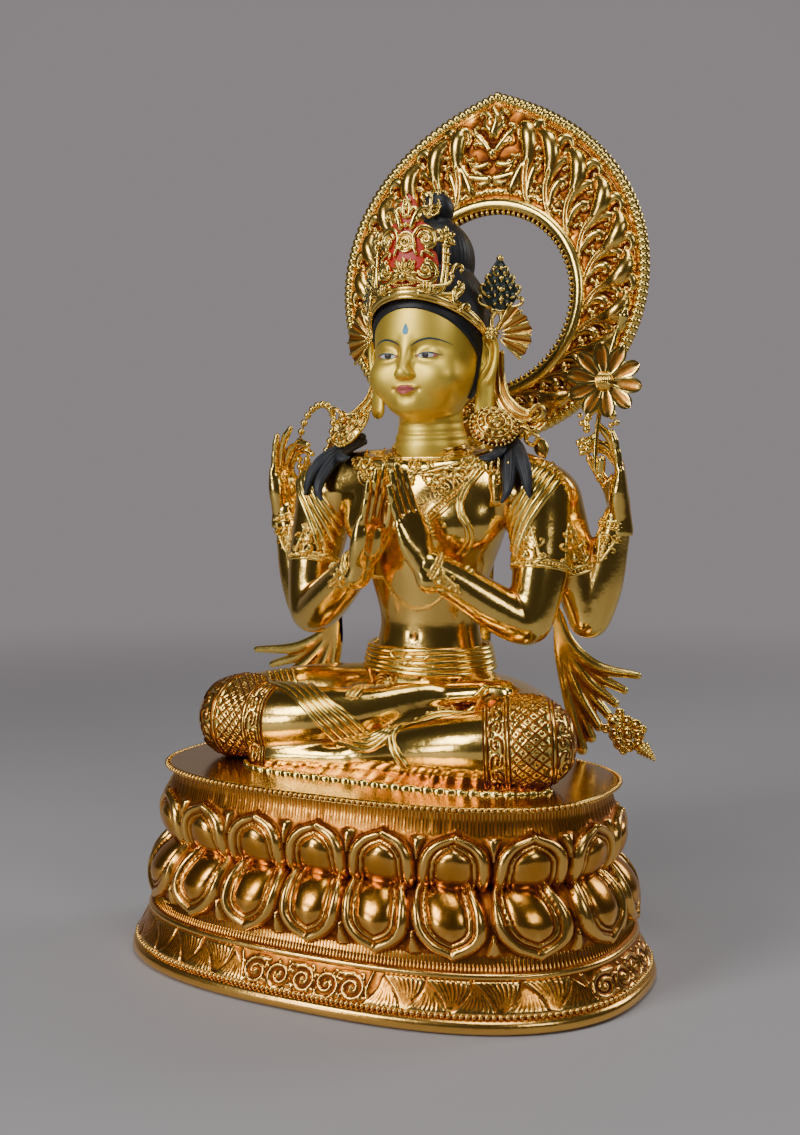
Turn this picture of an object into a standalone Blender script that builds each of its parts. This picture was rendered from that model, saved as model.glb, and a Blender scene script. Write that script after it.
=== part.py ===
"""Seated four-armed bodhisattva in gilt copper: pedestal, figure, crown, halo, prayer beads and lotus.

Metres, +Z up, front towards -Y. The origin is the middle of the pedestal's underside.
The figure's own frame is in millimetres of a figure 464 mm tall, measured up from the pedestal's
top plate, so its pose is a share of FIGURE_HEIGHT.
"""

from math import atan, cos, exp, pi, radians, sin, tau

import bmesh
import bpy
from mathutils import Matrix, Vector

# Driving dimensions, in metres
FIT_GAP = 0.0004                # left between pieces that touch

PEDESTAL_WIDTH = 0.420          # across the foot rim
PEDESTAL_DEPTH = 0.276
PEDESTAL_HEIGHT = 0.151
PEDESTAL_SQUARENESS = 2.6       # exponent of the oval, where 2 is an ellipse
RIM_HEIGHT = 0.011
WAIST_HEIGHT = 0.094            # groove between the two rows of petals
WAIST_INSET = 0.034             # groove, measured in from the foot rim
TOP_INSET = 0.026               # top edge, measured in from the foot rim
PETALS = 18                     # in each row
PETAL_RELIEF = 0.0090

FIGURE_HEIGHT = 0.464           # seat to the tip of the topknot
MODEL_HEIGHT = 464.0            # the same height in the figure's own frame
CROWN_BAND_RADIUS = 0.0036
CROWN_PLATE = 0.0050

HALO_WIDTH = 0.292
HALO_HOLE_RADIUS = 0.0765
HALO_CENTRE_HEIGHT = 0.5355
HALO_CENTRE_BACK = 0.200        # behind the pedestal's middle
HALO_LEAN = atan(0.098)         # top away from the figure
HALO_PLATE = 0.0060
HALO_EDGE_RADIUS = 0.0052       # rope border
HALO_RING_RADIUS = 0.0062       # smooth ring around the hole
FLAMES = 18
FLAME_RELIEF = 0.0085

STRAP_WIDTH = 0.030
STRAP_THICKNESS = 0.005
STRAP_SEAT_HEIGHT = 0.020       # the strap's lower end, above the ground
SOCKET_WALL = 0.008
SOCKET_HEIGHT = 0.062

SCARF_PLEATS = 5                # folds in each hanging scarf end
BEADS = 22
BEAD_RADIUS = 0.0032
BEAD_STRING_RADIUS = 0.0016
LOTUS_PETALS = 9
LOTUS_RADIUS = 0.031
STEM_RADIUS = 0.0019

UNIT = FIGURE_HEIGHT / MODEL_HEIGHT


# Materials

def metal(name: str, colour: tuple, roughness: float) -> bpy.types.Material:
    """A Principled metal of one colour."""
    material = bpy.data.materials.new(name)
    material.use_nodes = True
    shader = material.node_tree.nodes["Principled BSDF"]
    shader.inputs["Base Color"].default_value = (*colour, 1.0)
    shader.inputs["Metallic"].default_value = 1.0
    shader.inputs["Roughness"].default_value = roughness
    return material


# Shapes

def figure_point(x: float, y: float, z: float) -> Vector:
    """A point of the figure's own frame, in metres."""
    return Vector((x * UNIT, y * UNIT, PEDESTAL_HEIGHT + z * UNIT))


def skin(form: bmesh.types.BMesh, rings: list, closed_path: bool = False) -> None:
    """Joins rings of points, and caps the two ends of an open path.

    A ring may have twice the points of its neighbour: each coarse step then meets two fine ones."""
    loops = [[form.verts.new(point) for point in ring] for ring in rings]
    pairs = list(zip(loops, loops[1:]))
    if closed_path:
        pairs.append((loops[-1], loops[0]))
    for low, high in pairs:
        count = min(len(low), len(high))
        low_step, high_step = len(low) // count, len(high) // count
        for i in range(count):
            lower = [low[(low_step * i + k) % len(low)] for k in range(low_step + 1)]
            upper = [high[(high_step * i + k) % len(high)] for k in range(high_step + 1)]
            form.faces.new(lower + upper[::-1])
    if not closed_path:
        form.faces.new(loops[0][::-1])
        form.faces.new(loops[-1])


def stroke(form: bmesh.types.BMesh, stations: list, sides: int = 10, flat: float = 1.0,
           face: tuple = (0, 1, 0)) -> None:
    """A rounded limb through stations of x, y, z and radius, in the figure's frame.

    flat shares the radius along face, so that a value under 1 gives a strap or a leaf."""
    centres = [figure_point(*station[:3]) for station in stations]
    radii = [station[3] * UNIT for station in stations]
    rings = []
    for i, centre in enumerate(centres):
        along = (centres[min(i + 1, len(centres) - 1)] - centres[max(i - 1, 0)]).normalized()
        thin = (Vector(face) - along * along.dot(Vector(face))).normalized()
        wide = along.cross(thin).normalized()
        caps = [(0.0, 1.0)]
        if i == 0:
            caps = [(-0.94, 0.34), (-0.64, 0.77), (0.0, 1.0)]
        if i == len(centres) - 1:
            caps = [(0.0, 1.0), (0.64, 0.77), (0.94, 0.34)]
        for shift, share in caps:
            middle = centre + along * shift * radii[i] * (flat if flat < 0.6 else 1.0)
            rings.append([middle + radii[i] * share * (cos(a) * wide + flat * sin(a) * thin)
                          for a in (tau * k / sides for k in range(sides))])
    skin(form, rings)


def stack(form: bmesh.types.BMesh, levels: list, sides: int = 24) -> None:
    """Level ovals of height, middle in y, half width and half depth, in the figure's frame."""
    rings = []
    for z, middle, half_width, half_depth in levels:
        rings.append([figure_point(half_width * cos(a), middle + half_depth * sin(a), z)
                      for a in (tau * k / sides for k in range(sides))])
    skin(form, rings)


def ball(form: bmesh.types.BMesh, x: float, y: float, z: float, radii: tuple) -> None:
    """An ellipsoid in the figure's frame."""
    place = Matrix.Translation(figure_point(x, y, z)) @ Matrix.Diagonal((*(r * UNIT for r in radii), 1))
    bmesh.ops.create_uvsphere(form, u_segments=14, v_segments=9, radius=1.0, matrix=place)


def block(form: bmesh.types.BMesh, low: tuple, high: tuple) -> None:
    """A box between two corners, in metres."""
    size = [b - a for a, b in zip(low, high)]
    middle = Vector([(a + b) / 2 for a, b in zip(low, high)])
    bmesh.ops.create_cube(form, size=1.0, matrix=Matrix.Translation(middle) @ Matrix.Diagonal((*size, 1)))


def add_object(name: str, form: bmesh.types.BMesh, material=None) -> bpy.types.Object:
    """Turns a form into a named object of the scene."""
    bmesh.ops.recalc_face_normals(form, faces=form.faces)
    mesh = bpy.data.meshes.new(name)
    form.to_mesh(mesh)
    form.free()
    made = bpy.data.objects.new(name, mesh)
    bpy.context.scene.collection.objects.link(made)
    if material:
        mesh.materials.append(material)
        mesh.shade_smooth()
    return made


def add_cutter(name: str, form: bmesh.types.BMesh) -> bpy.types.Object:
    """A helper object that only Booleans read."""
    cutter = add_object(name, form)
    cutter.hide_render = True
    cutter.display_type = "WIRE"
    return cutter


def boolean(target: bpy.types.Object, other: bpy.types.Object, operation: str) -> None:
    """Adds an exact Boolean of target with other."""
    modifier = target.modifiers.new(other.name, "BOOLEAN")
    modifier.operation = operation
    modifier.solver = "EXACT"
    modifier.object = other


def fuse(target: bpy.types.Object, grain: float, smoothing: int, keep: float) -> None:
    """Makes overlapping forms one skin, as in a casting, then thins its faces."""
    remesh = target.modifiers.new("one skin", "REMESH")
    remesh.mode = "VOXEL"
    remesh.voxel_size = grain
    smooth = target.modifiers.new("fillets", "SMOOTH")
    smooth.factor = 0.5
    smooth.iterations = smoothing
    thin = target.modifiers.new("facets", "DECIMATE")
    thin.ratio = keep


# Pedestal

def oval(angle: float, half_width: float, half_depth: float) -> Vector:
    """A point of the pedestal's oval, seen from above."""
    share = 2 / PEDESTAL_SQUARENESS
    c, s = cos(angle), sin(angle)
    return Vector((half_width * abs(c) ** share * (1 if c > 0 else -1),
                   half_depth * abs(s) ** share * (1 if s > 0 else -1), 0))


def oval_stations(count: int) -> list:
    """Points and outward normals of the waist's oval, evenly spaced, starting at the front."""
    half_width = PEDESTAL_WIDTH / 2 - WAIST_INSET
    half_depth = PEDESTAL_DEPTH / 2 - WAIST_INSET
    fine = 1440
    points = [oval(-pi / 2 + tau * k / fine, half_width, half_depth) for k in range(fine + 1)]
    lengths = [0.0]
    for a, b in zip(points, points[1:]):
        lengths.append(lengths[-1] + (b - a).length)
    stations, k = [], 0
    for i in range(count):
        goal = lengths[-1] * i / count
        while lengths[k + 1] < goal:
            k += 1
        share = (goal - lengths[k]) / (lengths[k + 1] - lengths[k])
        along = points[k + 1] - points[k]
        stations.append((points[k] + along * share, Vector((along.y, -along.x, 0)).normalized()))
    return stations


def petal_bulge(across: float, along: float) -> float:
    """Relief of a lotus petal, about 0 to 1: a raised edge, a channel and a full middle.

    across runs from -1 to 1 and along from root 0 to tip 1."""
    edge = (1 - along ** 3) ** 0.5
    inside = edge - abs(across)
    if inside <= 0:
        return 0.0
    channel = 0.34 * exp(-((inside - 0.62) / 0.22) ** 2)
    return min(1.0, 4.0 * inside) ** 0.6 * (1 - channel) * (0.7 + 0.3 * sin(pi * min(1.0, along + 0.25)))


def pedestal_levels() -> list:
    """Height, outset from the waist, and petal row with the share along it, from foot to top."""
    foot = WAIST_INSET
    rise = WAIST_HEIGHT - RIM_HEIGHT
    upper = PEDESTAL_HEIGHT - WAIST_HEIGHT
    levels = [(0.0, foot - 0.003, None), (RIM_HEIGHT / 2, foot, None), (RIM_HEIGHT, foot - 0.003, None),
              (RIM_HEIGHT + 0.28 * rise, foot * 0.66, None), (RIM_HEIGHT + 0.34 * rise, foot * 0.70, None)]
    for along, height, outset in ((1.0, 0.40, 0.50), (0.92, 0.46, 0.54), (0.75, 0.56, 0.56),
                                  (0.5, 0.70, 0.50), (0.2, 0.88, 0.26)):
        levels.append((RIM_HEIGHT + height * rise, foot * outset, along))
    levels.append((WAIST_HEIGHT, 0.0, None))
    for along, height, outset in ((0.2, 0.10, 0.16), (0.5, 0.30, 0.30), (0.75, 0.50, 0.30),
                                  (0.92, 0.66, 0.24), (1.0, 0.76, 0.16)):
        levels.append((WAIST_HEIGHT + height * upper, foot * outset, along))
    edge = foot - TOP_INSET
    levels += [(WAIST_HEIGHT + 0.90 * upper, edge - 0.004, None),
               (WAIST_HEIGHT + 0.94 * upper, edge, None), (PEDESTAL_HEIGHT, edge - 0.0015, None)]
    return levels


def strap_place(height: float) -> Vector:
    """The middle of the halo's strap at a height above the ground."""
    lean_back = (height - HALO_CENTRE_HEIGHT) * sin(HALO_LEAN) / cos(HALO_LEAN)
    return Vector((0, HALO_CENTRE_BACK + lean_back, height))


def socket_pocket(extra: float) -> bmesh.types.BMesh:
    """The strap's lower end, grown by extra on each side."""
    form = bmesh.new()
    reach = SOCKET_HEIGHT
    block(form, (-STRAP_WIDTH / 2 - extra, -STRAP_THICKNESS / 2 - extra, -extra),
          (STRAP_WIDTH / 2 + extra, STRAP_THICKNESS / 2 + extra, reach))
    lean = Matrix.Translation(strap_place(STRAP_SEAT_HEIGHT)) @ Matrix.Rotation(-HALO_LEAN, 4, "X")
    form.transform(lean)
    return form


def make_pedestal(gold) -> bpy.types.Object:
    """The double lotus pedestal, with the socket for the halo's strap behind."""
    per_petal = 6
    stations = oval_stations(PETALS * per_petal)
    form = bmesh.new()
    rings = []
    for height, outset, along in pedestal_levels():
        ring = []
        for i, (point, normal) in enumerate(stations):
            across = 2 * ((i / per_petal + 0.5) % 1.0) - 1
            relief = PETAL_RELIEF * petal_bulge(across, along) if along is not None else 0.0
            ring.append(point + normal * (outset + relief) + Vector((0, 0, height)))
        rings.append(ring if along is not None else ring[::2])
    skin(form, rings)
    pedestal = add_object("pedestal", form, gold)

    half = STRAP_WIDTH / 2 + SOCKET_WALL
    middle = strap_place(SOCKET_HEIGHT / 2).y
    reach = STRAP_THICKNESS / 2 + SOCKET_WALL
    form = bmesh.new()
    block(form, (-half, PEDESTAL_DEPTH / 2 - WAIST_INSET - 0.004, 0.0005), (half, middle + reach, SOCKET_HEIGHT))
    boolean(pedestal, add_cutter("socket_block", form), "UNION")
    boolean(pedestal, add_cutter("socket_pocket", socket_pocket(FIT_GAP)), "DIFFERENCE")
    return pedestal


# Figure

TORSO = [(-8, 72, 70, 44), (22, 74, 75, 47), (45, 76, 66, 43), (66, 78, 54, 37), (94, 78, 45, 31),
         (112, 78, 43, 30), (135, 77, 48, 33), (160, 76, 57, 37), (188, 75, 68, 40), (212, 77, 74, 37),
         (230, 80, 66, 31), (243, 81, 42, 27), (254, 81, 27, 24)]
BELT = [(74, 78, 52, 36), (77, 78, 56, 40), (94, 78, 53, 37), (97, 78, 47, 32)]
HEAD = [(262, 60, 13, 13), (269, 65, 26, 29), (283, 71, 36, 38), (303, 75, 42, 43), (325, 78, 45, 47),
        (345, 80, 46, 48), (362, 82, 45, 48), (378, 84, 40, 43), (392, 86, 31, 34), (400, 87, 20, 22)]
SHOULDER = [(0, 81, 222, 30), (70, 81, 221, 29), (96, 80, 214, 26)]
FRONT_ARM = [(98, 78, 212, 26), (102, 72, 180, 24), (103, 63, 150, 21.5), (100, 54, 120, 19),
             (94, 50, 115, 18.5), (76, 39, 126, 18.5), (52, 25, 144, 16), (31, 12, 159, 12.5)]
BACK_ARM = [(103, 92, 208, 24), (116, 97, 165, 20.5), (129, 100, 124, 17.5), (133, 100, 116, 16.5),
            (141, 102, 143, 17.5), (149, 103, 176, 14), (154, 102, 197, 11.5)]
THIGH = [(42, 72, 34, 38), (88, 36, 35, 36), (124, -7, 34, 32), (129, -17, 32, 30)]
UPPER_SHIN = [(-129, -17, 32, 30), (-90, -24, 34, 29), (-50, -25, 39, 25), (-12, -17, 46, 19),
              (16, -5, 54, 14.5), (36, 3, 59, 11.5)]
UPPER_FOOT = [(30, 2, 60, 10), (60, 8, 63, 11), (84, 9, 66, 10), (98, 7, 68, 6)]
LOWER_SHIN = [(129, -17, 32, 30), (88, -28, 28, 27), (48, -32, 23, 22), (12, -32, 17, 16), (-15, -34, 13, 12)]
LOWER_FOOT = [(-15, -36, 12, 11), (-48, -40, 11, 10), (-76, -42, 9, 9), (-92, -42, 8, 6)]
EAR = [(47, 80, 334, 7), (50, 78, 312, 6.5), (50, 76, 290, 5.5), (49, 74, 278, 6)]
HEM = [(-92, -38, 0, 9), (-60, -42, 0, 12), (0, -40, 0, 15), (50, -40, 0, 14), (100, -30, 0, 12), (138, -16, 0, 9)]

FRONT_PLAQUE = [(0, -2), (21, -1), (27, 12), (25, 26), (15, 38), (12, 52), (5, 66), (0, 74)]
CROWN_LEAF = [(0, -6), (6, -5), (11, 8), (12, 20), (7, 34), (0, 46)]
CROWN_POST = [(0, -4), (4.5, -3), (4.5, 24), (10, 32), (9, 42), (0, 48)]

# Fingers from the thumb's side: place across the palm, start along it, length and radius
FINGERS = [(9.5, 37, 37, 3.5), (3.2, 39, 41, 3.6), (-3.2, 38, 38, 3.5), (-9.2, 35, 31, 3.2)]


def mirrored(stations: list, side: int) -> list:
    """The same stations on the figure's left (1) or right (-1)."""
    return [(side * x, y, z, r) for x, y, z, r in stations]


def make_hand(form: bmesh.types.BMesh, wrist: tuple, along: tuple, palm: tuple, side: int,
              curls: list, thumb: list) -> None:
    """A hand of palm, four fingers and thumb.

    along points to the fingertips and palm out of the palm. curls holds each finger's bend in
    degrees, and thumb its joints as places across, along and out of the palm."""
    start = Vector(wrist)
    up = Vector(along).normalized()
    out = (Vector(palm) - up * up.dot(Vector(palm))).normalized()
    across = out.cross(up) * side

    def place(u: float, v: float, n: float, radius: float) -> tuple:
        return (*(start + across * u + up * v + out * n), radius)

    stroke(form, [place(0, -4, 0, 11), place(0, 12, 0, 10)], flat=0.8, face=tuple(out))
    for (shift, begin, length, radius), bend in zip(FINGERS, curls):
        stroke(form, [place(shift * 0.45, 4, 0, 7.5), place(shift * 0.95, begin - 6, 0, radius + 2.2),
                      place(shift, begin, 0, radius + 0.4)], 8)
        joints, u, v, n, turn = [], shift, begin - 1.0, 0.0, 0.0
        joints.append(place(u, v, n, radius))
        for share in (0.42, 0.32, 0.26):
            turn += radians(bend) / 3
            v += length * share * cos(turn)
            n += length * share * sin(turn)
            joints.append(place(u, v, n, radius * (0.97 if share > 0.4 else 0.78)))
        stroke(form, joints, 8)
    stroke(form, [place(*joint) for joint in thumb], 8)


JOINED_THUMB = [(5, 8, 2, 7), (12, 22, 3, 5), (13, 38, 4, 4.2), (11, 50, 4, 3.2)]
HOLDING_THUMB = [(5, 8, 3, 7), (13, 20, 9, 5), (13, 33, 17, 4), (9, 43, 23, 3)]


def scarf_tail(form: bmesh.types.BMesh, side: int) -> None:
    """The pleated end of a scarf, flaring out behind the arms."""
    reach = 0 if side > 0 else 24
    for k in range(SCARF_PLEATS):
        share = k / (SCARF_PLEATS - 1)
        end_x = 131 + (35 + reach) * share
        end_z = 2 + 64 * share - 14 * sin(pi * share)
        stations = [(112 + 4 * share, 104, 122, 6), (118 + 7 * share, 107, 90, 7),
                    (126 + (18 + reach / 2) * share, 110, 54 + 28 * share, 9), (end_x, 111, end_z, 9 - 3 * share)]
        stroke(form, mirrored(stations, side), 8, flat=0.42, face=(0, 1, 0.2))
    stroke(form, mirrored([(146, 112, 44, 7), (164, 112, 22, 9), (178, 112, 8, 3)], side), 8, flat=0.6)


def crown_band_point(angle: float) -> Vector:
    """The middle of the crown's band: a tilted oval over the brow and above the ears."""
    return figure_point(48.5 * cos(angle), 81 + 50.5 * sin(angle), 339 - 29 * sin(angle))


def make_crown_band(extra: float) -> bmesh.types.BMesh:
    """The crown's band as a closed tube, grown by extra."""
    form = bmesh.new()
    count, sides = 24, 6
    rings = []
    for i in range(count):
        angle = tau * i / count
        centre = crown_band_point(angle)
        along = (crown_band_point(angle + 0.05) - crown_band_point(angle - 0.05)).normalized()
        outward = Vector((along.y, -along.x, 0)).normalized()
        upright = outward.cross(along).normalized()
        radius = CROWN_BAND_RADIUS + extra
        rings.append([centre + radius * (cos(a) * outward + 1.25 * sin(a) * upright)
                      for a in (tau * k / sides for k in range(sides))])
    skin(form, rings, closed_path=True)
    return form


def bead_loop_point(share: float) -> Vector:
    """The string of the prayer beads, held in the raised right hand."""
    angle = tau * share
    across = 15.5 * (1 + 0.22 * sin(angle)) * cos(angle)
    up = 32 * sin(angle)
    return figure_point(-126.5 + across + 0.25 * up, 106, 259 + up)


def tassel_cap(extra: float) -> bmesh.types.BMesh:
    """The flat cap below the beads, grown by extra."""
    form = bmesh.new()
    rings = []
    for drop, half in ((-2, 5.2), (8, 5.6), (20, 7.4)):
        low = bead_loop_point(0.75) - Vector((0, 0, drop * UNIT + (extra if drop > 10 else 0)))
        wide, deep = half * UNIT + extra, 3 * UNIT + extra
        rings.append([low + Vector((a * wide, b * deep, 0)) for a, b in ((-1, -1), (1, -1), (1, 1), (-1, 1))])
    skin(form, rings)
    return form


def make_string(radius_at, steps: int, sides: int) -> bmesh.types.BMesh:
    """A closed tube along the prayer beads, with a radius for each step."""
    form = bmesh.new()
    rings = []
    for i in range(steps):
        share = i / steps
        centre = bead_loop_point(share)
        along = (bead_loop_point(share + 0.01) - bead_loop_point(share - 0.01)).normalized()
        side = along.cross(Vector((0, 1, 0))).normalized()
        back = side.cross(along)
        radius = radius_at(i)
        rings.append([centre + radius * (cos(a) * side + sin(a) * back)
                      for a in (tau * k / sides for k in range(sides))])
    skin(form, rings, closed_path=True)
    return form


STEM = [(141, 86, 232), (141, 85, 252), (143, 86, 274), (147, 89, 303)]


def make_stem(form: bmesh.types.BMesh, extra: float) -> None:
    """The lotus stem, grown by extra."""
    stroke(form, [(*place, (STEM_RADIUS + extra) / UNIT) for place in STEM], 8)


def make_figure(gold) -> bpy.types.Object:
    """The figure in one casting, cut flat below and let in for the crown, beads and stem."""
    form = bmesh.new()
    stack(form, TORSO)
    stack(form, BELT)
    stack(form, HEAD)
    stroke(form, [(0, 81, 240, 25), (0, 80, 276, 23)])
    ball(form, 0, 92, 405, (31, 31, 37))
    ball(form, 0, 22, 30, (84, 44, 33))
    stroke(form, [(0, 92, 436, 13), (0, 92, 450, 12), (0, 92, 459, 4)])
    stroke(form, [(0, 37, 330, 4), (0, 33, 312, 5), (0, 33, 304, 6)], 8)
    for side in (1, -1):
        stroke(form, mirrored(SHOULDER, side), 14)
        stroke(form, mirrored(FRONT_ARM, side), 14)
        stroke(form, mirrored(BACK_ARM, side), 14)
        stroke(form, mirrored(THIGH, side), 16)
        stroke(form, mirrored(EAR, side), 8, flat=0.6, face=(1, 0, 0))
        for place, along, size in (((103, 65, 154), (0.02, -0.25, -1), 24.5),
                                   ((120, 98, 152), (0.3, 0.08, -1), 22),
                                   ((35, 15, 156), (-0.8, -0.45, 0.5), 16),
                                   ((152, 107, 190), (0.2, 0.1, 1), 15)):
            way = Vector(along).normalized() * 3
            ends = [(side * (place[0] + k * way.x), place[1] + k * way.y, place[2] + k * way.z, size)
                    for k in (-1, 1)]
            rings = []
            for x, y, z, radius in ends:
                wide = Vector((side * along[0], along[1], along[2])).normalized().orthogonal().normalized()
                thin = Vector((side * along[0], along[1], along[2])).normalized().cross(wide)
                rings.append([figure_point(x, y, z) + radius * UNIT * (cos(a) * wide + sin(a) * thin)
                              for a in (tau * k / 16 for k in range(16))])
            skin(form, rings)
        scarf_tail(form, side)
        make_hand(form, (side * 27, 9, 162), (-side * 0.35, -0.12, 1), (-side, 0, 0), side,
                  [-12, -14, -14, -12], JOINED_THUMB)
        make_hand(form, (side * 156, 101, 200), (-side * 0.01, -0.06, 1), (-side * 0.95, -0.3, 0), side,
                  [112, 98, 42, 16], HOLDING_THUMB)
        stroke(form, [(side * 50, 66, 262, 17), (side * 56, 64, 268, 17)], 12, flat=0.35, face=(side * 0.5, -0.8, 0.5))
        stroke(form, [(side * 50, 84, 330, 5), (side * 60, 92, 290, 6), (side * 82, 100, 262, 7)], 8, flat=0.5)
        stroke(form, [(side * 52, 76, 262, 8), (side * 78, 66, 236, 8), (side * 86, 58, 214, 4)], 8, flat=0.5)
    for stations in (UPPER_SHIN, LOWER_SHIN):
        stroke(form, stations, 16)
    for stations in (UPPER_FOOT, LOWER_FOOT):
        stroke(form, stations, 12, flat=0.62, face=(0, 0, 1))
    for i in range(5):
        stroke(form, [(92 + 2 * i, 16 - 5 * i, 69, 4), (104 - i, 18 - 6 * i, 70, 3.2)], 6)
    stroke(form, HEM, 8, flat=0.5, face=(0, 0, 1))
    stroke(form, [(-118, 20, 62, 8), (-60, 0, 70, 9), (-5, -22, 68, 9), (16, -36, 42, 7)], 8, flat=0.6,
           face=(0, -0.5, 1))
    figure = add_object("figure", form, gold)
    fuse(figure, grain=0.0020 * FIGURE_HEIGHT / 0.464, smoothing=3, keep=0.0106)

    form = bmesh.new()
    edge = TOP_INSET - 0.006
    skin(form, [[oval(tau * k / 48, PEDESTAL_WIDTH / 2 - edge, PEDESTAL_DEPTH / 2 - edge) + Vector((0, 0, height))
                 for k in range(48)] for height in (WAIST_HEIGHT, PEDESTAL_HEIGHT + FIT_GAP)])
    boolean(figure, add_cutter("seat_plane", form), "DIFFERENCE")
    boolean(figure, add_cutter("crown_seat", make_crown_band(FIT_GAP)), "DIFFERENCE")
    for name, form in crown_plates(FIT_GAP).items():
        boolean(figure, add_cutter(f"seat_{name}", form), "DIFFERENCE")
    for side in (1, -1):
        boolean(figure, add_cutter(f"seat_fan_{side}", ear_fan(side, 2.5 * FIT_GAP)), "DIFFERENCE")
    form = make_string(lambda step: BEAD_RADIUS + FIT_GAP, 2 * BEADS, 8)
    boolean(figure, add_cutter("bead_channel", form), "DIFFERENCE")
    boolean(figure, add_cutter("cap_channel", tassel_cap(FIT_GAP)), "DIFFERENCE")
    form = bmesh.new()
    make_stem(form, FIT_GAP)
    boolean(figure, add_cutter("stem_channel", form), "DIFFERENCE")
    return figure


# Crown, beads and lotus

def plaque(outline: list, place: Matrix, extra: float) -> bmesh.types.BMesh:
    """An upright plate from half an outline of half width and height, grown by extra."""
    form = bmesh.new()
    middle = sum(height for _, height in outline) / len(outline)
    grow = 1.4 * extra / UNIT
    rings = []
    for depth, share in ((0.5, 1.0), (-0.1, 1.0), (-0.5, 0.72)):
        points = []
        for x, z in outline:
            reach = Vector((x, z - middle))
            points.append(reach * share + reach.normalized() * grow)
        points += [Vector((-point.x, point.y)) for point in reversed(points) if point.x > 0.01]
        offset = depth * CROWN_PLATE + (extra if depth > 0 else -extra)
        rings.append([place @ Vector((point.x * UNIT, offset, (middle + point.y) * UNIT)) for point in points])
    skin(form, rings)
    return form


def stand(x: float, y: float, z: float, turn: float, lean: float) -> Matrix:
    """Where a plaque stands: its foot, its turn about Z and its lean back, in degrees."""
    return (Matrix.Translation(figure_point(x, y, z)) @ Matrix.Rotation(radians(turn), 4, "Z")
            @ Matrix.Rotation(radians(-lean), 4, "X"))


def ear_fan(side: int, extra: float) -> bmesh.types.BMesh:
    """Pleats of ribbon that spread from the band beside one ear, grown by extra."""
    form = bmesh.new()
    start = Vector((side * 54, 82, 338))
    for k in range(4):
        angle = radians(62 - 38 * k)
        end = start + Vector((side * cos(angle) * 0.85, cos(angle) * 0.5, sin(angle))) * 26
        stations = [(*start, 4.2), (*((start + end) / 2), 4.4), (*end, 5.4)]
        stroke(form, [(x, y, z, r + extra / UNIT) for x, y, z, r in stations], 8, flat=0.55,
               face=(0.3 * side, -1, 0))
    return form


def crown_plates(extra: float) -> dict:
    """The crown's upright plates by name, grown by extra."""
    plates = {"front_plaque": plaque(FRONT_PLAQUE, stand(0, 30.5, 366, 0, 6), extra)}
    for side in (1, -1):
        plates[f"post_{side}"] = plaque(CROWN_POST, stand(side * 34, 44.5, 359, side * 38, 6), extra)
        plates[f"leaf_{side}"] = plaque(CROWN_LEAF, stand(side * 50.5, 78, 343, side * 76, 4), extra)
    return plates


def make_crown(gold) -> bpy.types.Object:
    """The crown: band, front plaque, two posts, two side leaves and the fans at the ears."""
    crown = add_object("crown", make_crown_band(0.0), gold)
    for name, form in crown_plates(0.0).items():
        boolean(crown, add_cutter(name, form), "UNION")
    for side in (1, -1):
        fan = add_cutter(f"fan_{side}", ear_fan(side, 0.0))
        fuse(fan, grain=0.0011, smoothing=1, keep=0.015)
        boolean(crown, fan, "UNION")
    return crown


def make_beads(gold) -> bpy.types.Object:
    """The string of prayer beads with its tassel cap, fused in one piece."""
    def radius_at(step: int) -> float:
        return BEAD_RADIUS if step % 2 else BEAD_STRING_RADIUS

    beads = add_object("prayer_beads", make_string(radius_at, 2 * BEADS, 5), gold)
    boolean(beads, add_cutter("tassel_cap", tassel_cap(0.0)), "UNION")
    return beads


def make_lotus(gold) -> bpy.types.Object:
    """The open lotus on its stem, with a bud, in the raised left hand."""
    form = bmesh.new()
    make_stem(form, 0.0)
    centre = Vector((147, 88, 303))
    towards = Vector((0.25, -0.93, 0.12)).normalized()
    right = towards.cross(Vector((0, 0, 1))).normalized() * -1
    upward = right.cross(towards) * -1
    reach = LOTUS_RADIUS / UNIT
    for i in range(LOTUS_PETALS):
        angle = tau * (i + 0.25) / LOTUS_PETALS
        way = right * cos(angle) + upward * sin(angle)
        stations = [(*(centre + way * reach * share + towards * reach * lift), reach * half)
                    for share, lift, half in ((0.15, 0.0, 0.10), (0.5, 0.06, 0.19), (0.84, 0.16, 0.12))]
        stroke(form, stations, 8, flat=0.5, face=tuple(towards))
    ball(form, *(centre + towards * 2), (6.5, 5, 6.5))
    stroke(form, [(*centre, 2.2), (150, 96, 330, 2.2), (156, 98, 350, 5.5), (160, 98, 360, 3)], 8)
    stroke(form, [(144, 89, 280, 2.0), (132, 87, 284, 2.6), (127, 87, 276, 3.2)], 8)
    lotus = add_object("lotus", form, gold)
    fuse(lotus, grain=0.0008, smoothing=1, keep=0.016)
    return lotus


# Halo

def halo_radius(angle: float) -> float:
    """The halo's outline from its centre: a round lobe that rises to a point."""
    half = HALO_WIDTH / 2
    off_top = abs(((angle - pi / 2 + pi) % tau) - pi)
    return half * (1 + 0.116 * sin(angle) + 0.171 * exp(-off_top / radians(22)))


def flame_height(angle: float, share: float) -> float:
    """Relief of the flame tongues, 0 to 1, share running from the ring out to the border."""
    from_top = (angle - pi / 2) % tau
    side = 1 if from_top < pi else -1
    sway = side * 0.16 * sin(share * pi * 1.5)
    phase = FLAMES * (from_top + sway) / tau
    ridge = 0.5 + 0.5 * cos(tau * phase)
    return (0.12 + 0.88 * ridge) * sin(pi * min(1.0, 0.12 + 0.80 * share)) ** 0.5


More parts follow.
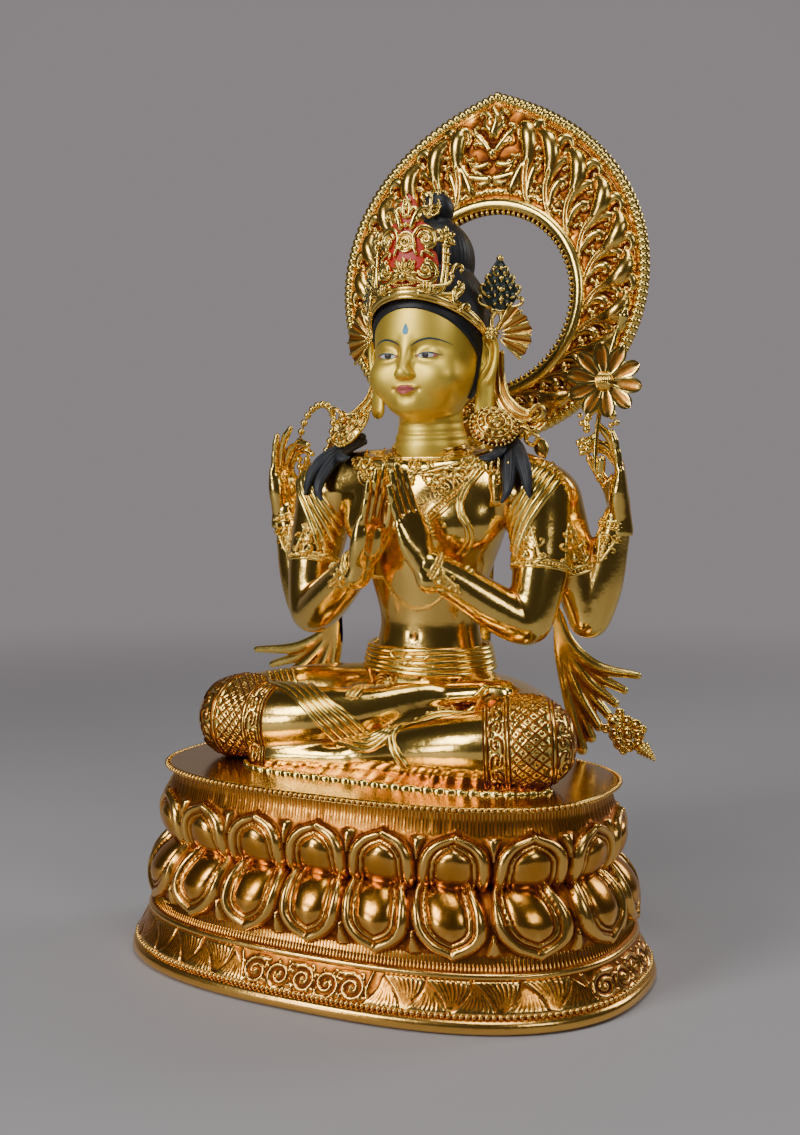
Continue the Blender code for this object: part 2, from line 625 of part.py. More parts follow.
def make_halo(gold) -> bpy.types.Object:
    """The leaning halo plate with rope border, flames and ring, on its strap."""
    columns = FLAMES * 4
    half_plate = HALO_PLATE / 2
    inner = HALO_HOLE_RADIUS + 2.6 * HALO_RING_RADIUS
    rings = []
    for i in range(columns):
        angle = tau * (i + 0.5) / columns
        outer = halo_radius(angle)
        border = outer - 2 * HALO_EDGE_RADIUS
        ring = [(outer, half_plate), (outer, -half_plate), (outer - HALO_EDGE_RADIUS, -half_plate - HALO_EDGE_RADIUS),
                (border, -half_plate)]
        for share in (0.88, 0.56, 0.24):
            ring.append((inner + (border - inner) * share, -half_plate - FLAME_RELIEF * flame_height(angle, share)))
        ring += [(inner, -half_plate), (inner - HALO_RING_RADIUS, -half_plate - HALO_RING_RADIUS),
                 (HALO_HOLE_RADIUS, -half_plate), (HALO_HOLE_RADIUS, half_plate)]
        rings.append([Vector((r * cos(angle), y, r * sin(angle))) for r, y in ring])
    form = bmesh.new()
    skin(form, rings, closed_path=True)
    halo = add_object("halo", form, gold)
    halo.location = (0, HALO_CENTRE_BACK, HALO_CENTRE_HEIGHT)
    halo.rotation_euler = (-HALO_LEAN, 0, 0)

    form = bmesh.new()
    length = (HALO_CENTRE_HEIGHT - STRAP_SEAT_HEIGHT) / cos(HALO_LEAN)
    block(form, (-STRAP_WIDTH / 2, -STRAP_THICKNESS / 2, -length),
          (STRAP_WIDTH / 2, STRAP_THICKNESS / 2, -HALO_HOLE_RADIUS - 0.012))
    strap = add_cutter("strap", form)
    strap.parent = halo
    boolean(halo, strap, "UNION")
    return halo


def main() -> None:
    """Clears the scene and makes the six pieces."""
    for old in list(bpy.data.objects):
        bpy.data.objects.remove(old)
    bright, toned = (0.83, 0.60, 0.24), (0.72, 0.45, 0.16)
    make_pedestal(metal("pedestal_gilding", toned, 0.34))
    make_figure(metal("figure_gilding", bright, 0.22))
    make_crown(metal("crown_gilding", toned, 0.36))
    make_beads(metal("bead_gilding", toned, 0.28))
    make_lotus(metal("lotus_gilding", bright, 0.24))
    make_halo(metal("halo_gilding", toned, 0.32))


main()
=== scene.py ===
"""Looks for a seated four-armed bodhisattva in gilt copper, on a double lotus pedestal with a flame halo.

Lengths are millimetres with +Z up from the ground, and the figure faces -Y. They become metres where
a piece is made. Bodies are modelled as clay, a distance field that gives one smooth skin. Chased
ornament is drawn as relief: a height map made of strokes, which shapes a fine grid or lies on a skin.
"""

import logging
import math
from dataclasses import dataclass
from enum import Enum
from typing import Callable, Dict, List, Optional, Sequence, Tuple

import bpy
import numpy as np
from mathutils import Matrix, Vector
from mathutils.bvhtree import BVHTree


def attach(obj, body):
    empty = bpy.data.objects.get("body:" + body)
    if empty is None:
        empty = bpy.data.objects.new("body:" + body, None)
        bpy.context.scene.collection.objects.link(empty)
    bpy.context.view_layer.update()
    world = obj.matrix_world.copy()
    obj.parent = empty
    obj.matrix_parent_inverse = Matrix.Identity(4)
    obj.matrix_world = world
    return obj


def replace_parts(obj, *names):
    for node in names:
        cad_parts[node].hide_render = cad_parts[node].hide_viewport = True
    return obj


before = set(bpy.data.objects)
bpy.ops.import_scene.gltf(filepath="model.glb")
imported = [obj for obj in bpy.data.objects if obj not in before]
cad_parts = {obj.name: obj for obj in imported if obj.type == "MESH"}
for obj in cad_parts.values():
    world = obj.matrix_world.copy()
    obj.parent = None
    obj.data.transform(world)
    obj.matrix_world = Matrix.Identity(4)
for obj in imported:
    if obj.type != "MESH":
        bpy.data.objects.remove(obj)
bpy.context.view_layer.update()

LOG = logging.getLogger("statue")
METRE = 0.001                   # one millimetre, in metres
FAR = 60.0                      # distance held by empty clay

PEDESTAL_WIDTH = 420.0
PEDESTAL_DEPTH = 276.0
PEDESTAL_HEIGHT = 151.0
SQUARENESS = 2.6                # exponent of the pedestal's oval
WAIST_INSET = 34.0              # waist groove, in from the foot rim
PETALS = 18
BEAD_PITCH = 4.5
BAND_WIDTH = 26.0               # the ornament's height before it is laid on the band

HALO_CENTRE = (0.0, 200.0, 535.5)
HALO_LEAN = math.atan(0.098)
HALO_HOLE = 77.5
HALO_RING = 92.0
HALO_HALF_WIDTH = 146.0
STRAP_WIDTH = 30.0
STRAP_THICKNESS = 5.0
STRAP_FOOT = 20.0

CAMERA_PLACE = (510.7, -987.0, 389.4)
CAMERA_YAW = 0.4682
CAMERA_PITCH = 0.0724
FOCAL_PIXELS = 1422.17
IMAGE_SIZE = (800, 1135)
SENSOR = 36.0

Array = np.ndarray
SIDES = (1, -1)                 # the figure's left and right


class Piece(Enum):
    """Record slots that are passed to each piece's build, which doesn't use them."""

    PEDESTAL = "pedestal_gilding"
    FIGURE = "figure_gilding"
    CROWN = "crown_gilding"
    BEADS = "bead_gilding"
    LOTUS = "lotus_gilding"
    HALO = "halo_gilding"


def unit(vector: Sequence[float]) -> Array:
    """Scales a vector to length 1.

    Args:
        vector: Any vector that isn't zero, or an array of them.

    Returns:
        The same direction with length 1.
    """
    vector = np.asarray(vector, float)
    return vector / np.maximum(np.linalg.norm(vector, axis=-1, keepdims=True), 1e-9)


def spline(stations: Sequence[Sequence[float]], steps: int, closed: bool = False) -> Array:
    """Runs a smooth curve through stations of any number of values.

    Args:
        stations: The values at each station, such as x, y, z and radius.
        steps: Points for each span.
        closed: Whether the last station joins the first.

    Returns:
        The curve's points, one in each row.
    """
    knots = np.asarray(stations, float)
    if closed:
        knots = np.vstack([knots[-1], knots, knots[0], knots[1]])
    else:
        knots = np.vstack([2 * knots[0] - knots[1], knots, 2 * knots[-1] - knots[-2]])
    t = (np.arange(steps) / steps)[:, None]
    rows = []
    for a, b, c, d in zip(knots, knots[1:], knots[2:], knots[3:]):
        rows.append(0.5 * (2 * b + (c - a) * t + (2 * a - 5 * b + 4 * c - d) * t ** 2
                           + (3 * b - a - 3 * c + d) * t ** 3))
    curve = np.vstack(rows)
    return curve if closed else np.vstack([curve, knots[-2]])


def hollows(points: Array, faces: Sequence[Array], rounds: int) -> Array:
    """Measures how far each point lies below its surroundings.

    Args:
        points: The mesh's points.
        faces: Arrays of faces with the same number of corners each.
        rounds: How far the surroundings reach, in rounds of averaging.

    Returns:
        For each point its depth along the normal, positive in a hollow.
    """
    count = len(points)
    starts = np.concatenate([f[:, k] for f in faces for k in range(f.shape[1])])
    ends = np.concatenate([np.roll(f, -1, 1)[:, k] for f in faces for k in range(f.shape[1])])
    degree = np.maximum(np.bincount(starts, minlength=count) + np.bincount(ends, minlength=count), 1)
    normals = np.zeros_like(points)
    for f in faces:
        cross = np.cross(points[f[:, 2]] - points[f[:, 0]], points[f[:, -1]] - points[f[:, 1]])
        for corner in range(f.shape[1]):
            for axis in range(3):
                normals[:, axis] += np.bincount(f[:, corner], cross[:, axis], count)
    smooth = points.copy()
    for _ in range(rounds):
        total = np.empty_like(smooth)
        for axis in range(3):
            total[:, axis] = (np.bincount(starts, smooth[ends, axis], count) + np.bincount(ends,
                    smooth[starts, axis], count))
        smooth = total / degree[:, None]
    return np.einsum("ij,ij->i", smooth - points, unit(normals))


# Share of its faces that each dense piece keeps, so that the whole stays under a million triangles.
KEPT = {"body": 0.30, "legs": 0.30, "head": 0.36, "hair": 0.33, "halo_flames": 0.55, "halo_rim": 0.60,
        "halo_ring": 0.70, "lower_petals": 0.46, "upper_petals": 0.45, "ornament_band": 0.65,
        "fluted_neck": 0.70, "foot_rim": 0.40, "top_plate": 0.40, "torso_jewellery": 0.70,
        "arm_jewellery": 0.56, "crown_gold": 0.80, "earrings": 0.60, "knee_left": 0.70, "knee_right": 0.70,
        "bead_hand": 0.60, "lotus_hand": 0.60, "front_hand_left": 0.60, "front_hand_right": 0.60,
        "scarf_left": 0.50, "scarf_right": 0.45,}


class Form:
    """Points and faces gathered for one piece, in millimetres."""

    def __init__(self) -> None:
        self.points: List[Array] = []
        self.quads: List[Array] = []
        self.triangles: List[Array] = []
        self.count = 0

    def add(self, points: Array, quads: Optional[Array] = None, triangles: Optional[Array] = None) -> None:
        """Adds points with faces that count from the first of them."""
        self.points.append(np.asarray(points, float).reshape(-1, 3))
        if quads is not None and len(quads):
            self.quads.append(np.asarray(quads, int) + self.count)
        if triangles is not None and len(triangles):
            self.triangles.append(np.asarray(triangles, int) + self.count)
        self.count += len(self.points[-1])

    def grid(self, points: Array, closed_u: bool = False, closed_v: bool = False,
             flip: bool = False) -> None:
        """Adds a sheet of quads.

        Args:
            points: An array of rows, columns and x, y, z.
            closed_u: Whether the last row joins the first.
            closed_v: Whether the last column joins the first.
            flip: Turns the faces over.
        """
        rows, columns = points.shape[:2]
        i = np.arange(rows if closed_u else rows - 1)[:, None]
        j = np.arange(columns if closed_v else columns - 1)[None, :]
        i2, j2 = (i + 1) % rows, (j + 1) % columns
        quads = np.stack([i * columns + j, i * columns + j2, i2 * columns + j2, i2 * columns + j], -1)
        quads = quads.reshape(-1, 4)
        self.add(points.reshape(-1, 3), quads[:, ::-1] if flip else quads)

    def tube(self, path: Array, radii: Array, sides: int = 8, closed: bool = False,
             face: Optional[Sequence[float]] = None, flat: float = 1.0) -> None:
        """Sweeps a round or flattened section along a path.

        Args:
            path: Points of the path.
            radii: A radius for each point, or one for all.
            sides: Corners of the section.
            closed: Whether the path is a loop.
            face: The direction in which the section is flattened, one or one for each point.
            flat: Share of the radius in that direction.
        """
        path = np.asarray(path, float)
        radii = np.broadcast_to(np.asarray(radii, float), (len(path),))
        if closed:
            along = unit(np.roll(path, -1, 0) - np.roll(path, 1, 0))
        else:
            along = unit(np.gradient(path, axis=0))
        guide = np.broadcast_to(np.asarray(face if face is not None else (0.31, 0.22, 0.92), float),
                                path.shape)
        thin = unit(guide - along * np.sum(along * guide, 1, keepdims=True))
        wide = np.cross(along, thin)
        angle = 2 * math.pi * np.arange(sides) / sides
        ring = (np.cos(angle)[None, :, None] * wide[:, None] + flat * np.sin(angle)[None, :, None] * thin[:,
                None])
        body = path[:, None] + ring * radii[:, None, None]
        if not closed:
            ends = []
            for end, way in ((0, -1.0), (-1, 1.0)):
                tip = path[end] + along[end] * way * radii[end] * 0.6 * min(1.0, flat * 1.4)
                ends.append(tip + ring[end] * radii[end] * 0.55)
                ends.append(np.repeat((tip + along[end] * way * radii[end] * 0.15)[None], sides, 0))
            body = np.concatenate([ends[1][None], ends[0][None], body, ends[2][None], ends[3][None]])
        self.grid(body, closed_u=closed, closed_v=True, flip=True)

    def bead(self, centre: Sequence[float], radius: float, sides: int = 8, up: Optional[Array] = None,
             squash: float = 1.0) -> None:
        """Adds one ball, flattened along up by squash."""
        up = unit(up if up is not None else (0, 0, 1))
        side = unit(np.cross(up, (0.36, 0.48, 0.80) if abs(up[2]) > 0.5 else (0, 0, 1)))
        other = np.cross(up, side)
        polar = np.linspace(0, math.pi, sides // 2 + 2)[:, None, None]
        turn = (2 * math.pi * np.arange(sides) / sides)[None, :, None]
        ball = (np.sin(polar) * (np.cos(turn) * side + np.sin(turn) * other) + np.cos(polar) * up * squash)
        self.grid(np.asarray(centre) + radius * ball, closed_v=True, flip=True)

    def beads(self, centres: Array, radius: float, sides: int = 6) -> None:
        """Adds a ball at each centre."""
        for centre in centres:
            self.bead(centre, radius, sides)

    def arrays(self) -> Tuple[Array, List[Array]]:
        """Returns all points, and the face arrays that aren't empty."""
        faces = [np.concatenate(kind) for kind in (self.quads, self.triangles) if kind]
        return np.concatenate(self.points), faces

    def build(self, name: str, material: bpy.types.Material, slot: Piece,
              scales: Tuple[float, float] = (0.10, 0.7)) -> bpy.types.Object:
        """Makes the piece's object with its hollows kept for the shader.

        Args:
            name: The piece's name.
            material: Its finish.
            slot: The record's slot; not used.
            scales: Depths that count as full hollow, for fine lines and for wide recesses.

        Returns:
            The new object, which rides on the statue.
        """
        points, faces = self.arrays()
        mesh = bpy.data.meshes.new(name)
        mesh.vertices.add(len(points))
        mesh.vertices.foreach_set("co", (points * METRE).astype(np.float32).ravel())
        corners = np.concatenate([f.ravel() for f in faces])
        totals = np.concatenate([np.full(len(f), f.shape[1]) for f in faces])
        mesh.loops.add(len(corners))
        mesh.loops.foreach_set("vertex_index", corners.astype(np.int32))
        mesh.polygons.add(len(totals))
        mesh.polygons.foreach_set("loop_start", (np.cumsum(totals) - totals).astype(np.int32))
        mesh.polygons.foreach_set("use_smooth", np.ones(len(totals), bool))
        mesh.update(calc_edges=True)
        fine, wide = hollows(points, faces, 2), hollows(points, faces, 14)
        tone = np.clip(fine / scales[0], -1, 1) * 0.6 + np.clip(wide / scales[1], -1, 1) * 0.7
        attribute = mesh.attributes.new("hollow", "FLOAT", "POINT")
        attribute.data.foreach_set("value", tone.astype(np.float32))
        mesh.materials.append(material)
        made = bpy.data.objects.new(name, mesh)
        bpy.context.scene.collection.objects.link(made)
        self._thin(made, KEPT.get(name, 1.0))
        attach(made, "root")
        LOG.info("%s: %d triangles", name, sum(len(face.vertices) - 2 for face in made.data.polygons))
        return made

    @staticmethod
    def _thin(made: bpy.types.Object, kept: float) -> None:
        """Collapses the edges that matter least until a share of the faces is left.

        Args:
            made: The piece.
            kept: Share of its faces to keep, 1 for all.
        """
        if kept >= 1.0:
            return
        thinner = made.modifiers.new("thin", "DECIMATE")
        thinner.ratio = kept
        dense = made.data
        whole = made.evaluated_get(bpy.context.evaluated_depsgraph_get())
        made.data = bpy.data.meshes.new_from_object(whole)
        made.modifiers.clear()
        bpy.data.meshes.remove(dense)

    def tree(self) -> BVHTree:
        """Returns a search tree of the gathered faces, in millimetres."""
        points, faces = self.arrays()
        return BVHTree.FromPolygons(points.tolist(), [face for f in faces for face in f.tolist()])


class Clay:
    """A distance field on a grid, in millimetres and negative inside, that strokes build up and cut."""

    def __init__(self, low: Sequence[float], high: Sequence[float], cell: float) -> None:
        self.cell = float(cell)
        self.low = np.asarray(low, float)
        shape = np.ceil((np.asarray(high, float) - self.low) / cell).astype(int) + 1
        self.axes = [(self.low[k] + cell * np.arange(shape[k])).astype(np.float32) for k in range(3)]
        self.field = np.full(shape, FAR, np.float32)

    def _spans(self, points: Array, reach: float) -> List[slice]:
        """Grid slices that hold the points with a margin."""
        spans = []
        for k in range(3):
            size = len(self.axes[k])
            first = math.floor((points[:, k].min() - reach - self.low[k]) / self.cell)
            last = math.ceil((points[:, k].max() + reach - self.low[k]) / self.cell)
            spans.append(slice(min(max(first, 0), size), min(max(last + 1, 0), size)))
        return spans

    def _stroke(self, path: Array, radii: Array, flat: float, face: Optional[Sequence[float]],
                margin: float) -> Tuple[List[slice], Array]:
        """Distance to a swept stroke, within its own window."""
        outer = self._spans(path, float(radii.max()) + margin)
        distance = np.full([s.stop - s.start for s in outer], FAR, np.float32)
        thin = unit(face) if face is not None else None
        for a, b, ra, rb in zip(path[:-1], path[1:], radii[:-1], radii[1:]):
            inner = self._spans(np.array([a, b]), max(ra, rb) + margin)
            if any(s.stop <= s.start for s in inner):
                continue
            x = self.axes[0][inner[0]][:, None, None] - a[0]
            y = self.axes[1][inner[1]][None, :, None] - a[1]
            z = self.axes[2][inner[2]][None, None, :] - a[2]
            d = b - a
            t = np.clip((x * d[0] + y * d[1] + z * d[2]) / max(float(d @ d), 1e-9), 0, 1).astype(np.float32)
            x, y, z = x - t * d[0], y - t * d[1], z - t * d[2]
            square = x * x + y * y + z * z
            if thin is not None:
                square = square + (x * thin[0] + y * thin[1] + z * thin[2]) ** 2 * (1 / flat ** 2 - 1)
            near = np.sqrt(square) - (ra + (rb - ra) * t)
            if thin is not None:
                near = near * flat ** 0.5
            place = tuple(slice(i.start - o.start, i.stop - o.start) for i, o in zip(inner, outer))
            distance[place] = np.minimum(distance[place], near)
        return outer, distance

    def _merge(self, spans: List[slice], distance: Array, blend: float, cut: bool) -> None:
        """Joins a shape to the field, or cuts it out, with a fillet of about blend."""
        window = self.field[tuple(spans)]
        sign = -1.0 if cut else 1.0
        old, new = window * sign, distance
        if cut:
            merged = np.minimum(old, new)
        else:
            merged = np.minimum(old, new)
        if blend > 0:
            close = np.maximum(blend - np.abs(old - new), 0) / blend
            merged = merged - close * close * blend * 0.25
        self.field[tuple(spans)] = merged * sign

    def stroke(self, stations: Sequence[Sequence[float]], blend: float = 0.0, flat: float = 1.0,
               face: Optional[Sequence[float]] = None, steps: int = 4, cut: bool = False) -> None:
        """Adds or cuts a rounded stroke.

        Args:
            stations: x, y, z and radius at each station.
            blend: Fillet size where it meets the rest.
            flat: Share of the radius along face.
            face: Direction in which the stroke is flattened.
            steps: Points for each span of the smooth path.
            cut: Whether the stroke is cut out instead.
        """
        curve = spline(stations, steps) if steps > 1 else np.asarray(stations, float)
        spans, distance = self._stroke(curve[:, :3], np.maximum(curve[:, 3], 0.05), flat, face,
                                       blend + 2 * self.cell)
        self._merge(spans, distance, blend, cut)

    def ball(self, centre: Sequence[float], radii: Sequence[float], blend: float = 0.0, cut: bool = False,
             turn: Optional[Array] = None) -> None:
        """Adds or cuts an ellipsoid; turn holds its axes as rows."""
        centre, radii = np.asarray(centre, float), np.asarray(radii, float)
        spans = self._spans(centre[None], float(radii.max()) + blend + 2 * self.cell)
        x = self.axes[0][spans[0]][:, None, None] - centre[0]
        y = self.axes[1][spans[1]][None, :, None] - centre[1]
        z = self.axes[2][spans[2]][None, None, :] - centre[2]
        if turn is not None:
            x, y, z = (row[0] * x + row[1] * y + row[2] * z for row in np.asarray(turn, float))
        k0 = np.sqrt((x / radii[0]) ** 2 + (y / radii[1]) ** 2 + (z / radii[2]) ** 2)
        k1 = np.sqrt((x / radii[0] ** 2) ** 2 + (y / radii[1] ** 2) ** 2 + (z / radii[2] ** 2) ** 2)
        distance = (k0 * (k0 - 1) / np.maximum(k1, 1e-6)).astype(np.float32)
        self._merge(spans, np.broadcast_to(distance, [s.stop - s.start for s in spans]), blend, cut)

    def stack(self, levels: Sequence[Sequence[float]], blend: float = 0.0) -> None:
        """Adds a body of level ovals: height, middle in y, half width, half depth and squareness."""
        curve = spline(levels, 8)
        top = curve[:, 0]
        spans = self._spans(np.array([[-curve[:, 2].max(), (curve[:, 1] - curve[:, 3]).min(), top.min()],
                                      [curve[:, 2].max(), (curve[:, 1] + curve[:, 3]).max(), top.max()]]),
                            8.0)
        x = self.axes[0][spans[0]][:, None, None]
        y = self.axes[1][spans[1]][None, :, None]
        z = self.axes[2][spans[2]]
        middle, wide, deep, square = (np.interp(z, top, curve[:, k])[None, None, :] for k in (1, 2, 3, 4))
        u, v = np.abs(x) / wide, np.abs(y - middle) / deep
        share = (u ** square + v ** square) ** (1 / square)
        side = (share - 1) * np.minimum(wide, deep) * (0.5 + 0.5 * np.clip(share, 0, 1))
        ends = np.maximum(top.min() - z, z - top.max())[None, None, :]
        self._merge(spans, np.maximum(side, ends).astype(np.float32), blend, False)

    def soften(self, rounds: int) -> None:
        """Smooths the clay, which takes out the facets of joined strokes."""
        for _ in range(rounds):
            for axis in range(3):
                near = np.swapaxes(self.field, 0, axis)
                near[1:-1] = 0.5 * near[1:-1] + 0.25 * (near[:-2] + near[2:])

    def emboss(self, stations: Sequence[Sequence[float]], width: float, height: float,
               steps: int = 6) -> None:
        """Raises a soft ridge along a path, or sinks a groove where height is negative."""
        curve = spline(stations, steps)[:, :3]
        spans, distance = self._stroke(curve, np.zeros(len(curve)), 1.0, None, 2.6 * width)
        self.field[tuple(spans)] -= (height * np.exp(-(distance / width) ** 2)).astype(np.float32)

    def _read(self, points: Array) -> Array:
        """The field at points, between grid points by straight lines."""
        place = (points - self.low) / self.cell
        base = np.clip(np.floor(place).astype(int), 0, np.array(self.field.shape) - 2)
        part = place - base
        value = np.zeros(len(points))
        for i in (0, 1):
            for j in (0, 1):
                for k in (0, 1):
                    weight = ((part[:, 0] if i else 1 - part[:, 0]) * (part[:, 1] if j else 1 - part[:, 1])
                              * (part[:, 2] if k else 1 - part[:, 2]))
                    value += weight * self.field[base[:, 0] + i, base[:, 1] + j, base[:, 2] + k]
        return value

    def skin(self) -> Form:
        """Wraps the clay in quads, one point for each cell that its surface crosses.

        Returns:
            A form that holds the skin.
        """
        inside = self.field < 0
        shape = np.array(inside.shape) - 1
        total = np.zeros(shape, np.uint8)
        corners = [(i, j, k) for i in (0, 1) for j in (0, 1) for k in (0, 1)]
        for i, j, k in corners:
            total += inside[i:i + shape[0], j:j + shape[1], k:k + shape[2]]
        cells = np.argwhere((total > 0) & (total < 8))
        number = np.full(shape, -1, np.int32)
        number[tuple(cells.T)] = np.arange(len(cells))
        values = {c: self.field[tuple((cells + c).T)] for c in corners}
        place, hits = np.zeros((len(cells), 3)), np.zeros(len(cells))
        for low in corners:
            for axis in range(3):
                if low[axis]:
                    continue
                high = tuple(1 if k == axis else low[k] for k in range(3))
                a, b = values[low], values[high]
                crossed = (a < 0) != (b < 0)
                share = np.where(crossed, a / np.where(crossed, a - b, 1), 0)
                for k in range(3):
                    place[:, k] += crossed * (share if k == axis else low[k])
                hits += crossed
        points = self.low + (cells + place / hits[:, None]) * self.cell
        quads = []
        for axis in range(3):
            other = [k for k in range(3) if k != axis]
            a = inside.take(range(inside.shape[axis] - 1), axis)
            b = inside.take(range(1, inside.shape[axis]), axis)
            edge = np.argwhere(a != b)
            keep = np.all([(edge[:, k] > 0) & (edge[:, k] < shape[k]) for k in other], 0)
            edge = edge[keep]
            ring = []
            for du, dv in ((0, 0), (1, 0), (1, 1), (0, 1)):
                cell = edge.copy()
                cell[:, other[0]] -= du
                cell[:, other[1]] -= dv
                ring.append(number[tuple(cell.T)])
            quad = np.stack(ring, 1)
            outward = a[tuple(edge.T)]
            if axis == 1:
                outward = ~outward
            quad[~outward] = quad[~outward][:, ::-1]
            quads.append(quad)
        step = 0.5 * self.cell
        for _ in range(3):
            slope = np.stack([self._read(points + step * np.eye(3)[k])
                              - self._read(points - step * np.eye(3)[k]) for k in range(3)], 1) / (2 * step)
            size = np.maximum(np.sum(slope ** 2, 1), 0.05)
            move = -(self._read(points) / size)[:, None] * slope
            points += np.clip(move, -0.4 * self.cell, 0.4 * self.cell)
        quads = np.concatenate(quads)
        corner = points[quads]
        volume = np.einsum("ij,ij->i", corner[:, 0], np.cross(corner[:, 2] - corner[:, 0],
                corner[:, 3] - corner[:, 1]))
        form = Form()
        form.add(points, quads if volume.sum() > 0 else quads[:, ::-1])
        return form


class Relief:
    """A height map in millimetres that strokes raise and grooves sink."""

    def __init__(self, low: Sequence[float], high: Sequence[float], cell: float) -> None:
        self.low = np.asarray(low, float)
        self.cell = cell
        shape = np.ceil((np.asarray(high, float) - self.low) / cell).astype(int) + 2
        self.height = np.zeros(shape)
        self.u = self.low[0] + cell * np.arange(shape[0])
        self.v = self.low[1] + cell * np.arange(shape[1])

    def _near(self, path: Array, radii: Array, margin: float) -> Tuple[Tuple[slice, slice], Array, Array]:
        """Window, distance over radius, and radius of the nearest part of a path."""
        reach = float(radii.max()) + margin
        spans = []
        for k, size in enumerate(self.height.shape):
            first = math.floor((path[:, k].min() - reach - self.low[k]) / self.cell)
            last = math.ceil((path[:, k].max() + reach - self.low[k]) / self.cell)
            spans.append(slice(min(max(first, 0), size), min(max(last + 1, 0), size)))
        u, v = self.u[spans[0]][:, None], self.v[spans[1]][None, :]
        best = np.full((u.shape[0], v.shape[1]), 9.0)
        size = np.full(best.shape, 1e-6)
        for a, b, ra, rb in zip(path[:-1], path[1:], radii[:-1], radii[1:]):
            d = b - a
            t = np.clip(((u - a[0]) * d[0] + (v - a[1]) * d[1]) / max(float(d @ d), 1e-9), 0, 1)
            radius = np.maximum(ra + (rb - ra) * t, 0.05)
            share = np.hypot(u - a[0] - t * d[0], v - a[1] - t * d[1]) / radius
            closer = share < best
            best = np.where(closer, share, best)
            size = np.where(closer, radius, size)
        return tuple(spans), best, size

    def stroke(self, stations: Sequence[Sequence[float]], lift: float = 0.0, top: float = 1.0,
               steps: int = 5) -> None:
        """Raises a rounded stroke through stations of u, v and radius.

        Args:
            stations: Place and radius at each station.
            lift: Height on which the stroke lies.
            top: Height of the rounding as a share of the radius.
            steps: Points for each span.
        """
        curve = spline(stations, steps) if steps > 1 else np.asarray(stations, float)
        spans, share, size = self._near(curve[:, :2], np.maximum(curve[:, 2], 0.05), self.cell)
        if share.size:
            round_top = np.where(share < 1, lift + top * size * np.sqrt(np.clip(1 - share ** 2, 0, 1)), 0)
            self.height[spans] = np.maximum(self.height[spans], round_top)

    def groove(self, stations: Sequence[Sequence[float]], depth: float, steps: int = 5) -> None:
        """Sinks a groove through stations of u, v and half width."""
        curve = spline(stations, steps) if steps > 1 else np.asarray(stations, float)
        spans, share, _ = self._near(curve[:, :2], np.maximum(curve[:, 2], 0.05),
                                     2 * float(np.max(curve[:, 2])))
        if share.size:
            self.height[spans] -= depth * np.exp(-share ** 2)

    def dot(self, u: float, v: float, radius: float, lift: float = 0.0, top: float = 1.0) -> None:
        """Raises a round boss."""
        self.stroke([(u, v, radius), (u + 0.01, v, radius)], lift, top, steps=1)

    def read(self, u: Array, v: Array) -> Array:
        """The height at places, between grid points by straight lines."""
        a = np.clip((np.asarray(u) - self.low[0]) / self.cell, 0, self.height.shape[0] - 1.001)
        b = np.clip((np.asarray(v) - self.low[1]) / self.cell, 0, self.height.shape[1] - 1.001)
        i, j = a.astype(int), b.astype(int)
        s, t = a - i, b - j
        return ((self.height[i, j] * (1 - s) + self.height[i + 1, j] * s) * (1 - t) + (self.height[i,
                j + 1] * (1 - s) + self.height[i + 1, j + 1] * s) * t)


def drape(tree: BVHTree, places: Array, lift: Array, way: Sequence[float] = (0, 1, 0)) -> Array:
    """Lays a sheet of places on a skin.

    Args:
        tree: Search tree of the skin, in millimetres.
        places: Places in front of the skin, rows by columns by x, y, z.
        lift: Height above the skin at each place.
        way: Direction in which the sheet falls onto the skin.

    Returns:
        The sheet's points on the skin.
    """
    out = np.empty(places.shape)
    lift = np.broadcast_to(lift, places.shape[:2])
    fall = Vector(unit(way))
    for index in np.ndindex(places.shape[:2]):
        start = Vector(places[index])
        hit, normal, _, _ = tree.ray_cast(start, fall)
        if hit is None:
            hit, normal, _, _ = tree.find_nearest(start)
        if normal.dot(fall) > 0:
            normal = -normal
        out[index] = np.array(hit + normal * float(lift[index]))
    return out


def ribbon(stations: Sequence[Sequence[float]], steps: int = 8, across: int = 5) -> Tuple[Array, Array]:
    """A flat ribbon in a plane, from stations of u, v and half width.

    Returns:
        Its u, v places as rows by columns by 2, and each column's place across from -1 to 1.
    """
    curve = spline(stations, steps)
    along = unit(np.gradient(curve[:, :2], axis=0))
    side = np.stack([-along[:, 1], along[:, 0]], 1)
    t = np.linspace(-1, 1, across)
    return curve[:, None, :2] + side[:, None] * (t[None, :, None] * np.maximum(curve[:, 2:3], 0.02)[:,
            None]), t


def curl(start: Sequence[float], heading: float, length: float, bend: float, radius: float,
         tip: float = 0.55, wave: float = 0.0, count: int = 9) -> Array:
    """A stroke that winds up towards its tip, as flames and tendrils do.

    Args:
        start: Where it begins, as u and v.
        heading: First direction, in radians.
        length: Its length.
        bend: Total turn, in radians, most of it near the tip.
        radius: Its radius near the root.
        tip: Radius at the tip, as a share of the root's.
        wave: An opposite turn in the first half, in radians, for an S shape.
        count: Number of stations.

    Returns:
        Stations of u, v and radius.
    """
    share = np.linspace(0, 1, count)
    turn = heading + bend * share ** 2.2 - wave * np.sin(math.pi * np.clip(share * 1.6, 0, 1))
    step = length / (count - 1) * (1.25 - 0.75 * share)
    u = start[0] + np.concatenate([[0], np.cumsum((step * np.cos(turn))[:-1])])
    v = start[1] + np.concatenate([[0], np.cumsum((step * np.sin(turn))[:-1])])
    thick = radius * (1 - (1 - tip) * share) * (0.75 + 0.25 * np.sin(math.pi * np.clip(share + 0.2, 0, 1)))
    thick[-1] = radius * tip * 1.25
    return np.stack([u, v, thick], 1)


Colour = Tuple[float, float, float]


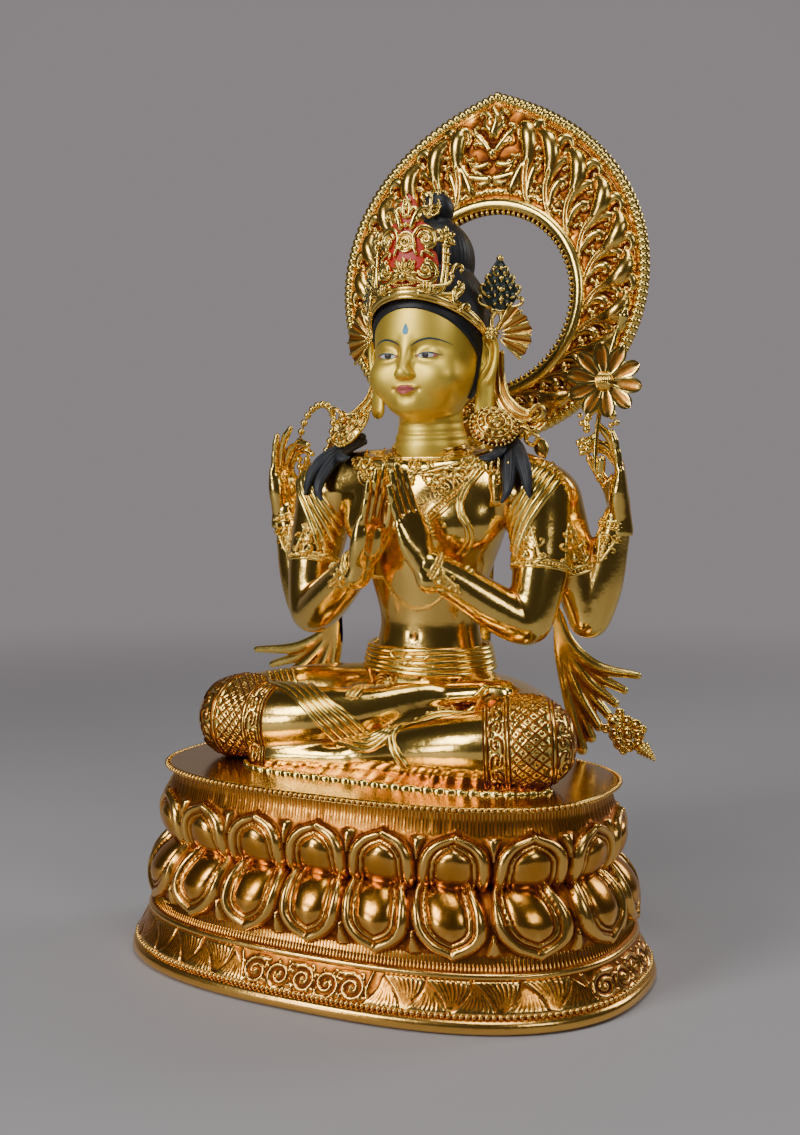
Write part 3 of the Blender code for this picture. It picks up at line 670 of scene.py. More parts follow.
class Socket:
    """An output of a shader node that takes arithmetic."""

    def __init__(self, painter: "Painter", output: bpy.types.NodeSocket) -> None:
        self.painter = painter
        self.output = output

    def __add__(self, other: "Value") -> "Socket":
        return self.painter.maths("ADD", self, other)

    __radd__ = __add__

    def __sub__(self, other: "Value") -> "Socket":
        return self.painter.maths("SUBTRACT", self, other)

    def __rsub__(self, other: "Value") -> "Socket":
        return self.painter.maths("SUBTRACT", other, self)

    def __mul__(self, other: "Value") -> "Socket":
        return self.painter.maths("MULTIPLY", self, other)

    __rmul__ = __mul__

    def __truediv__(self, other: "Value") -> "Socket":
        return self.painter.maths("DIVIDE", self, other)

    def __rtruediv__(self, other: "Value") -> "Socket":
        return self.painter.maths("DIVIDE", other, self)

    def __pow__(self, other: "Value") -> "Socket":
        return self.painter.maths("POWER", self, other)

    def rise(self, low: float, high: float) -> "Socket":
        """Goes smoothly from 0 at low to 1 at high."""
        return self.painter.node("ShaderNodeMapRange", {"Value": self, "From Min": low, "From Max": high},
                                 interpolation_type="SMOOTHSTEP")


Value = object                  # a number, a colour or a Socket


class Painter:
    """Builds one node material."""

    def __init__(self, name: str) -> None:
        self.material = bpy.data.materials.new(name)
        self.material.use_nodes = True
        self.tree = self.material.node_tree
        self.tree.nodes.clear()

    def node(self, kind: str, inputs: Optional[Dict[object, Value]] = None, output: object = 0,
             **settings: object) -> Socket:
        """Adds a node of any kind.

        Args:
            kind: The node's type.
            inputs: Values or sockets by input name, identifier or number.
            output: Name or number of the output to return.
            settings: The node's own properties.

        Returns:
            The chosen output.
        """
        made = self.tree.nodes.new(kind)
        for key, value in settings.items():
            setattr(made, key, value)
        for key, value in (inputs or {}).items():
            socket = made.inputs[key] if isinstance(key,
                                                    int) else next(s for s in made.inputs
                    if key in (s.identifier, s.name))
            if isinstance(value, Socket):
                self.tree.links.new(value.output, socket)
            elif isinstance(value, tuple) and len(value) == 3 and socket.type == "RGBA":
                socket.default_value = (*value, 1.0)
            else:
                socket.default_value = value
        return Socket(self, made.outputs[output] if made.outputs else None)

    def maths(self, operation: str, a: Value, b: Value) -> Socket:
        """Combines two numbers."""
        return self.node("ShaderNodeMath", {0: a, 1: b}, operation=operation)

    def mix(self, share: Value, a: Value, b: Value) -> Socket:
        """Blends two colours."""
        inputs = {"Factor_Float": share, "A_Color": a, "B_Color": b}
        return self.node("ShaderNodeMix", inputs, output=2, data_type="RGBA")

    def place(self) -> Socket:
        """The point's place in metres."""
        return self.node("ShaderNodeTexCoord", output="Object")

    def noise(self, scale: float, detail: float = 3.0, stretch: Tuple[float, float, float] = (1, 1,
            1)) -> Socket:
        """Soft noise from 0 to 1 with lumps of about 1/scale metres."""
        where = self.node("ShaderNodeMapping", {"Vector": self.place(), "Scale": stretch})
        return self.node("ShaderNodeTexNoise", {"Vector": where, "Scale": scale, "Detail": detail,
                                                "Roughness": 0.55})

    def hollow(self) -> Socket:
        """How deep the point lies: below 0 on edges, above 0 in recesses."""
        return self.node("ShaderNodeAttribute", output="Fac", attribute_name="hollow")

    def bump(self, height: Value, strength: float, distance: float,
             normal: Optional[Socket] = None) -> Socket:
        """Turns a height into a normal."""
        inputs = {"Height": height, "Strength": strength, "Distance": distance}
        if normal is not None:
            inputs["Normal"] = normal
        return self.node("ShaderNodeBump", inputs)

    def finish(self, **inputs: Value) -> bpy.types.Material:
        """Joins a Principled shader to the output; underscores in names stand for spaces."""
        shader = self.node("ShaderNodeBsdfPrincipled", {k.replace("_", " "): v for k, v in inputs.items()})
        self.node("ShaderNodeOutputMaterial", {"Surface": shader})
        return self.material


@dataclass(frozen=True)
class Gilding:
    """A fire-gilt finish: bright on high parts; red-brown in the recesses, partly rouge and partly painted
    shade; near-black painted shade in the deepest hollows.
    """

    name: str
    gold: Colour = (0.76, 0.425, 0.085)
    bright: Colour = (0.94, 0.67, 0.165)
    # Red-brown of the recesses: the rouge left in them, darkened further as painted shade.
    patina_and_shade: Colour = (0.42, 0.125, 0.012)
    # Near-black of the deepest hollows: painted shade over dark rouge.
    dark: Colour = (0.07, 0.016, 0.004)
    rough: float = 0.22
    age: float = 0.0            # more rouge and painted shade above 0, less below
    hammer: float = 0.22

    def paint(self) -> bpy.types.Material:
        """Makes the node material."""
        p = Painter(self.name)
        cloud, fine = p.noise(38.0), p.noise(420.0, 4.0)
        # Hollow depth with noise: it paints shade and rouge into the recesses and lightens the rubbed high
        # parts.
        shade_and_wear = p.hollow() + (cloud - 0.5) * 0.45 + (fine - 0.5) * 0.22 + self.age
        recess = shade_and_wear.rise(0.0, 0.62)
        high = shade_and_wear.rise(0.05, -0.70)
        # Recesses take the red-brown of rouge and painted shade; the deepest hollows turn near-black, which is
        # painted shade.
        colour = p.mix(recess, p.mix(high, self.gold, self.bright), self.patina_and_shade)
        colour = p.mix(shade_and_wear.rise(0.50, 1.35), colour, self.dark)
        rough = self.rough + recess * 0.22 + (fine - 0.5) * 0.10 + (cloud - 0.5) * 0.08
        hammer = p.bump(p.noise(95.0, 2.0), self.hammer, 0.0012)
        normal = p.bump(fine, 0.16, 0.00022, hammer)
        return p.finish(Base_Color=colour, Metallic=1.0 - recess * 0.06, Roughness=rough, Normal=normal)


@dataclass(frozen=True)
class GoldPaint:
    """Matte cold gold paint, brushed thin over the face and neck."""

    name: str
    colour: Colour = (0.97, 0.69, 0.10)
    shade: Colour = (0.56, 0.29, 0.05)
    rough: float = 0.47

    def paint(self) -> bpy.types.Material:
        """Makes the node material."""
        p = Painter(self.name)
        cloud, grain = p.noise(22.0), p.noise(900.0, 5.0)
        depth = (p.hollow() + (cloud - 0.5) * 0.35).rise(0.0, 1.1)
        colour = p.mix(depth, self.colour, self.shade)
        rough = self.rough + (grain - 0.5) * 0.14 + (cloud - 0.5) * 0.06
        normal = p.bump(grain, 0.10, 0.00015)
        return p.finish(Base_Color=colour, Metallic=0.92, Roughness=rough, Normal=normal)


@dataclass(frozen=True)
class Paint:
    """Brushed mineral paint."""

    name: str
    colour: Colour
    worn: Colour
    rough: float = 0.5
    relief: float = 0.25        # strength of the brush marks

    def paint(self) -> bpy.types.Material:
        """Makes the node material."""
        p = Painter(self.name)
        cloud, grain = p.noise(60.0), p.noise(700.0, 5.0, (1.0, 1.0, 0.25))
        share = ((cloud - 0.5) * 0.9 + (grain - 0.5) * 0.5 - p.hollow() * 0.3).rise(-0.05, 0.55)
        rough = self.rough + (grain - 0.5) * 0.16
        normal = p.bump(grain, self.relief, 0.0003)
        return p.finish(Base_Color=p.mix(share, self.colour, self.worn), Roughness=rough, Normal=normal)


@dataclass(frozen=True)
class Ground:
    """The studio's floor."""

    name: str
    colour: Colour

    def paint(self) -> bpy.types.Material:
        """Makes the node material."""
        p = Painter(self.name)
        cloud = p.noise(1.2, 2.0)
        colour = p.mix(cloud, self.colour, tuple(0.93 * c for c in self.colour))
        away = p.node("ShaderNodeVectorMath", {0: p.place()}, output="Value", operation="LENGTH")
        return p.finish(Base_Color=colour, Roughness=0.62 + (cloud - 0.5) * 0.1, Alpha=away.rise(2.6, 0.9))


GILT = Gilding("figure_gilt")
BODY_GILT = Gilding("polished_gilt", gold=(0.80, 0.49, 0.115), rough=0.16, age=-0.14)
PEDESTAL_GILT = Gilding("pedestal_gilt", gold=(0.60, 0.255, 0.032), bright=(0.86, 0.50, 0.12), rough=0.22,
                        age=0.16)
PLATE_GILT = Gilding("satin_gilt", gold=(0.48, 0.28, 0.05), bright=(0.58, 0.36, 0.08),
                     patina_and_shade=(0.28, 0.145, 0.025), rough=0.20, age=0.0, hammer=0.03)
HALO_GILT = Gilding("halo_gilt", rough=0.22, age=0.06)
FACE_GOLD = GoldPaint("face_gold")
HAIR = Paint("hair_black", (0.007, 0.008, 0.011), (0.020, 0.022, 0.028), 0.50)
RED = Paint("crown_red", (0.60, 0.022, 0.010), (0.70, 0.06, 0.02), 0.42)
GREEN = Paint("leaf_green", (0.012, 0.022, 0.018), (0.05, 0.07, 0.05), 0.38)
BLUE = Paint("mark_blue", (0.05, 0.33, 0.55), (0.06, 0.38, 0.60), 0.40, 0.05)
BROW = Paint("brow_blue", (0.022, 0.055, 0.085), (0.03, 0.09, 0.13), 0.45, 0.05)
WHITE = Paint("eye_white", (0.72, 0.72, 0.70), (0.66, 0.66, 0.66), 0.35, 0.05)
IRIS = Paint("eye_dark", (0.03, 0.02, 0.015), (0.06, 0.035, 0.02), 0.30, 0.05)
LIP = Paint("lip_red", (0.55, 0.115, 0.09), (0.60, 0.16, 0.12), 0.38, 0.05)
CORNER = Paint("eye_corner_red", (0.70, 0.16, 0.12), (0.70, 0.20, 0.15), 0.38, 0.05)
FLOOR = Ground("floor_grey", (0.40, 0.385, 0.40))


def level(share: Array, way: Array) -> Array:
    """The relief of a smooth band.

    Args:
        share: Way around, from 0 to 1.
        way: Way up the profile in millimetres.

    Returns:
        No height at each place.
    """
    return 0 * share * way


class Pedestal:
    """The double lotus pedestal, one grid for each band of its profile."""

    def __init__(self, gilt: bpy.types.Material) -> None:
        self.gilt = gilt
        fine = 4000
        t = -math.pi / 2 + 2 * math.pi * np.arange(fine) / fine
        half_w = PEDESTAL_WIDTH / 2 - WAIST_INSET
        half_d = PEDESTAL_DEPTH / 2 - WAIST_INSET
        power = 2 / SQUARENESS
        x = half_w * np.sign(np.cos(t)) * np.abs(np.cos(t)) ** power
        y = half_d * np.sign(np.sin(t)) * np.abs(np.sin(t)) ** power
        slope_x = np.sign(x) * np.abs(x / half_w) ** (SQUARENESS - 1) / half_w
        slope_y = np.sign(y) * np.abs(y / half_d) ** (SQUARENESS - 1) / half_d
        self._normal = unit(np.stack([slope_x, slope_y], 1))
        self._plan = np.stack([x, y], 1)
        step = np.hypot(*(np.roll(self._plan, -1, 0) - self._plan).T)
        self._walk = np.concatenate([[0], np.cumsum(step)])
        self.length = float(self._walk[-1])

    def at(self, share: Array, outset: Array, z: Array) -> Array:
        """Places points on the pedestal.

        Args:
            share: Way around from the front middle, 0 to 1.
            outset: Distance out from the waist's oval.
            z: Height.

        Returns:
            Points with the shape of the three inputs together.
        """
        share, outset, z = np.broadcast_arrays(share, outset, z)
        walk = (share % 1.0) * self.length
        closed = [np.concatenate([c, c[:1]]) for c in (*self._plan.T, *self._normal.T)]
        x, y, nx, ny = (np.interp(walk, self._walk, c) for c in closed)
        return np.stack([x + nx * outset, y + ny * outset, z], -1)

    def _band(self, profile: Sequence[Tuple[float, float]], columns: int, rows: int,
              height: Callable[[Array, Array], Array]) -> Form:
        """A closed grid along a profile of outset and height, raised by a relief.

        Args:
            profile: Outset and z at each station, from the bottom up.
            columns: Points around.
            rows: Points up.
            height: Relief from way around and way up the profile in millimetres.

        Returns:
            The band's form.
        """
        curve = spline(profile, 12)
        step = np.hypot(*np.diff(curve, axis=0).T)
        walk = np.concatenate([[0], np.cumsum(step)])
        way = np.linspace(0, 1, rows) * walk[-1]
        outset, z = np.interp(way, walk, curve[:, 0]), np.interp(way, walk, curve[:, 1])
        slope = unit(np.stack([np.gradient(z), -np.gradient(outset)], 1))
        share = (np.arange(columns) / columns)[None, :]
        lift = height(share, way[:, None])
        lift[0] = lift[-1] = 0
        form = Form()
        points = self.at(share, outset[:, None] + lift * slope[:, :1], z[:, None] + lift * slope[:, 1:])
        form.grid(points, closed_v=True)
        return form

    def _petal(self, across: Array, along: Array, width: float, depth: float, narrow: float) -> Array:
        """Height of one chased petal.

        Args:
            across: Distance from the petal's middle.
            along: Distance from its tip towards its root.
            width: Half its width.
            depth: Length of its rounded end.
            narrow: Share of the width lost towards the root.

        Returns:
            The relief in millimetres.
        """
        along = along + 1.8 * np.exp(-np.abs(across) / 3.2)
        taper = np.clip((along - depth) / 34, 0, 1)
        wide = width * (1 - narrow * taper * taper * (3 - 2 * taper))
        swing = 1.3 * np.sin(math.pi * taper)
        rho = np.hypot((across - swing * np.sign(across)) / wide, np.clip(depth - along, 0, None) / depth)
        rho = np.where(along < 0, np.maximum(rho, 1.01), rho)
        band = np.clip((rho - 0.645) / 0.355, 0, 1)
        round_band = 1.2 + 4.6 * np.sin(math.pi * band) ** 0.62 * (1.15 - 0.3 * band)
        ridge = 1.4 + 2.4 * np.sqrt(np.clip(1 - ((rho - 0.575) / 0.055) ** 2, 0, 1))
        dome = 1.4 + 5.2 * np.sqrt(np.clip(1 - (rho / 0.50) ** 2, 0, 1))
        inner = np.clip((along - 0.5 * depth) / (1.6 * depth), 0, 1)
        dome = dome * (1 - 0.30 * inner)
        lift = np.where(rho > 1, 0, np.where(rho > 0.645, round_band, np.where(rho > 0.52, ridge, dome)))
        tip = np.exp(-(across / 5.5) ** 2) * np.clip(1 - along / (0.42 * depth), 0, 1)
        fold = 1.3 * np.tanh(across / 0.9) * np.exp(-(across / 7) ** 2) * np.clip(1 - along
                / (0.45 * depth), 0, 1)
        return lift + np.where((rho < 1) & (rho > 0.5), 1.6 * tip + fold, 0)

    def _petal_row(self, name: str, profile: Sequence[Tuple[float, float]], rows: int, reach: float,
                   upper: bool) -> bpy.types.Object:
        """One row of petals with leaf tips between them."""
        pitch = self.length_at(profile) / PETALS

        def height(share: Array, way: Array) -> Array:
            """Petals with a leaf tip between each two, and fine flutes beyond them."""
            place = (share * PETALS + 0.5) % 1.0 - 0.5
            middle = np.round(share * PETALS) / PETALS
            none = np.zeros_like(middle)
            here, ahead = self.at(middle, none, none), self.at(middle + 0.003, none, none)
            lean = (-3.0 if upper else -10.0) * np.clip(here[..., 0] / 130, -1, 1) * unit(ahead - here)[...,
                    0]
            along = (reach - way if upper else way - (self._reach(profile) - reach)) + 0 * share
            across = place * pitch - lean * np.clip((along - 8) / 34, 0, 1) ** 1.3
            lift = self._petal(across, along, 0.47 * pitch, 21.0 if upper else 24.0,
                               0.10 if upper else 0.20)
            between = (0.5 - np.abs(place)) * pitch + 0 * way
            rise = along - 1.0
            leaf = np.clip(1 - between / np.maximum(5.6 * (1 - rise / 17.0), 0.1), 0, 1)
            leaf = np.where((rise > 0) & (rise < 16), 3.4 * leaf ** 0.6, 0)
            lift = np.maximum(lift, leaf)
            flute = 0.35 * np.cos(2 * math.pi * share * self.length / 2.6)
            return lift + np.where(lift < 0.05, flute * np.clip(-along / 2, 0, 1), 0)

        form = self._band(profile, PETALS * 48, rows, height)
        return form.build(name, self.gilt, Piece.PEDESTAL, (0.22, 2.4))

    def length_at(self, profile: Sequence[Tuple[float, float]]) -> float:
        """Mean length around at a profile's outset."""
        return self.length + 2 * math.pi * float(np.mean([p[0] for p in profile]))

    @staticmethod
    def _reach(profile: Sequence[Tuple[float, float]]) -> float:
        """Length up a profile."""
        return float(np.sum(np.hypot(*np.diff(spline(profile, 12), axis=0).T)))

    def _ornament(self) -> Relief:
        """The chased band above the foot: scroll panels, with woven fans between them."""
        relief = Relief((0, 0), (self.length, BAND_WIDTH), 0.6)
        panels = 4
        span = self.length / panels
        for panel in range(-1, panels + 1):
            middle = panel * span
            self._scroll_panel(relief, middle)
            start, stop = middle + 52, middle + span - 52
            fans = 9
            width = (stop - start) / fans
            for k in range(fans):
                self._fan(relief, start + (k + 0.5) * width, width, 1 if k % 2 else -1)
        return relief

    @staticmethod
    def _fan(relief: Relief, middle: float, width: float, way: int) -> None:
        """A woven fan of strips that spread from a corner of the band.

        Args:
            relief: The ornament.
            middle: The corner's place along the band.
            width: Half the fan's width at its open side.
            way: 1 where the fan opens upwards, -1 where it opens downwards.
        """
        low, high = (1.5, 25.0) if way > 0 else (24.5, 1.0)
        strips = 8
        for k in range(strips):
            s = (k + 0.5) / strips - 0.5
            stations = []
            for share, radius in ((0.0, 0.35), (0.35, 0.75), (0.7, 1.4), (1.0, 1.9)):
                bow = 3.2 * math.sin(math.pi * share)
                stations.append((middle + 1.9 * width * s * share + bow, low + (high - low) * share,
                                 radius))
            relief.stroke(stations, 0.3, 0.75, 5)

    @staticmethod
    def _scroll_panel(relief: Relief, middle: float) -> None:
        """A panel of vine scrolls with leaves and dots, closed by a bent strip at both ends.

        Args:
            relief: The ornament.
            middle: The panel's middle along the band.
        """
        for k in range(-2, 3):
            u = middle + 19 * k
            turn = 1 if k % 2 else -1
            side = 1 if k >= 0 else -1
            spiral = []
            for step in range(24):
                share = step / 23
                angle = -turn * math.pi / 2 + side * turn * (10.5 * share - 0.6)
                reach = 10.2 * (1 - 0.80 * share)
                spiral.append((u + reach * math.cos(angle), 12.5 + reach * math.sin(angle),
                               1.35 - 0.3 * share))
            relief.stroke(spiral, 0.2, 1.1, 2)
            relief.stroke([(u - 10 * side, 12.5 - 9.5 * turn, 1.3), (u, 12.5 - 10.4 * turn, 1.3)], 0.2, 1.1,
                          1)
            relief.dot(u, 12.5, 2.2, 0.4)
            for step in range(7):
                angle = 2 * math.pi * step / 7 + k
                relief.dot(u + 9.4 * math.cos(angle), 12.5 + 10.0 * math.sin(angle), 1.1, 0.3)
            for heading in (0.6, 2.5, 3.8, 5.6):
                relief.stroke(curl((u + 8.6 * math.cos(heading), 12.5 + 8.6 * math.sin(heading)),
                                   heading + 0.6, 8, 3.4, 1.0, 0.7, count=6), 0.2, 1.0)
        for side in SIDES:
            relief.stroke([(middle + side * 53, 1, 0.9), (middle + side * 49, 12, 0.9),
                           (middle + side * 52, 25, 0.9)], 0.3)

    def make(self) -> None:
        """Builds all of the pedestal's pieces."""
        foot = self._band([(24, 0), (33, 0.2), (36.5, 2.2), (37.2, 5.5), (36, 8.8), (32.5, 11),
                           (29.5, 11.4)], 400, 22, level)
        base = self.at((np.arange(400) / 400)[None, :], np.array([[-60.0], [24.0]]), np.zeros((2, 1)))
        foot.grid(base, closed_v=True)
        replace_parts(foot.build("foot_rim", self.gilt, Piece.PEDESTAL, (0.3, 2.0)), "pedestal")

        ornament = self._ornament()
        band = [(30.5, 11.2), (32.2, 14.5), (29.5, 19.5), (26.6, 25), (24.0, 30.5), (22.4, 34)]
        total = self._reach(band)

        def chased(share: Array, way: Array) -> Array:
            """The ornament's height, laid once around and once up the band."""
            return 0.9 * ornament.read(share * self.length + 0 * way, way / total * BAND_WIDTH + 0 * share)

        panel = self._band(band, 1400, 30, chased)
        panel.build("ornament_band", self.gilt, Piece.PEDESTAL, (0.12, 1.0))

        neck = [(22.4, 34), (23.6, 35.2), (24.0, 37), (22.8, 38.8), (20.0, 40), (18.6, 44), (17.4, 48),
                (15.6, 52)]
        flutes = int(self.length_at(neck) / 2.9)

        def comb(share: Array, way: Array) -> Array:
            """Upright flutes that begin in a row of small beads."""
            lift = 0.55 * np.cos(2 * math.pi * flutes * share)
            beads = 0.9 * np.abs(np.cos(math.pi * flutes * share)) * np.exp(-((way - 9.5) / 1.2) ** 2)
            return lift * np.clip((way - 8.5) / 2, 0, 1) + beads

        ring = self._band(neck, flutes * 4, 18, comb)
        ring.build("fluted_neck", self.gilt, Piece.PEDESTAL, (0.12, 1.2))

        lower = [(15.0, 45.5), (17.2, 50), (18.8, 56), (19.0, 64), (17.6, 72), (14.2, 79), (9.5, 85),
                 (4.5, 89.5), (0.5, 92.5), (-1.5, 94)]
        self._petal_row("lower_petals", lower, 58, self._reach(lower) - 4.0, False)
        upper = [(-1.5, 94), (1.0, 95.6), (4.4, 98.6), (7.0, 103), (8.6, 109), (8.8, 116), (7.6, 123),
                 (5.4, 130), (3.2, 137), (2.4, 143), (3.0, 147.2)]
        self._petal_row("upper_petals", upper, 56, 41.0, True)

        rim = self._band([(3.0, 146.6), (6.2, 146.6), (7.4, 147.4), (6.4, 148.6), (6.0, 150.2),
                          (4.8, 151.0), (1.0, 151.0)], 400, 18, level)
        plate = self.at((np.arange(400) / 400)[None, :],
                        np.array([[1.0], [-20.0], [-45.0], [-75.0], [-100.0]]), np.full((5, 1), 151.0))
        rim.grid(plate, closed_v=True)
        rim.build("top_plate", PLATE_GILT.paint(), Piece.PEDESTAL, (0.3, 3.0))

        beads = Form()
        for outset, z, radius in ((33.2, 12.6, 2.2), (8.2, 149.6, 1.95)):
            count = int((self.length + 2 * math.pi * outset) / BEAD_PITCH)
            beads.beads(self.at(np.arange(count) / count, np.full(count, outset), np.full(count, z)),
                        radius)
        beads.build("pedestal_beads", self.gilt, Piece.PEDESTAL, (0.3, 0.9))


class Halo:
    """The flame halo, chased on a pointed plate around a round hole."""

    def __init__(self, gilt: bpy.types.Material) -> None:
        self.gilt = gilt
        self.right = np.array([1.0, 0, 0])
        self.up = np.array([0, math.sin(HALO_LEAN), math.cos(HALO_LEAN)])
        self.front = np.array([0, -math.cos(HALO_LEAN), math.sin(HALO_LEAN)])

    @staticmethod
    def outline(angle: Array) -> Array:
        """Distance of the outer edge from the hole's centre; the angle is 0 at the right and goes up."""
        off = np.abs((np.degrees(angle) - 90 + 180) % 360 - 180)
        return HALO_HALF_WIDTH * (1 + 0.116 * np.sin(angle) + 0.171 * np.exp(-off / 22))

    def at(self, u: Array, v: Array, depth: Array) -> Array:
        """A point from its place in the plate and its height in front of it."""
        u, v, depth = (a[..., None] for a in np.broadcast_arrays(u, v, depth))
        return np.asarray(HALO_CENTRE) + u * self.right + v * self.up + depth * self.front

    def _tongue(self, relief: Relief, degrees: float, side: int, sweep: float = 1.0) -> None:
        """One tongue of flame: an S-shaped stem that swells to a broad head, with curled lobes.

        Args:
            relief: The plate's relief.
            degrees: Where it springs from the ring, from the right and upwards.
            side: 1 on the figure's left and -1 on its right.
            sweep: How far it leans along the ring.
        """
        root = HALO_RING - 1.0

        def place(turn: float, share: float, radius: float) -> Tuple[float, float, float]:
            """A station at a turn of the sweep and a share of the way out to the rim."""
            angle = math.radians(degrees + turn * sweep)
            room = float(self.outline(np.array(angle))) - root - 11.0
            reach = root + room * share
            return side * reach * math.cos(angle), reach * math.sin(angle), radius * 1.22

        stem = [place(*p) for p in ((-1, 0.0, 2.0), (5.5, 0.10, 2.5), (10.5, 0.28, 3.2), (12.3, 0.48, 4.6),
                                    (14.6, 0.68, 7.0), (18.3, 0.82, 6.8), (22.6, 0.85, 3.6),
                                    (24.2, 0.76, 2.3), (22.4, 0.70, 1.8))]
        relief.stroke(stem, 1.2, 0.95)
        relief.dot(stem[-1][0], stem[-1][1], 2.5, 2.2, 1.1)
        relief.groove([(*p[:2], 0.6) for p in stem[:4]], 1.6)
        for lobe in (((3.0, 0.10, 2.0), (6.0, 0.28, 3.2), (5.4, 0.44, 3.6), (2.6, 0.48, 2.1),
                      (2.8, 0.40, 1.7)), ((11.0, 0.46, 2.8), (10.6, 0.62, 4.0), (8.4, 0.73, 3.2),
                                          (5.8, 0.69, 1.9), (6.8, 0.61, 1.7)),
                     ((14.0, 0.76, 3.8), (13.6, 0.92, 4.4), (10.6, 0.97, 3.0), (8.6, 0.90, 1.9),
                      (10.0, 0.84, 1.7)), ((14.6, 0.62, 3.2), (17.8, 0.60, 3.0), (19.4, 0.51, 1.9),
                                           (17.6, 0.45, 1.6)), ((8.0, 0.16, 1.8), (12.4, 0.26, 2.6),
                (14.6, 0.24, 2.0), (14.6, 0.17, 1.5))):
            points = [place(*p) for p in lobe]
            relief.stroke(points, 0.9, 1.0)
            relief.dot(points[-1][0], points[-1][1], 2.1, 2.0, 1.1)
        for turn, share, radius in ((0.5, 0.16, 1.9), (1.4, 0.28, 1.7), (2.0, 0.57, 2.0), (4.4, 0.60, 1.6)):
            u, v, size = place(turn, share, radius)
            relief.dot(u, v, size, 1.0, 1.0)

    def _flames(self) -> Relief:
        """All of the plate's flames, the medallion at its point and the garland under it."""
        relief = Relief((-200, -200), (200, 215), 0.7)
        root = HALO_RING + 0.5
        for side in SIDES:
            for k in range(12):
                self._tongue(relief, 67.5 - 15.2 * k, side, 0.55 if k == 0 else 0.9 if k == 1 else 1.0)
            for start, heading, length, bend, radius in (((20, 100), 1.15, 44, -1.2, 5.2),
                                                         ((26, 104), 1.35, 34, -3.0, 3.8),
                                                         ((31, 118), 1.2, 30, -3.2, 4.6),
                                                         ((1, 151), 0.75, 20, 4.0, 4.6),
                                                         ((3, 158), 1.3, 20, -3.8, 3.8),
                                                         ((12, 146), 0.6, 18, 4.2, 3.6),
                                                         ((10, 112), 0.5, 22, 4.4, 3.2),
                                                         ((3, 106), -0.2, 20, 4.2, 2.8)):
                way = heading if side > 0 else math.pi - heading
                scroll = curl((side * start[0], start[1]), way, length, side * bend, radius, 0.5)
                relief.stroke(scroll, 1.6, 1.0)
                relief.dot(scroll[-1][0], scroll[-1][1], radius * 0.62, 2.6, 1.1)
        for side in SIDES:
            for start, heading, length, bend, radius in (((3, 109), 0.10, 44, 3.9, 4.0),
                                                         ((5, 122), -0.2, 25, 4.0, 3.4),
                                                         ((4, 135), 1.0, 25, -4.4, 3.4),
                                                         ((7, 139), 0.3, 20, 4.2, 2.8),
                                                         ((2, 147), 1.3, 18, -3.8, 2.8)):
                way = heading if side > 0 else math.pi - heading
                arm = curl((side * start[0], start[1]), way, length, side * bend, radius, 0.5)
                relief.stroke(arm, 2.0, 1.0)
                relief.dot(arm[-1][0], arm[-1][1], radius * 0.62, 3.2, 1.1)
        relief.dot(0, 131, 4.6, 3.6, 1.0)
        relief.stroke([(0, 150, 4.0), (2.8, 162, 3.6), (-1.5, 173, 1.8)], 2.4, 1.1)
        for k in range(15):
            angle = math.radians(90 + 5.6 * (k - 7))
            for reach, size in ((root + 4, 2.4), (root + 10, 2.0)):
                for way in SIDES:
                    u, v = reach * math.cos(angle), reach * math.sin(angle)
                    relief.stroke(curl((u, v), angle + way * 0.9, 9, way * 3.8, size, 0.6), 0.8, 1.1)
        return relief

    def make(self) -> None:
        """Builds the plate with its flames, rim, ring, beads, back and strap."""
        relief = self._flames()
        columns, rows = 880, 78
        angle = (2 * math.pi * np.arange(columns) / columns)[None, :]
        edge = self.outline(angle)
        share = np.linspace(0, 1, rows)[:, None]
        inner, outer = HALO_RING - 1.5, edge - 3.5
        radius = inner + (outer - inner) * share
        u, v = radius * np.cos(angle), radius * np.sin(angle)
        fade = np.clip((outer - radius) / 3, 0, 1) * np.clip((radius - inner) / 1.5, 0, 1)
        lift = 3.0 + relief.read(u, v) * fade
        front = Form()
        front.grid(self.at(u, v, lift), closed_v=True, flip=True)
        plate = front.build("halo_flames", self.gilt, Piece.HALO, (0.16, 2.4))
        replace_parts(plate, "halo")

        back = Form()
        ring_angle = (2 * math.pi * np.arange(240) / 240)[None, :]
        radii = np.linspace(0, 1, 14)[:, None]
        reach = HALO_HOLE + 1.5 + (self.outline(ring_angle) - 2.5 - HALO_HOLE) * radii
        dent = -3.0 + 1.1 * np.sin(math.pi * radii) ** 0.5
        back.grid(self.at(reach * np.cos(ring_angle), reach * np.sin(ring_angle), dent + 0 * ring_angle),
                  closed_v=True, flip=True)
        section = 2 * math.pi * np.arange(14) / 14
        ring = HALO_HOLE + 9.0 + 5.6 * np.cos(section)[:, None]
        height = 3.6 + 5.0 * np.sin(section)[:, None]
        back.grid(self.at(ring * np.cos(ring_angle), ring * np.sin(ring_angle), height + 0 * ring_angle),
                  closed_u=True, closed_v=True)
        lip = np.array([[HALO_HOLE + 4, -3.0], [HALO_HOLE + 0.6, -2.6], [HALO_HOLE, 0],
                        [HALO_HOLE + 0.8, 2.6], [HALO_HOLE + 4, 3.4]])
        back.grid(self.at(lip[:, :1] * np.cos(ring_angle), lip[:, :1] * np.sin(ring_angle),
                          lip[:, 1:] + 0 * ring_angle), closed_v=True)
        back.build("halo_ring", self.gilt, Piece.HALO, (0.3, 2.4))

        self._rim()
        self._strap()

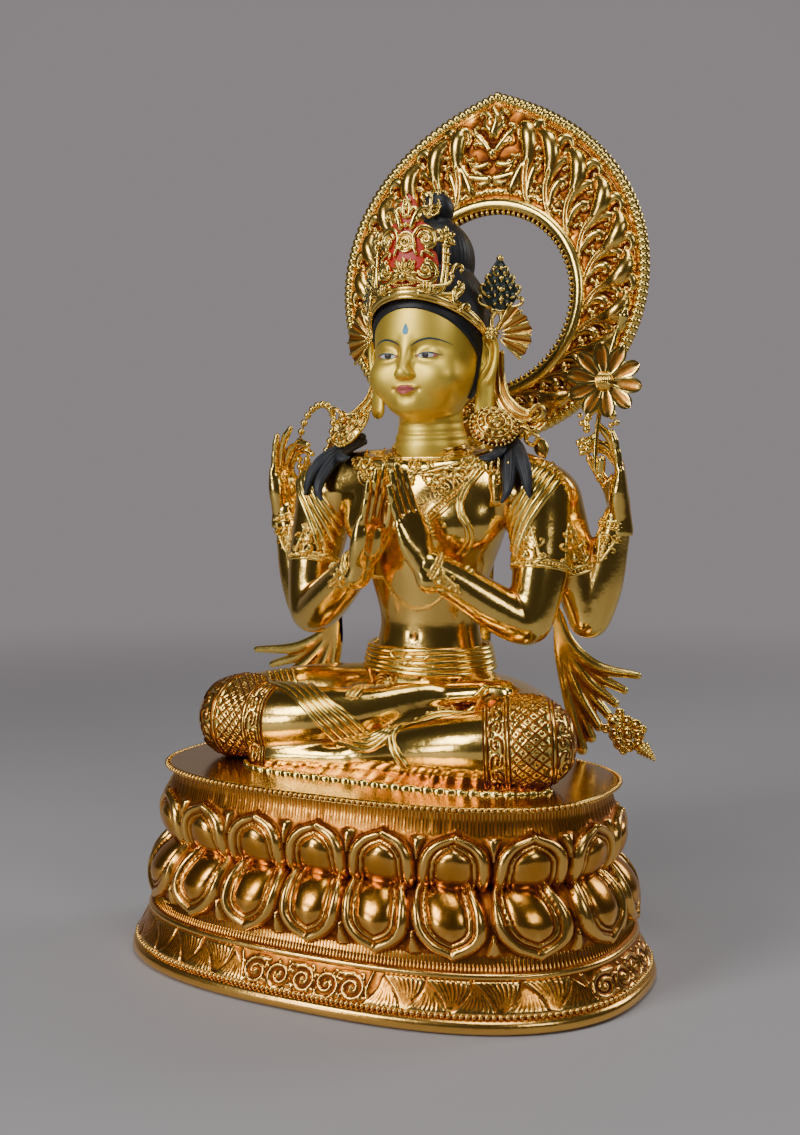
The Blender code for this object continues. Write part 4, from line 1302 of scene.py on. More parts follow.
    def _rim(self) -> None:
        """The slanted gadroon rim, the fine line inside it and the beads at the hole."""
        fine = np.linspace(0, 2 * math.pi, 4001)
        edge = self.outline(fine)
        path = np.stack([edge * np.cos(fine), edge * np.sin(fine)], 1)
        walk = np.concatenate([[0], np.cumsum(np.hypot(*np.diff(path, axis=0).T))])
        count = int(walk[-1] / 6.3)
        per = 12
        columns = count * per
        way = walk[-1] * np.arange(columns) / columns
        angle = np.interp(way, walk, fine)
        radius = self.outline(angle)
        section = np.linspace(-0.35 * math.pi, 1.35 * math.pi, 13)[:, None]
        mirrored = np.where((angle > math.pi / 2) & (angle < 1.5 * math.pi), -1.0, 1.0)
        phase = 2 * math.pi * (np.arange(columns) / per)[None, :] + mirrored * 1.5 * np.cos(section)
        bulge = 0.70 + 0.38 * np.abs(np.cos(phase / 2)) ** 0.7
        out = radius - 5.2 + 5.4 * np.cos(section) * bulge
        height = 0.6 + 5.6 * np.sin(section) * bulge
        rim = Form()
        rim.grid(self.at(out * np.cos(angle), out * np.sin(angle), height), closed_u=True, closed_v=True)
        beads = 520
        turn = 2 * math.pi * (np.arange(beads) + 0.5) / beads
        line = np.interp(turn, fine, self.outline(fine)) - 12.0
        for a, r in zip(turn, line):
            rim.bead(self.at(np.array(r * math.cos(a)), np.array(r * math.sin(a)), np.array(3.4)), 0.85, 5)
        hole = int(2 * math.pi * HALO_HOLE / 5.0)
        for a in 2 * math.pi * np.arange(hole) / hole:
            reach = HALO_HOLE + 1.6
            rim.bead(self.at(np.array(reach * math.cos(a)), np.array(reach * math.sin(a)), np.array(2.8)),
                     2.7, 8, self.up * math.cos(a) - self.right * math.sin(a), 0.66)
        rim.build("halo_rim", self.gilt, Piece.HALO, (0.25, 1.6))

    def _strap(self) -> None:
        """The flat strap that carries the halo down behind the pedestal, with two pairs of studs."""
        foot = -(HALO_CENTRE[2] - STRAP_FOOT) / math.cos(HALO_LEAN)
        levels = np.linspace(foot, -HALO_HOLE - 20, 40)[:, None]
        half, thick, soft = STRAP_WIDTH / 2, STRAP_THICKNESS / 2, 0.8
        corners = np.array([[-half, -thick + soft], [-half + soft, -thick], [half - soft, -thick],
                            [half, -thick + soft], [half, thick - soft], [half - soft, thick],
                            [-half + soft, thick], [-half, thick - soft]])
        strap = Form()
        strap.grid(self.at(corners[None, :, 0] + 0 * levels, levels + 0 * corners[None, :, 0],
                           corners[None, :, 1] - 0.4 + 0 * levels), closed_v=True, flip=True)
        for level in (foot, -HALO_HOLE - 20):
            strap.grid(self.at(corners[[[0, 1, 2, 3], [7, 6, 5, 4]], 0], np.full((2, 4), level),
                               corners[[[0, 1, 2, 3], [7, 6, 5, 4]], 1] - 0.4), flip=level > foot)
        for place in (-HALO_HOLE - 62, foot + 92):
            for x in (-8.0, 8.0):
                strap.bead(self.at(np.array(x), np.array(place), np.array(-3.0)), 3.4, 10, -self.front, 0.5)
        strap.build("halo_strap", self.gilt, Piece.HALO, (0.3, 2.0))


class Studio:
    """Floor, lights and camera."""

    def make(self) -> None:
        """Sets up everything around the statue."""
        self._floor()
        self._camera()
        for name, place, aim, size, power in (("key_light", (-0.95, -2.1, 1.55), (0, 0, 0.35), 0.9, 37.0),
                                              ("fill_light", (2.3, -1.4, 1.7), (0, 0, 0.35), 0.8, 12.0),
                                              ("top_light", (0.4, -0.5, 2.6), (0, 0, 0.3), 1.0, 20.0),
                                              ("edge_light", (1.5, 1.8, 1.5), (0, 0, 0.45), 0.9, 18.0),
                                              ("front_light", (-1.0, -2.0, 0.42), (0, 0, 0.3), 0.45, 8.0)):
            light = bpy.data.lights.new(name, "AREA")
            light.shape = "SQUARE"
            light.size = size
            light.energy = power
            lamp = bpy.data.objects.new(name, light)
            lamp.location = place
            lamp.rotation_euler = (Vector(aim) - Vector(place)).to_track_quat("-Z", "Y").to_euler()
            bpy.context.scene.collection.objects.link(lamp)
        self._world()

    def _world(self) -> None:
        """A grey room that is lighter behind the statue than behind the camera."""
        world = bpy.data.worlds.new("studio")
        world.use_nodes = True
        tree = world.node_tree
        ground = next(n for n in tree.nodes if n.type == "BACKGROUND")
        place = tree.nodes.new("ShaderNodeTexCoord")
        way = tree.nodes.new("ShaderNodeVectorMath")
        way.operation = "DOT_PRODUCT"
        way.inputs[1].default_value = (-0.45, 0.89, 0.0)
        share = tree.nodes.new("ShaderNodeMapRange")
        share.inputs["From Min"].default_value = 0.42
        share.inputs["From Max"].default_value = 0.93
        mixed = tree.nodes.new("ShaderNodeMix")
        mixed.data_type = "RGBA"
        colours = [s for s in mixed.inputs if s.type == "RGBA"]
        colours[0].default_value = (0.045, 0.042, 0.042, 1.0)
        colours[1].default_value = (0.262, 0.237, 0.243, 1.0)
        factor = next(s for s in mixed.inputs if s.type == "VALUE")
        result = next(s for s in mixed.outputs if s.type == "RGBA")
        tree.links.new(place.outputs["Generated"], way.inputs[0])
        tree.links.new(way.outputs["Value"], share.inputs["Value"])
        tree.links.new(share.outputs["Result"], factor)
        tree.links.new(result, ground.inputs["Color"])
        ground.inputs["Strength"].default_value = 1.0
        bpy.context.scene.world = world

    def _floor(self) -> None:
        """A wide round floor."""
        reach = np.array([0.0, 0.3, 0.8, 1.6, 3.2, 6.0])[:, None]
        angle = (2 * math.pi * np.arange(96) / 96)[None, :]
        points = np.stack([reach * np.cos(angle), reach * np.sin(angle), 0 * reach * angle], -1)
        mesh = bpy.data.meshes.new("floor")
        form = Form()
        form.grid(points, closed_v=True, flip=False)
        places, faces = form.arrays()
        mesh.from_pydata(places.tolist(), [], faces[0].tolist())
        mesh.materials.append(FLOOR.paint())
        floor = bpy.data.objects.new("floor", mesh)
        bpy.context.scene.collection.objects.link(floor)

    def _camera(self) -> None:
        """The camera at the photograph's place."""
        data = bpy.data.cameras.new("camera")
        data.sensor_fit = "VERTICAL"
        data.sensor_height = SENSOR
        data.lens = SENSOR * FOCAL_PIXELS / IMAGE_SIZE[1]
        data.clip_end = 50.0
        camera = bpy.data.objects.new("camera", data)
        camera.location = [v * METRE for v in CAMERA_PLACE]
        camera.rotation_euler = (math.pi / 2 - CAMERA_PITCH, 0, CAMERA_YAW)
        bpy.context.scene.collection.objects.link(camera)
        bpy.context.scene.camera = camera


LIFT = np.array([0, 0, PEDESTAL_HEIGHT])    # figure stations are measured up from the plate

TORSO = [(-8, 72, 70, 44, 2.0), (22, 74, 75, 47, 2.1), (45, 76, 66, 43, 2.1), (66, 78, 54, 37, 2.1),
         (94, 78, 45, 31, 2.1), (112, 78, 43, 30, 2.1), (135, 77, 48, 33, 2.15), (160, 76, 57, 37, 2.2),
         (188, 75, 68, 39, 2.3), (212, 77, 72, 36, 2.3), (230, 80, 62, 31, 2.2), (243, 81, 42, 27, 2.0),
         (254, 81, 27, 24, 2.0)]
SHOULDER = [(0, 81, 222, 30), (70, 81, 221, 29), (96, 80, 214, 26)]
FRONT_ARM = [(98, 78, 212, 26), (102, 72, 180, 24), (103, 63, 150, 21.5), (100, 54, 120, 19),
             (94, 50, 115, 18.5), (76, 39, 126, 18.5), (52, 25, 144, 16), (31, 12, 159, 12.5)]
BACK_ARM = [(103, 92, 208, 24), (116, 97, 165, 20.5), (129, 100, 124, 17.5), (133, 100, 116, 16.5),
            (141, 102, 143, 17.5), (149, 103, 176, 14), (154, 102, 197, 11.5)]
THIGH = [(42, 72, 34, 38), (88, 36, 35, 36), (124, -7, 34, 32), (129, -17, 32, 30)]
UPPER_SHIN = [(-129, -17, 32, 30), (-90, -24, 34, 29), (-50, -25, 39, 25), (-12, -17, 46, 19),
              (16, -5, 54, 14.5), (36, 3, 59, 11.5)]
UPPER_FOOT = [(30, 2, 60, 10), (60, 8, 63, 11), (84, 9, 66, 10), (98, 7, 68, 6)]
LOWER_SHIN = [(129, -17, 32, 30), (88, -28, 28, 27), (48, -32, 23, 22), (12, -32, 17, 16),
              (-15, -34, 13, 12)]
LOWER_FOOT = [(-15, -36, 12, 11), (-48, -40, 11, 10), (-76, -42, 9, 9), (-92, -42, 8, 6)]
HEAD = [(275, 62, 14, 18, 2.0), (282, 66, 26, 30, 2.0), (292, 71, 35, 37.5, 2.0), (306, 75, 40.5, 42, 2.05),
        (325, 78, 44, 45.5, 2.1), (345, 80, 45.5, 47.5, 2.1), (362, 82, 45, 47.5, 2.0),
        (378, 84, 40, 43, 2.0), (392, 86, 31, 34, 2.0), (400, 87, 20, 22, 2.0)]
EAR = [(48, 83, 336, 8.5), (49.5, 82, 318, 8), (49, 80, 300, 7.5), (48.5, 78, 284, 8)]
HAIRLINE = 361.0                # forehead's top, and the height that the face is set out from
FACE_SCALE = 0.83               # face heights below are written for a longer face and drawn together
FINGERS = [(9.5, 37, 37, 3.5), (3.2, 39, 41, 3.6), (-3.2, 38, 38, 3.5), (-9.2, 35, 31, 3.2)]
JOINED_THUMB = [(5, 8, 2, 7), (12, 22, 3, 5), (13, 38, 4, 4.2), (11, 50, 4, 3.2)]
HOLDING_THUMB = [(5, 8, 3, 7), (13, 20, 9, 5), (13, 33, 17, 4), (9, 43, 23, 3)]
STEM = [(141, 86, 232), (141, 85, 252), (143, 86, 274), (147, 89, 303)]
LOTUS_CENTRE = (147.0, 88.0, 303.0)
LOTUS_FACING = (0.25, -0.93, 0.12)


def mirrored(stations: Sequence[Sequence[float]], side: int) -> Array:
    """Stations with x turned to a side of the figure."""
    out = np.array(stations, float)
    out[:, 0] *= side
    return out


def face_height(z: Value) -> Array:
    """Draws a height written for a longer face together, up to the hairline."""
    return HAIRLINE - (HAIRLINE - np.asarray(z, float)) * FACE_SCALE


def lifted(form: Form) -> Form:
    """Sets a form that was made in the figure's heights on the pedestal."""
    form.points = [p + LIFT for p in form.points]
    return form


@dataclass(frozen=True)
class Hand:
    """Place, pose and finger bends of one hand."""

    wrist: Tuple[float, float, float]
    along: Tuple[float, float, float]
    palm: Tuple[float, float, float]
    side: int
    curls: Tuple[float, float, float, float]
    thumb: Sequence[Tuple[float, float, float, float]]

    def place(self, u: float, v: float, n: float) -> Array:
        """A point from its place across, along and out of the palm."""
        up = unit(self.along)
        out = unit(np.asarray(self.palm) - up * float(np.dot(up, self.palm)))
        across = np.cross(out, up) * self.side
        return np.asarray(self.wrist) + across * u + up * v + out * n

    def out(self) -> Array:
        """The direction out of the palm."""
        up = unit(self.along)
        return unit(np.asarray(self.palm) - up * float(np.dot(up, self.palm)))

    def model(self) -> Clay:
        """Models the hand."""
        def at(u: float, v: float, n: float, radius: float) -> Tuple[float, ...]:
            """A station of the hand's own axes, with its radius."""
            return (*self.place(u, v, n), radius)

        corner = [self.place(u, v, n) for u in (-22, 26) for v in (-16, 90) for n in (-14, 44)]
        clay = Clay(np.min(corner, 0), np.max(corner, 0), 0.9)
        out = self.out()
        clay.stroke([at(0, -14, -1, 11.5), at(0, -3, -0.5, 10.6), at(0, 8, 0, 10)], 3, 0.85, out)
        for (shift, begin, _, radius) in FINGERS:
            clay.stroke([at(shift * 0.4, 2, 0, 8), at(shift * 0.8, begin * 0.5, -0.5, radius + 4.4),
                         at(shift, begin - 2, -1.2, radius + 1.4)], 3.5, 0.78, out)
        clay.ball(self.place(8, 16, 4), (7, 15, 6.5), 4, turn=self._frame())
        clay.ball(self.place(-7, 15, 2.6), (6, 14, 5.5), 4, turn=self._frame())
        for (shift, begin, length, radius), bend in zip(FINGERS, self.curls):
            joints, v, n, turn = [at(shift, begin - 4, -1, radius + 0.5)], begin - 1.0, -0.6, 0.0
            joints.append(at(shift, v, n, radius + 0.3))
            for share in (0.42, 0.32, 0.26):
                turn += math.radians(bend) / 3
                middle = (v + 0.5 * length * share * math.cos(turn),
                          n + 0.5 * length * share * math.sin(turn))
                joints.append(at(shift, *middle, radius * (0.95 if share > 0.4 else 0.84)))
                v += length * share * math.cos(turn)
                n += length * share * math.sin(turn)
                joints.append(at(shift, v, n, radius * (1.0 if share > 0.3 else 0.70)))
            clay.stroke(joints, 0.8, steps=3)
        clay.stroke([at(*joint) for joint in self.thumb], 2.2)
        return clay

    def _frame(self) -> Array:
        """Across, along and out as rows."""
        up = unit(self.along)
        return np.stack([np.cross(self.out(), up) * self.side, up, self.out()])


HANDS = {"front_hand_left": Hand((27, 9, 162), (-0.35, -0.12, 1), (-0.9, 0.42, 0), 1, (-12, -13, -14, -13),
                                 JOINED_THUMB), "front_hand_right": Hand((-27, 9, 162), (0.35, -0.12, 1),
        (0.9, -0.42, 0), -1, (-12, -13, -14, -13), JOINED_THUMB), "lotus_hand": Hand((156, 101, 200),
        (-0.01, -0.06, 1), (-0.95, -0.3, 0), 1, (112, 98, 42, 16), HOLDING_THUMB),
         "bead_hand": Hand((-156, 101, 200), (0.01, -0.06, 1), (0.95, -0.3, 0), -1, (112, 98, 42, 16),
                           HOLDING_THUMB),}


class Skin:
    """A skin, in the figure's frame, that ornament is laid on."""

    def __init__(self, form: Form) -> None:
        self.tree = form.tree()

    def fall(self, places: Array, way: Sequence[float], lift: object = 0.0) -> Array:
        """Drops places along a direction onto the skin.

        Args:
            places: Places in front of the skin, one in each row.
            way: The direction in which they fall.
            lift: Height above the skin.

        Returns:
            The points on the skin.
        """
        places = np.atleast_2d(np.asarray(places, float))
        return drape(self.tree, places[:, None], np.broadcast_to(lift, (len(places),))[:, None], way)[:, 0]

    def around(self, centre: Sequence[float], axis: Sequence[float], reach: float, lift: float = 0.0,
               count: int = 48) -> Array:
        """A loop around a limb, from its middle outwards.

        Args:
            centre: A point inside the limb.
            axis: The limb's direction there.
            reach: Greatest distance from the middle.
            lift: Height above the skin.
            count: Points in the loop.

        Returns:
            The loop's points.
        """
        axis = unit(axis)
        side = unit(np.cross(axis, (0.2, -0.97, 0.1)))
        front = np.cross(side, axis)
        loop = []
        for angle in 2 * math.pi * np.arange(count) / count:
            way = math.cos(angle) * side + math.sin(angle) * front
            hit = self.tree.ray_cast(Vector(centre), Vector(way), reach)
            loop.append((reach if hit[0] is None else hit[3]) + lift)
        out = np.array(loop)
        for _ in range(2):
            out = 0.5 * out + 0.25 * (np.roll(out, 1) + np.roll(out, -1))
        angle = 2 * math.pi * np.arange(count) / count
        return np.asarray(centre) + out[:, None] * (np.cos(angle)[:, None] * side + np.sin(angle)[:,
                None] * front)


@dataclass(frozen=True)
class Facet:
    """A plane in front of a skin, drawn on in u and v."""

    origin: Tuple[float, float, float]
    up: Tuple[float, float, float]
    out: Tuple[float, float, float]

    def points(self, u: Array, v: Array, height: float = 22.0) -> Array:
        """Places of u and v, at a height in front of the plane."""
        out = unit(self.out)
        up = unit(np.asarray(self.up) - out * float(np.dot(self.up, out)))
        right = np.cross(up, out)
        u, v = np.broadcast_arrays(np.asarray(u, float), np.asarray(v, float))
        return np.asarray(self.origin) + u[..., None] * right + v[..., None] * up + height * out


CHEST = Facet((0, 40, 0), (0, 0, 1), (0, -1, 0))


class Jeweller:
    """Lays tubes, beads and scrolls on a skin."""

    def __init__(self, skin: Skin) -> None:
        self.skin = skin
        self.form = Form()

    def line(self, facet: Facet, stations: Sequence[Sequence[float]], lift: float = 0.3, steps: int = 6,
             sides: int = 7, shift: float = 0.0) -> Array:
        """A tube through stations of u, v and radius, moved sideways by shift."""
        curve = spline(stations, steps)
        if shift:
            along = unit(np.gradient(curve[:, :2], axis=0))
            curve[:, :2] += shift * np.stack([-along[:, 1], along[:, 0]], 1)
        path = self.skin.fall(facet.points(curve[:, 0], curve[:, 1]), -unit(facet.out), lift)
        step = np.linalg.norm(np.diff(path, axis=0), axis=1)
        even = np.linalg.norm(np.diff(curve[:, :2], axis=0), axis=1)
        begin = 0
        for k in [*np.nonzero(step > 3.2 * even + 1.5)[0], len(step)]:
            if k - begin >= 3:
                self.form.tube(path[begin:k + 1], curve[begin:k + 1, 2], sides)
            begin = k + 1
        return path

    def beads(self, path: Array, radius: float, pitch: float, closed: bool = False) -> None:
        """Beads at even steps along a path."""
        path = np.vstack([path, path[:1]]) if closed else path
        walk = np.concatenate([[0], np.cumsum(np.linalg.norm(np.diff(path, axis=0), axis=1))])
        count = max(int(walk[-1] / pitch), 1)
        way = walk[-1] * (np.arange(count) + 0.5) / count
        self.form.beads(np.stack([np.interp(way, walk, path[:, k]) for k in range(3)], 1), radius)

    def string(self, facet: Facet, stations: Sequence[Sequence[float]], radius: float, pitch: float,
               lift: float = 0.8, shift: float = 0.0) -> None:
        """A row of beads on the skin."""
        curve = spline(stations, 8)
        if shift:
            along = unit(np.gradient(curve[:, :2], axis=0))
            curve[:, :2] += shift * np.stack([-along[:, 1], along[:, 0]], 1)
        self.beads(self.skin.fall(facet.points(curve[:, 0], curve[:, 1]), -unit(facet.out), lift), radius,
                   pitch)

    def stud(self, facet: Facet, u: float, v: float, radius: float, lift: float = 0.3, sides: int = 10,
             squash: float = 0.75) -> None:
        """A round boss on the skin."""
        place = self.skin.fall(facet.points(u, v), -unit(facet.out), lift)[0]
        self.form.bead(place, radius, sides, unit(facet.out), squash)

    def rosette(self, facet: Facet, u: float, v: float, radius: float, petals: int = 8) -> None:
        """A flower of small petals around a boss."""
        self.stud(facet, u, v, radius * 0.42, 0.8, 10, 0.9)
        for k in range(petals):
            angle = 2 * math.pi * k / petals
            self.stud(facet, u + 0.72 * radius * math.cos(angle), v + 0.72 * radius * math.sin(angle),
                      radius * 0.30, 0.4, 7, 0.8)

    def scroll(self, facet: Facet, start: Sequence[float], degrees: float, length: float, bend: float,
               radius: float, mirror: bool = True, lift: float = 0.4, centre: float = 0.0) -> None:
        """A scroll, and its mirror image about the line u = centre."""
        line = curl(start, math.radians(degrees), length, bend, radius, 0.62, 0.0, 9)
        for way in (1, -1) if mirror else (1,):
            stations = line.copy()
            stations[:, 0] = centre + way * stations[:, 0]
            self.line(facet, stations, lift, 2, 7)
            self.stud(facet, stations[-1, 0], stations[-1, 1], radius * 0.85, lift + 0.3, 7, 0.9)

    def plaque(self, facet: Facet, width: float, height: float) -> None:
        """A pointed jewel plaque standing on the facet's origin: a bead flower, a jewel, a drop and scrolls."""
        w, h = width / 30, height / 30
        size = 0.5 * (w + h)
        for u, v, radius in ((0, 7, 4.6), (0, 19.5, 2.9), (0, 26.8, 2.3), (0, 31, 1.3)):
            self.stud(facet, u * w, v * h, radius * size, 0.6, 14, 0.8)
        for middle, reach, count, radius in ((7, 7.0, 14, 1.55), (19.5, 4.4, 10, 1.0)):
            for k in range(count):
                angle = 2 * math.pi * k / count
                self.stud(facet, reach * 1.1 * size * math.cos(angle),
                          middle * h + reach * 0.9 * size * math.sin(angle), radius * size, 0.7, 7, 0.9)
        for start, degrees, length, bend, radius in (((8.5, 1.0), 20, 15, 4.4, 1.7),
                                                     ((6.5, 14), 10, 14, 4.6, 1.6),
                                                     ((4.2, 23), 30, 9, 4.6, 1.3),
                                                     ((10.5, 8), -10, 8, -4.6, 1.3)):
            self.scroll(facet, (start[0] * w, start[1] * h), degrees, length * size, bend, radius * size,
                        True, 0.9)
        for side in SIDES:
            self.line(facet, [(side * 16 * w, -0.5, 1.1), (side * 12.5 * w, 5 * h, 1.1),
                              (side * 8.5 * w, 17 * h, 1.1), (side * 4.2 * w, 28 * h, 1.0),
                              (0, 34 * h, 0.9)], 0.2)

    def band(self, centre: Sequence[float], axis: Sequence[float], reach: float, beads: bool = True,
             size: float = 1.0) -> None:
        """A bracelet: a row of beads between two plain rings."""
        axis = unit(axis)
        for shift, radius in ((-2.6 * size, 1.25 * size), (2.6 * size, 1.25 * size)):
            loop = self.skin.around(np.asarray(centre) + axis * shift, axis, reach, 0.5)
            self.form.tube(loop, radius, 8, closed=True)
        loop = self.skin.around(centre, axis, reach, 0.9)
        if beads:
            self.beads(loop, 1.45 * size, 3.0 * size, closed=True)
        else:
            self.form.tube(loop, 1.4 * size, 8, closed=True)


class Dress:
    """Clothes and jewellery laid on the figure's skins."""

    def __init__(self, body: Skin, legs: Skin, finishes: Dict[str, bpy.types.Material]) -> None:
        self.body = body
        self.legs = legs
        self.finish = finishes

    def _necklace(self, kit: Jeweller) -> None:
        """Collar ring, scroll necklace and the chased cloth on the chest."""
        for z, radius, reach in ((254.5, 1.9, 33.0), (250.0, 1.3, 38.0)):
            kit.form.tube(self.body.around((0, 80.5, z), (0, -0.22, 1), reach, 0.7, 72), radius, 8,
                          closed=True)
        edge = [(0, 231, 1.2), (16, 233, 1.2), (34, 238, 1.2), (50, 245, 1.2), (58, 251, 1.0)]
        for way in SIDES:
            side_edge = [(way * u, v, r) for u, v, r in edge]
            kit.line(CHEST, side_edge, 0.4)
            for u, v, size in ((15, 240.5, 4.4), (28, 244, 4.0), (40, 248.5, 3.4)):
                kit.rosette(CHEST, way * u, v, size, 7)
            for u, v in ((19, 229), (36, 234.5), (51, 242)):
                kit.scroll(CHEST, (1.2, v), 14, 13, -4.2, 2.3, True, 0.9, way * u)
                kit.scroll(CHEST, (1.0, v - 3.4), -50, 9, 4.0, 1.9, True, 0.9, way * u)
                kit.stud(CHEST, way * u, v - 1.0, 2.9, 1.4)
                kit.stud(CHEST, way * u, v - 6.0, 2.3, 1.0)
                kit.stud(CHEST, way * u, v - 10.4, 1.6, 0.6, 8, 1.1)
        kit.scroll(CHEST, (7, 233.5), 0, 12, 4.2, 2.0, False, 0.9, 0.0)
        kit.rosette(CHEST, 0, 239, 6.4, 9)
        for v in (230.5, 226.4, 223.0):
            kit.stud(CHEST, 0, v, 2.8 - 0.2 * (230 - v) / 2, 0.9)
        for u, v, scale in ((27, 217, 1.15), (45, 230, 1.0), (8, 205, 1.1), (-27, 217, 1.15),
                            (-45, 230, 1.0)):
            for radius in (2.6, 5.6, 8.6):
                ring = 2 * math.pi * np.arange(28) / 28
                path = self.body.fall(CHEST.points(u + scale * radius * np.cos(ring),
                                                   v + scale * radius * np.sin(ring)), (0, 1, 0), 0.05)
                kit.form.tube(path, 0.55, 6, closed=True)
            kit.stud(CHEST, u, v, 1.4 * scale, 0.1)
            for k in range(10):
                angle = 2 * math.pi * k / 10
                kit.stud(CHEST, u + 4.1 * scale * math.cos(angle), v + 4.1 * scale * math.sin(angle), 0.8,
                         0.0, 6)
        for side in SIDES:
            kit.stud(CHEST, side * 33, 190, 2.4, 0.2, 12, 0.9)

    def _straps(self, kit: Jeweller) -> None:
        """The beaded strap across the chest, the bead string and the deer skin's edges."""
        strap = [(69, 249, 1.1), (56, 234, 1.1), (45, 221, 1.1), (32, 209, 1.1), (21, 198, 1.1),
                 (17, 192, 1.1)]
        kit.line(CHEST, strap, 0.7, shift=2.9)
        kit.line(CHEST, strap, 0.7, shift=-2.9)
        kit.string(CHEST, strap, 1.45, 3.1, 1.1)
        for k in range(5):
            kit.line(CHEST, [(14 + 1.2 * k, 195 - 3.4 * k, 1.2), (18 + 1.2 * k, 197 - 3.6 * k, 1.5),
                             (21 + 1.0 * k, 193 - 3.4 * k, 1.2)], 1.6)
        string = [(20, 181, 1), (22, 172, 1), (28, 163, 1), (32, 151, 1), (28, 136, 1), (17, 125, 1),
                  (3, 121, 1), (-12, 127, 1), (-24, 142, 1), (-30, 158, 1), (-31, 174, 1)]
        kit.string(CHEST, string, 1.5, 3.2, 0.9)
        for u, v in ((-12, 127), (-7, 124), (3, 121), (13, 123)):
            kit.rosette(CHEST, u, v, 2.6, 6)
        edge = [(61, 243, 1.3), (52, 229, 1.6), (46, 214, 1.8), (47, 201, 1.8), (53, 190, 1.9),
                (53, 178, 1.9), (46, 168, 1.9), (37, 161, 1.6)]
        kit.line(CHEST, edge, 0.5)
        kit.line(CHEST, edge, 0.3, shift=-3.0)
        kit.line(CHEST, [(44, 216, 1.2), (36, 205, 1.1), (27, 196, 1.0)], 0.4)
        self._deer_head()

    def _deer_head(self) -> None:
        """The small animal head of the skin on the left shoulder."""
        y = float(self.body.fall(CHEST.points(72.0, 224.0), (0, 1, 0))[0, 1])
        clay = Clay((58, y - 16, 203), (86, y + 6, 246), 0.55)
        clay.stroke([(71.5, y + 1, 232, 6), (72, y - 2.4, 227, 7.2), (72.4, y - 4, 220, 5.6),
                     (72.6, y - 5, 213, 4.2), (72.7, y - 4.6, 209.5, 4.4)], 2, steps=8)
        for side in SIDES:
            clay.stroke([(72 + side * 5, y - 2, 231, 2.6), (72 + side * 8.6, y - 3, 236, 2.8),
                         (72 + side * 9.4, y - 2.4, 240, 1.0)], 1.2, 0.5, (0, -1, 0), steps=6)
            clay.stroke([(72 + side * 2.4, y - 5, 232, 1.6), (72 + side * 3.0, y - 6, 238, 1.4),
                         (72 + side * 2.2, y - 5, 243, 0.8)], 1.0, steps=6)
            clay.ball((72.2 + side * 4.2, y - 8.2, 225), (2.4, 1.8, 2.1), 0.8, cut=True)
            clay.ball((72.2 + side * 4.2, y - 7.4, 225), (1.5, 1.6, 1.4), 0.4)
            clay.ball((72.6 + side * 1.9, y - 9.6, 211.4), (1.0, 1.2, 0.8), 0.5, cut=True)
        clay.emboss([(68.8, y - 8.0, 208.2), (72.7, y - 9.4, 207.6), (76.4, y - 8.0, 208.2)], 0.8, -0.8)
        lifted(clay.skin()).build("deer_head", self.finish["gilt"], Piece.FIGURE, (0.2, 1.2))

    def _arms(self, kit: Jeweller) -> None:
        """Sashes, armlets and bracelets."""
        for side in SIDES:
            for k in range(5):
                kit.line(CHEST, [(side * 113, 236, 2.6), (side * 104, 219, 2.7), (side * 93, 201, 2.7),
                                 (side * 85, 184, 2.5), (side * 81, 170, 2.0)], 0.3, 8, 9,
                         side * (k - 2) * 4.7)
            upper = (side * 102.5, 65, 157)
            axis = (side * 0.02, -0.25, -1)
            kit.band(upper, axis, 24.5)
            kit.plaque(Facet((side * 98, 44, 161), (side * -0.02, 0.25, 1), (side * -0.05, -1, 0.2)), 30,
                       30)
            back = (side * 119.5, 98, 153)
            kit.band(back, (side * 0.28, 0.08, -1), 21.5)
            kit.plaque(Facet((side * 127, 78, 158), (side * -0.22, -0.05, 1), (side * 0.62, -0.8, 0.1)), 24,
                       30)
            kit.band((side * 34, 14, 156.5), (side * -0.8, -0.45, 0.5), 17)
            kit.plaque(Facet((side * 39, 4, 150), (side * 0.8, 0.42, -0.45), (side * 0.25, -1, -0.15)), 17,
                       22)
            kit.band((side * 153, 103, 190), (side * 0.22, 0.05, 1), 17)
            kit.plaque(Facet((side * 151, 90, 184), (side * -0.26, 0, -1), (side * -0.25, -1, 0.1)), 15, 22)

    def _belt(self, kit: Jeweller) -> None:
        """Ridged sash around the waist with its jewel, and the chased hip cloth."""
        for k in range(5):
            z = 71.5 + 4.3 * k
            angle = 2 * math.pi * np.arange(96) / 96
            rx, ry = 56.0 - 0.9 * k, 40.0 - 0.9 * k
            sag = 2.2 * np.sin(angle) + 0.9 * np.sin(2 * angle + k)
            kit.form.tube(np.stack([rx * np.cos(angle), 78 + ry * np.sin(angle), z + sag], 1), 2.9, 9,
                          closed=True)
        front = Facet((0, 36, 66), (0, 0, 1), (0, -1, 0))
        for u, v, radius, petals in ((0, 10, 5.4, 9), (-10, 9.4, 3.8, 7), (10, 9.4, 3.8, 7),
                                     (-17.5, 9, 2.8, 6), (17.5, 9, 2.8, 6), (-5, 2.6, 2.6, 6),
                                     (5, 2.6, 2.6, 6), (-5, 17, 2.6, 6), (5, 17, 2.6, 6)):
            centre = np.array([u, 37.0 + 0.012 * u * u, 66.0 + v])
            kit.form.bead(centre, radius * 0.5, 10, np.array([0, -1.0, 0.0]), 0.9)
            for k in range(petals):
                a = 2 * math.pi * k / petals
                kit.form.bead(centre + radius * 0.8 * np.array([math.cos(a), 0, math.sin(a)]) + (0, 0.8, 0),
                              radius * 0.3, 7)
        for side in SIDES:
            for start, degrees, length, bend, radius in (((20, 9), 20, 12, 4.0, 1.5),
                                                         ((20, 8), -20, 12, -4.0, 1.5),
                                                         ((13, 15), 30, 10, 4.2, 1.3),
                                                         ((13, 3), -30, 10, -4.2, 1.3)):
                line = spline(curl(start, math.radians(degrees), length, bend, radius, 0.7, 0, 9), 2)
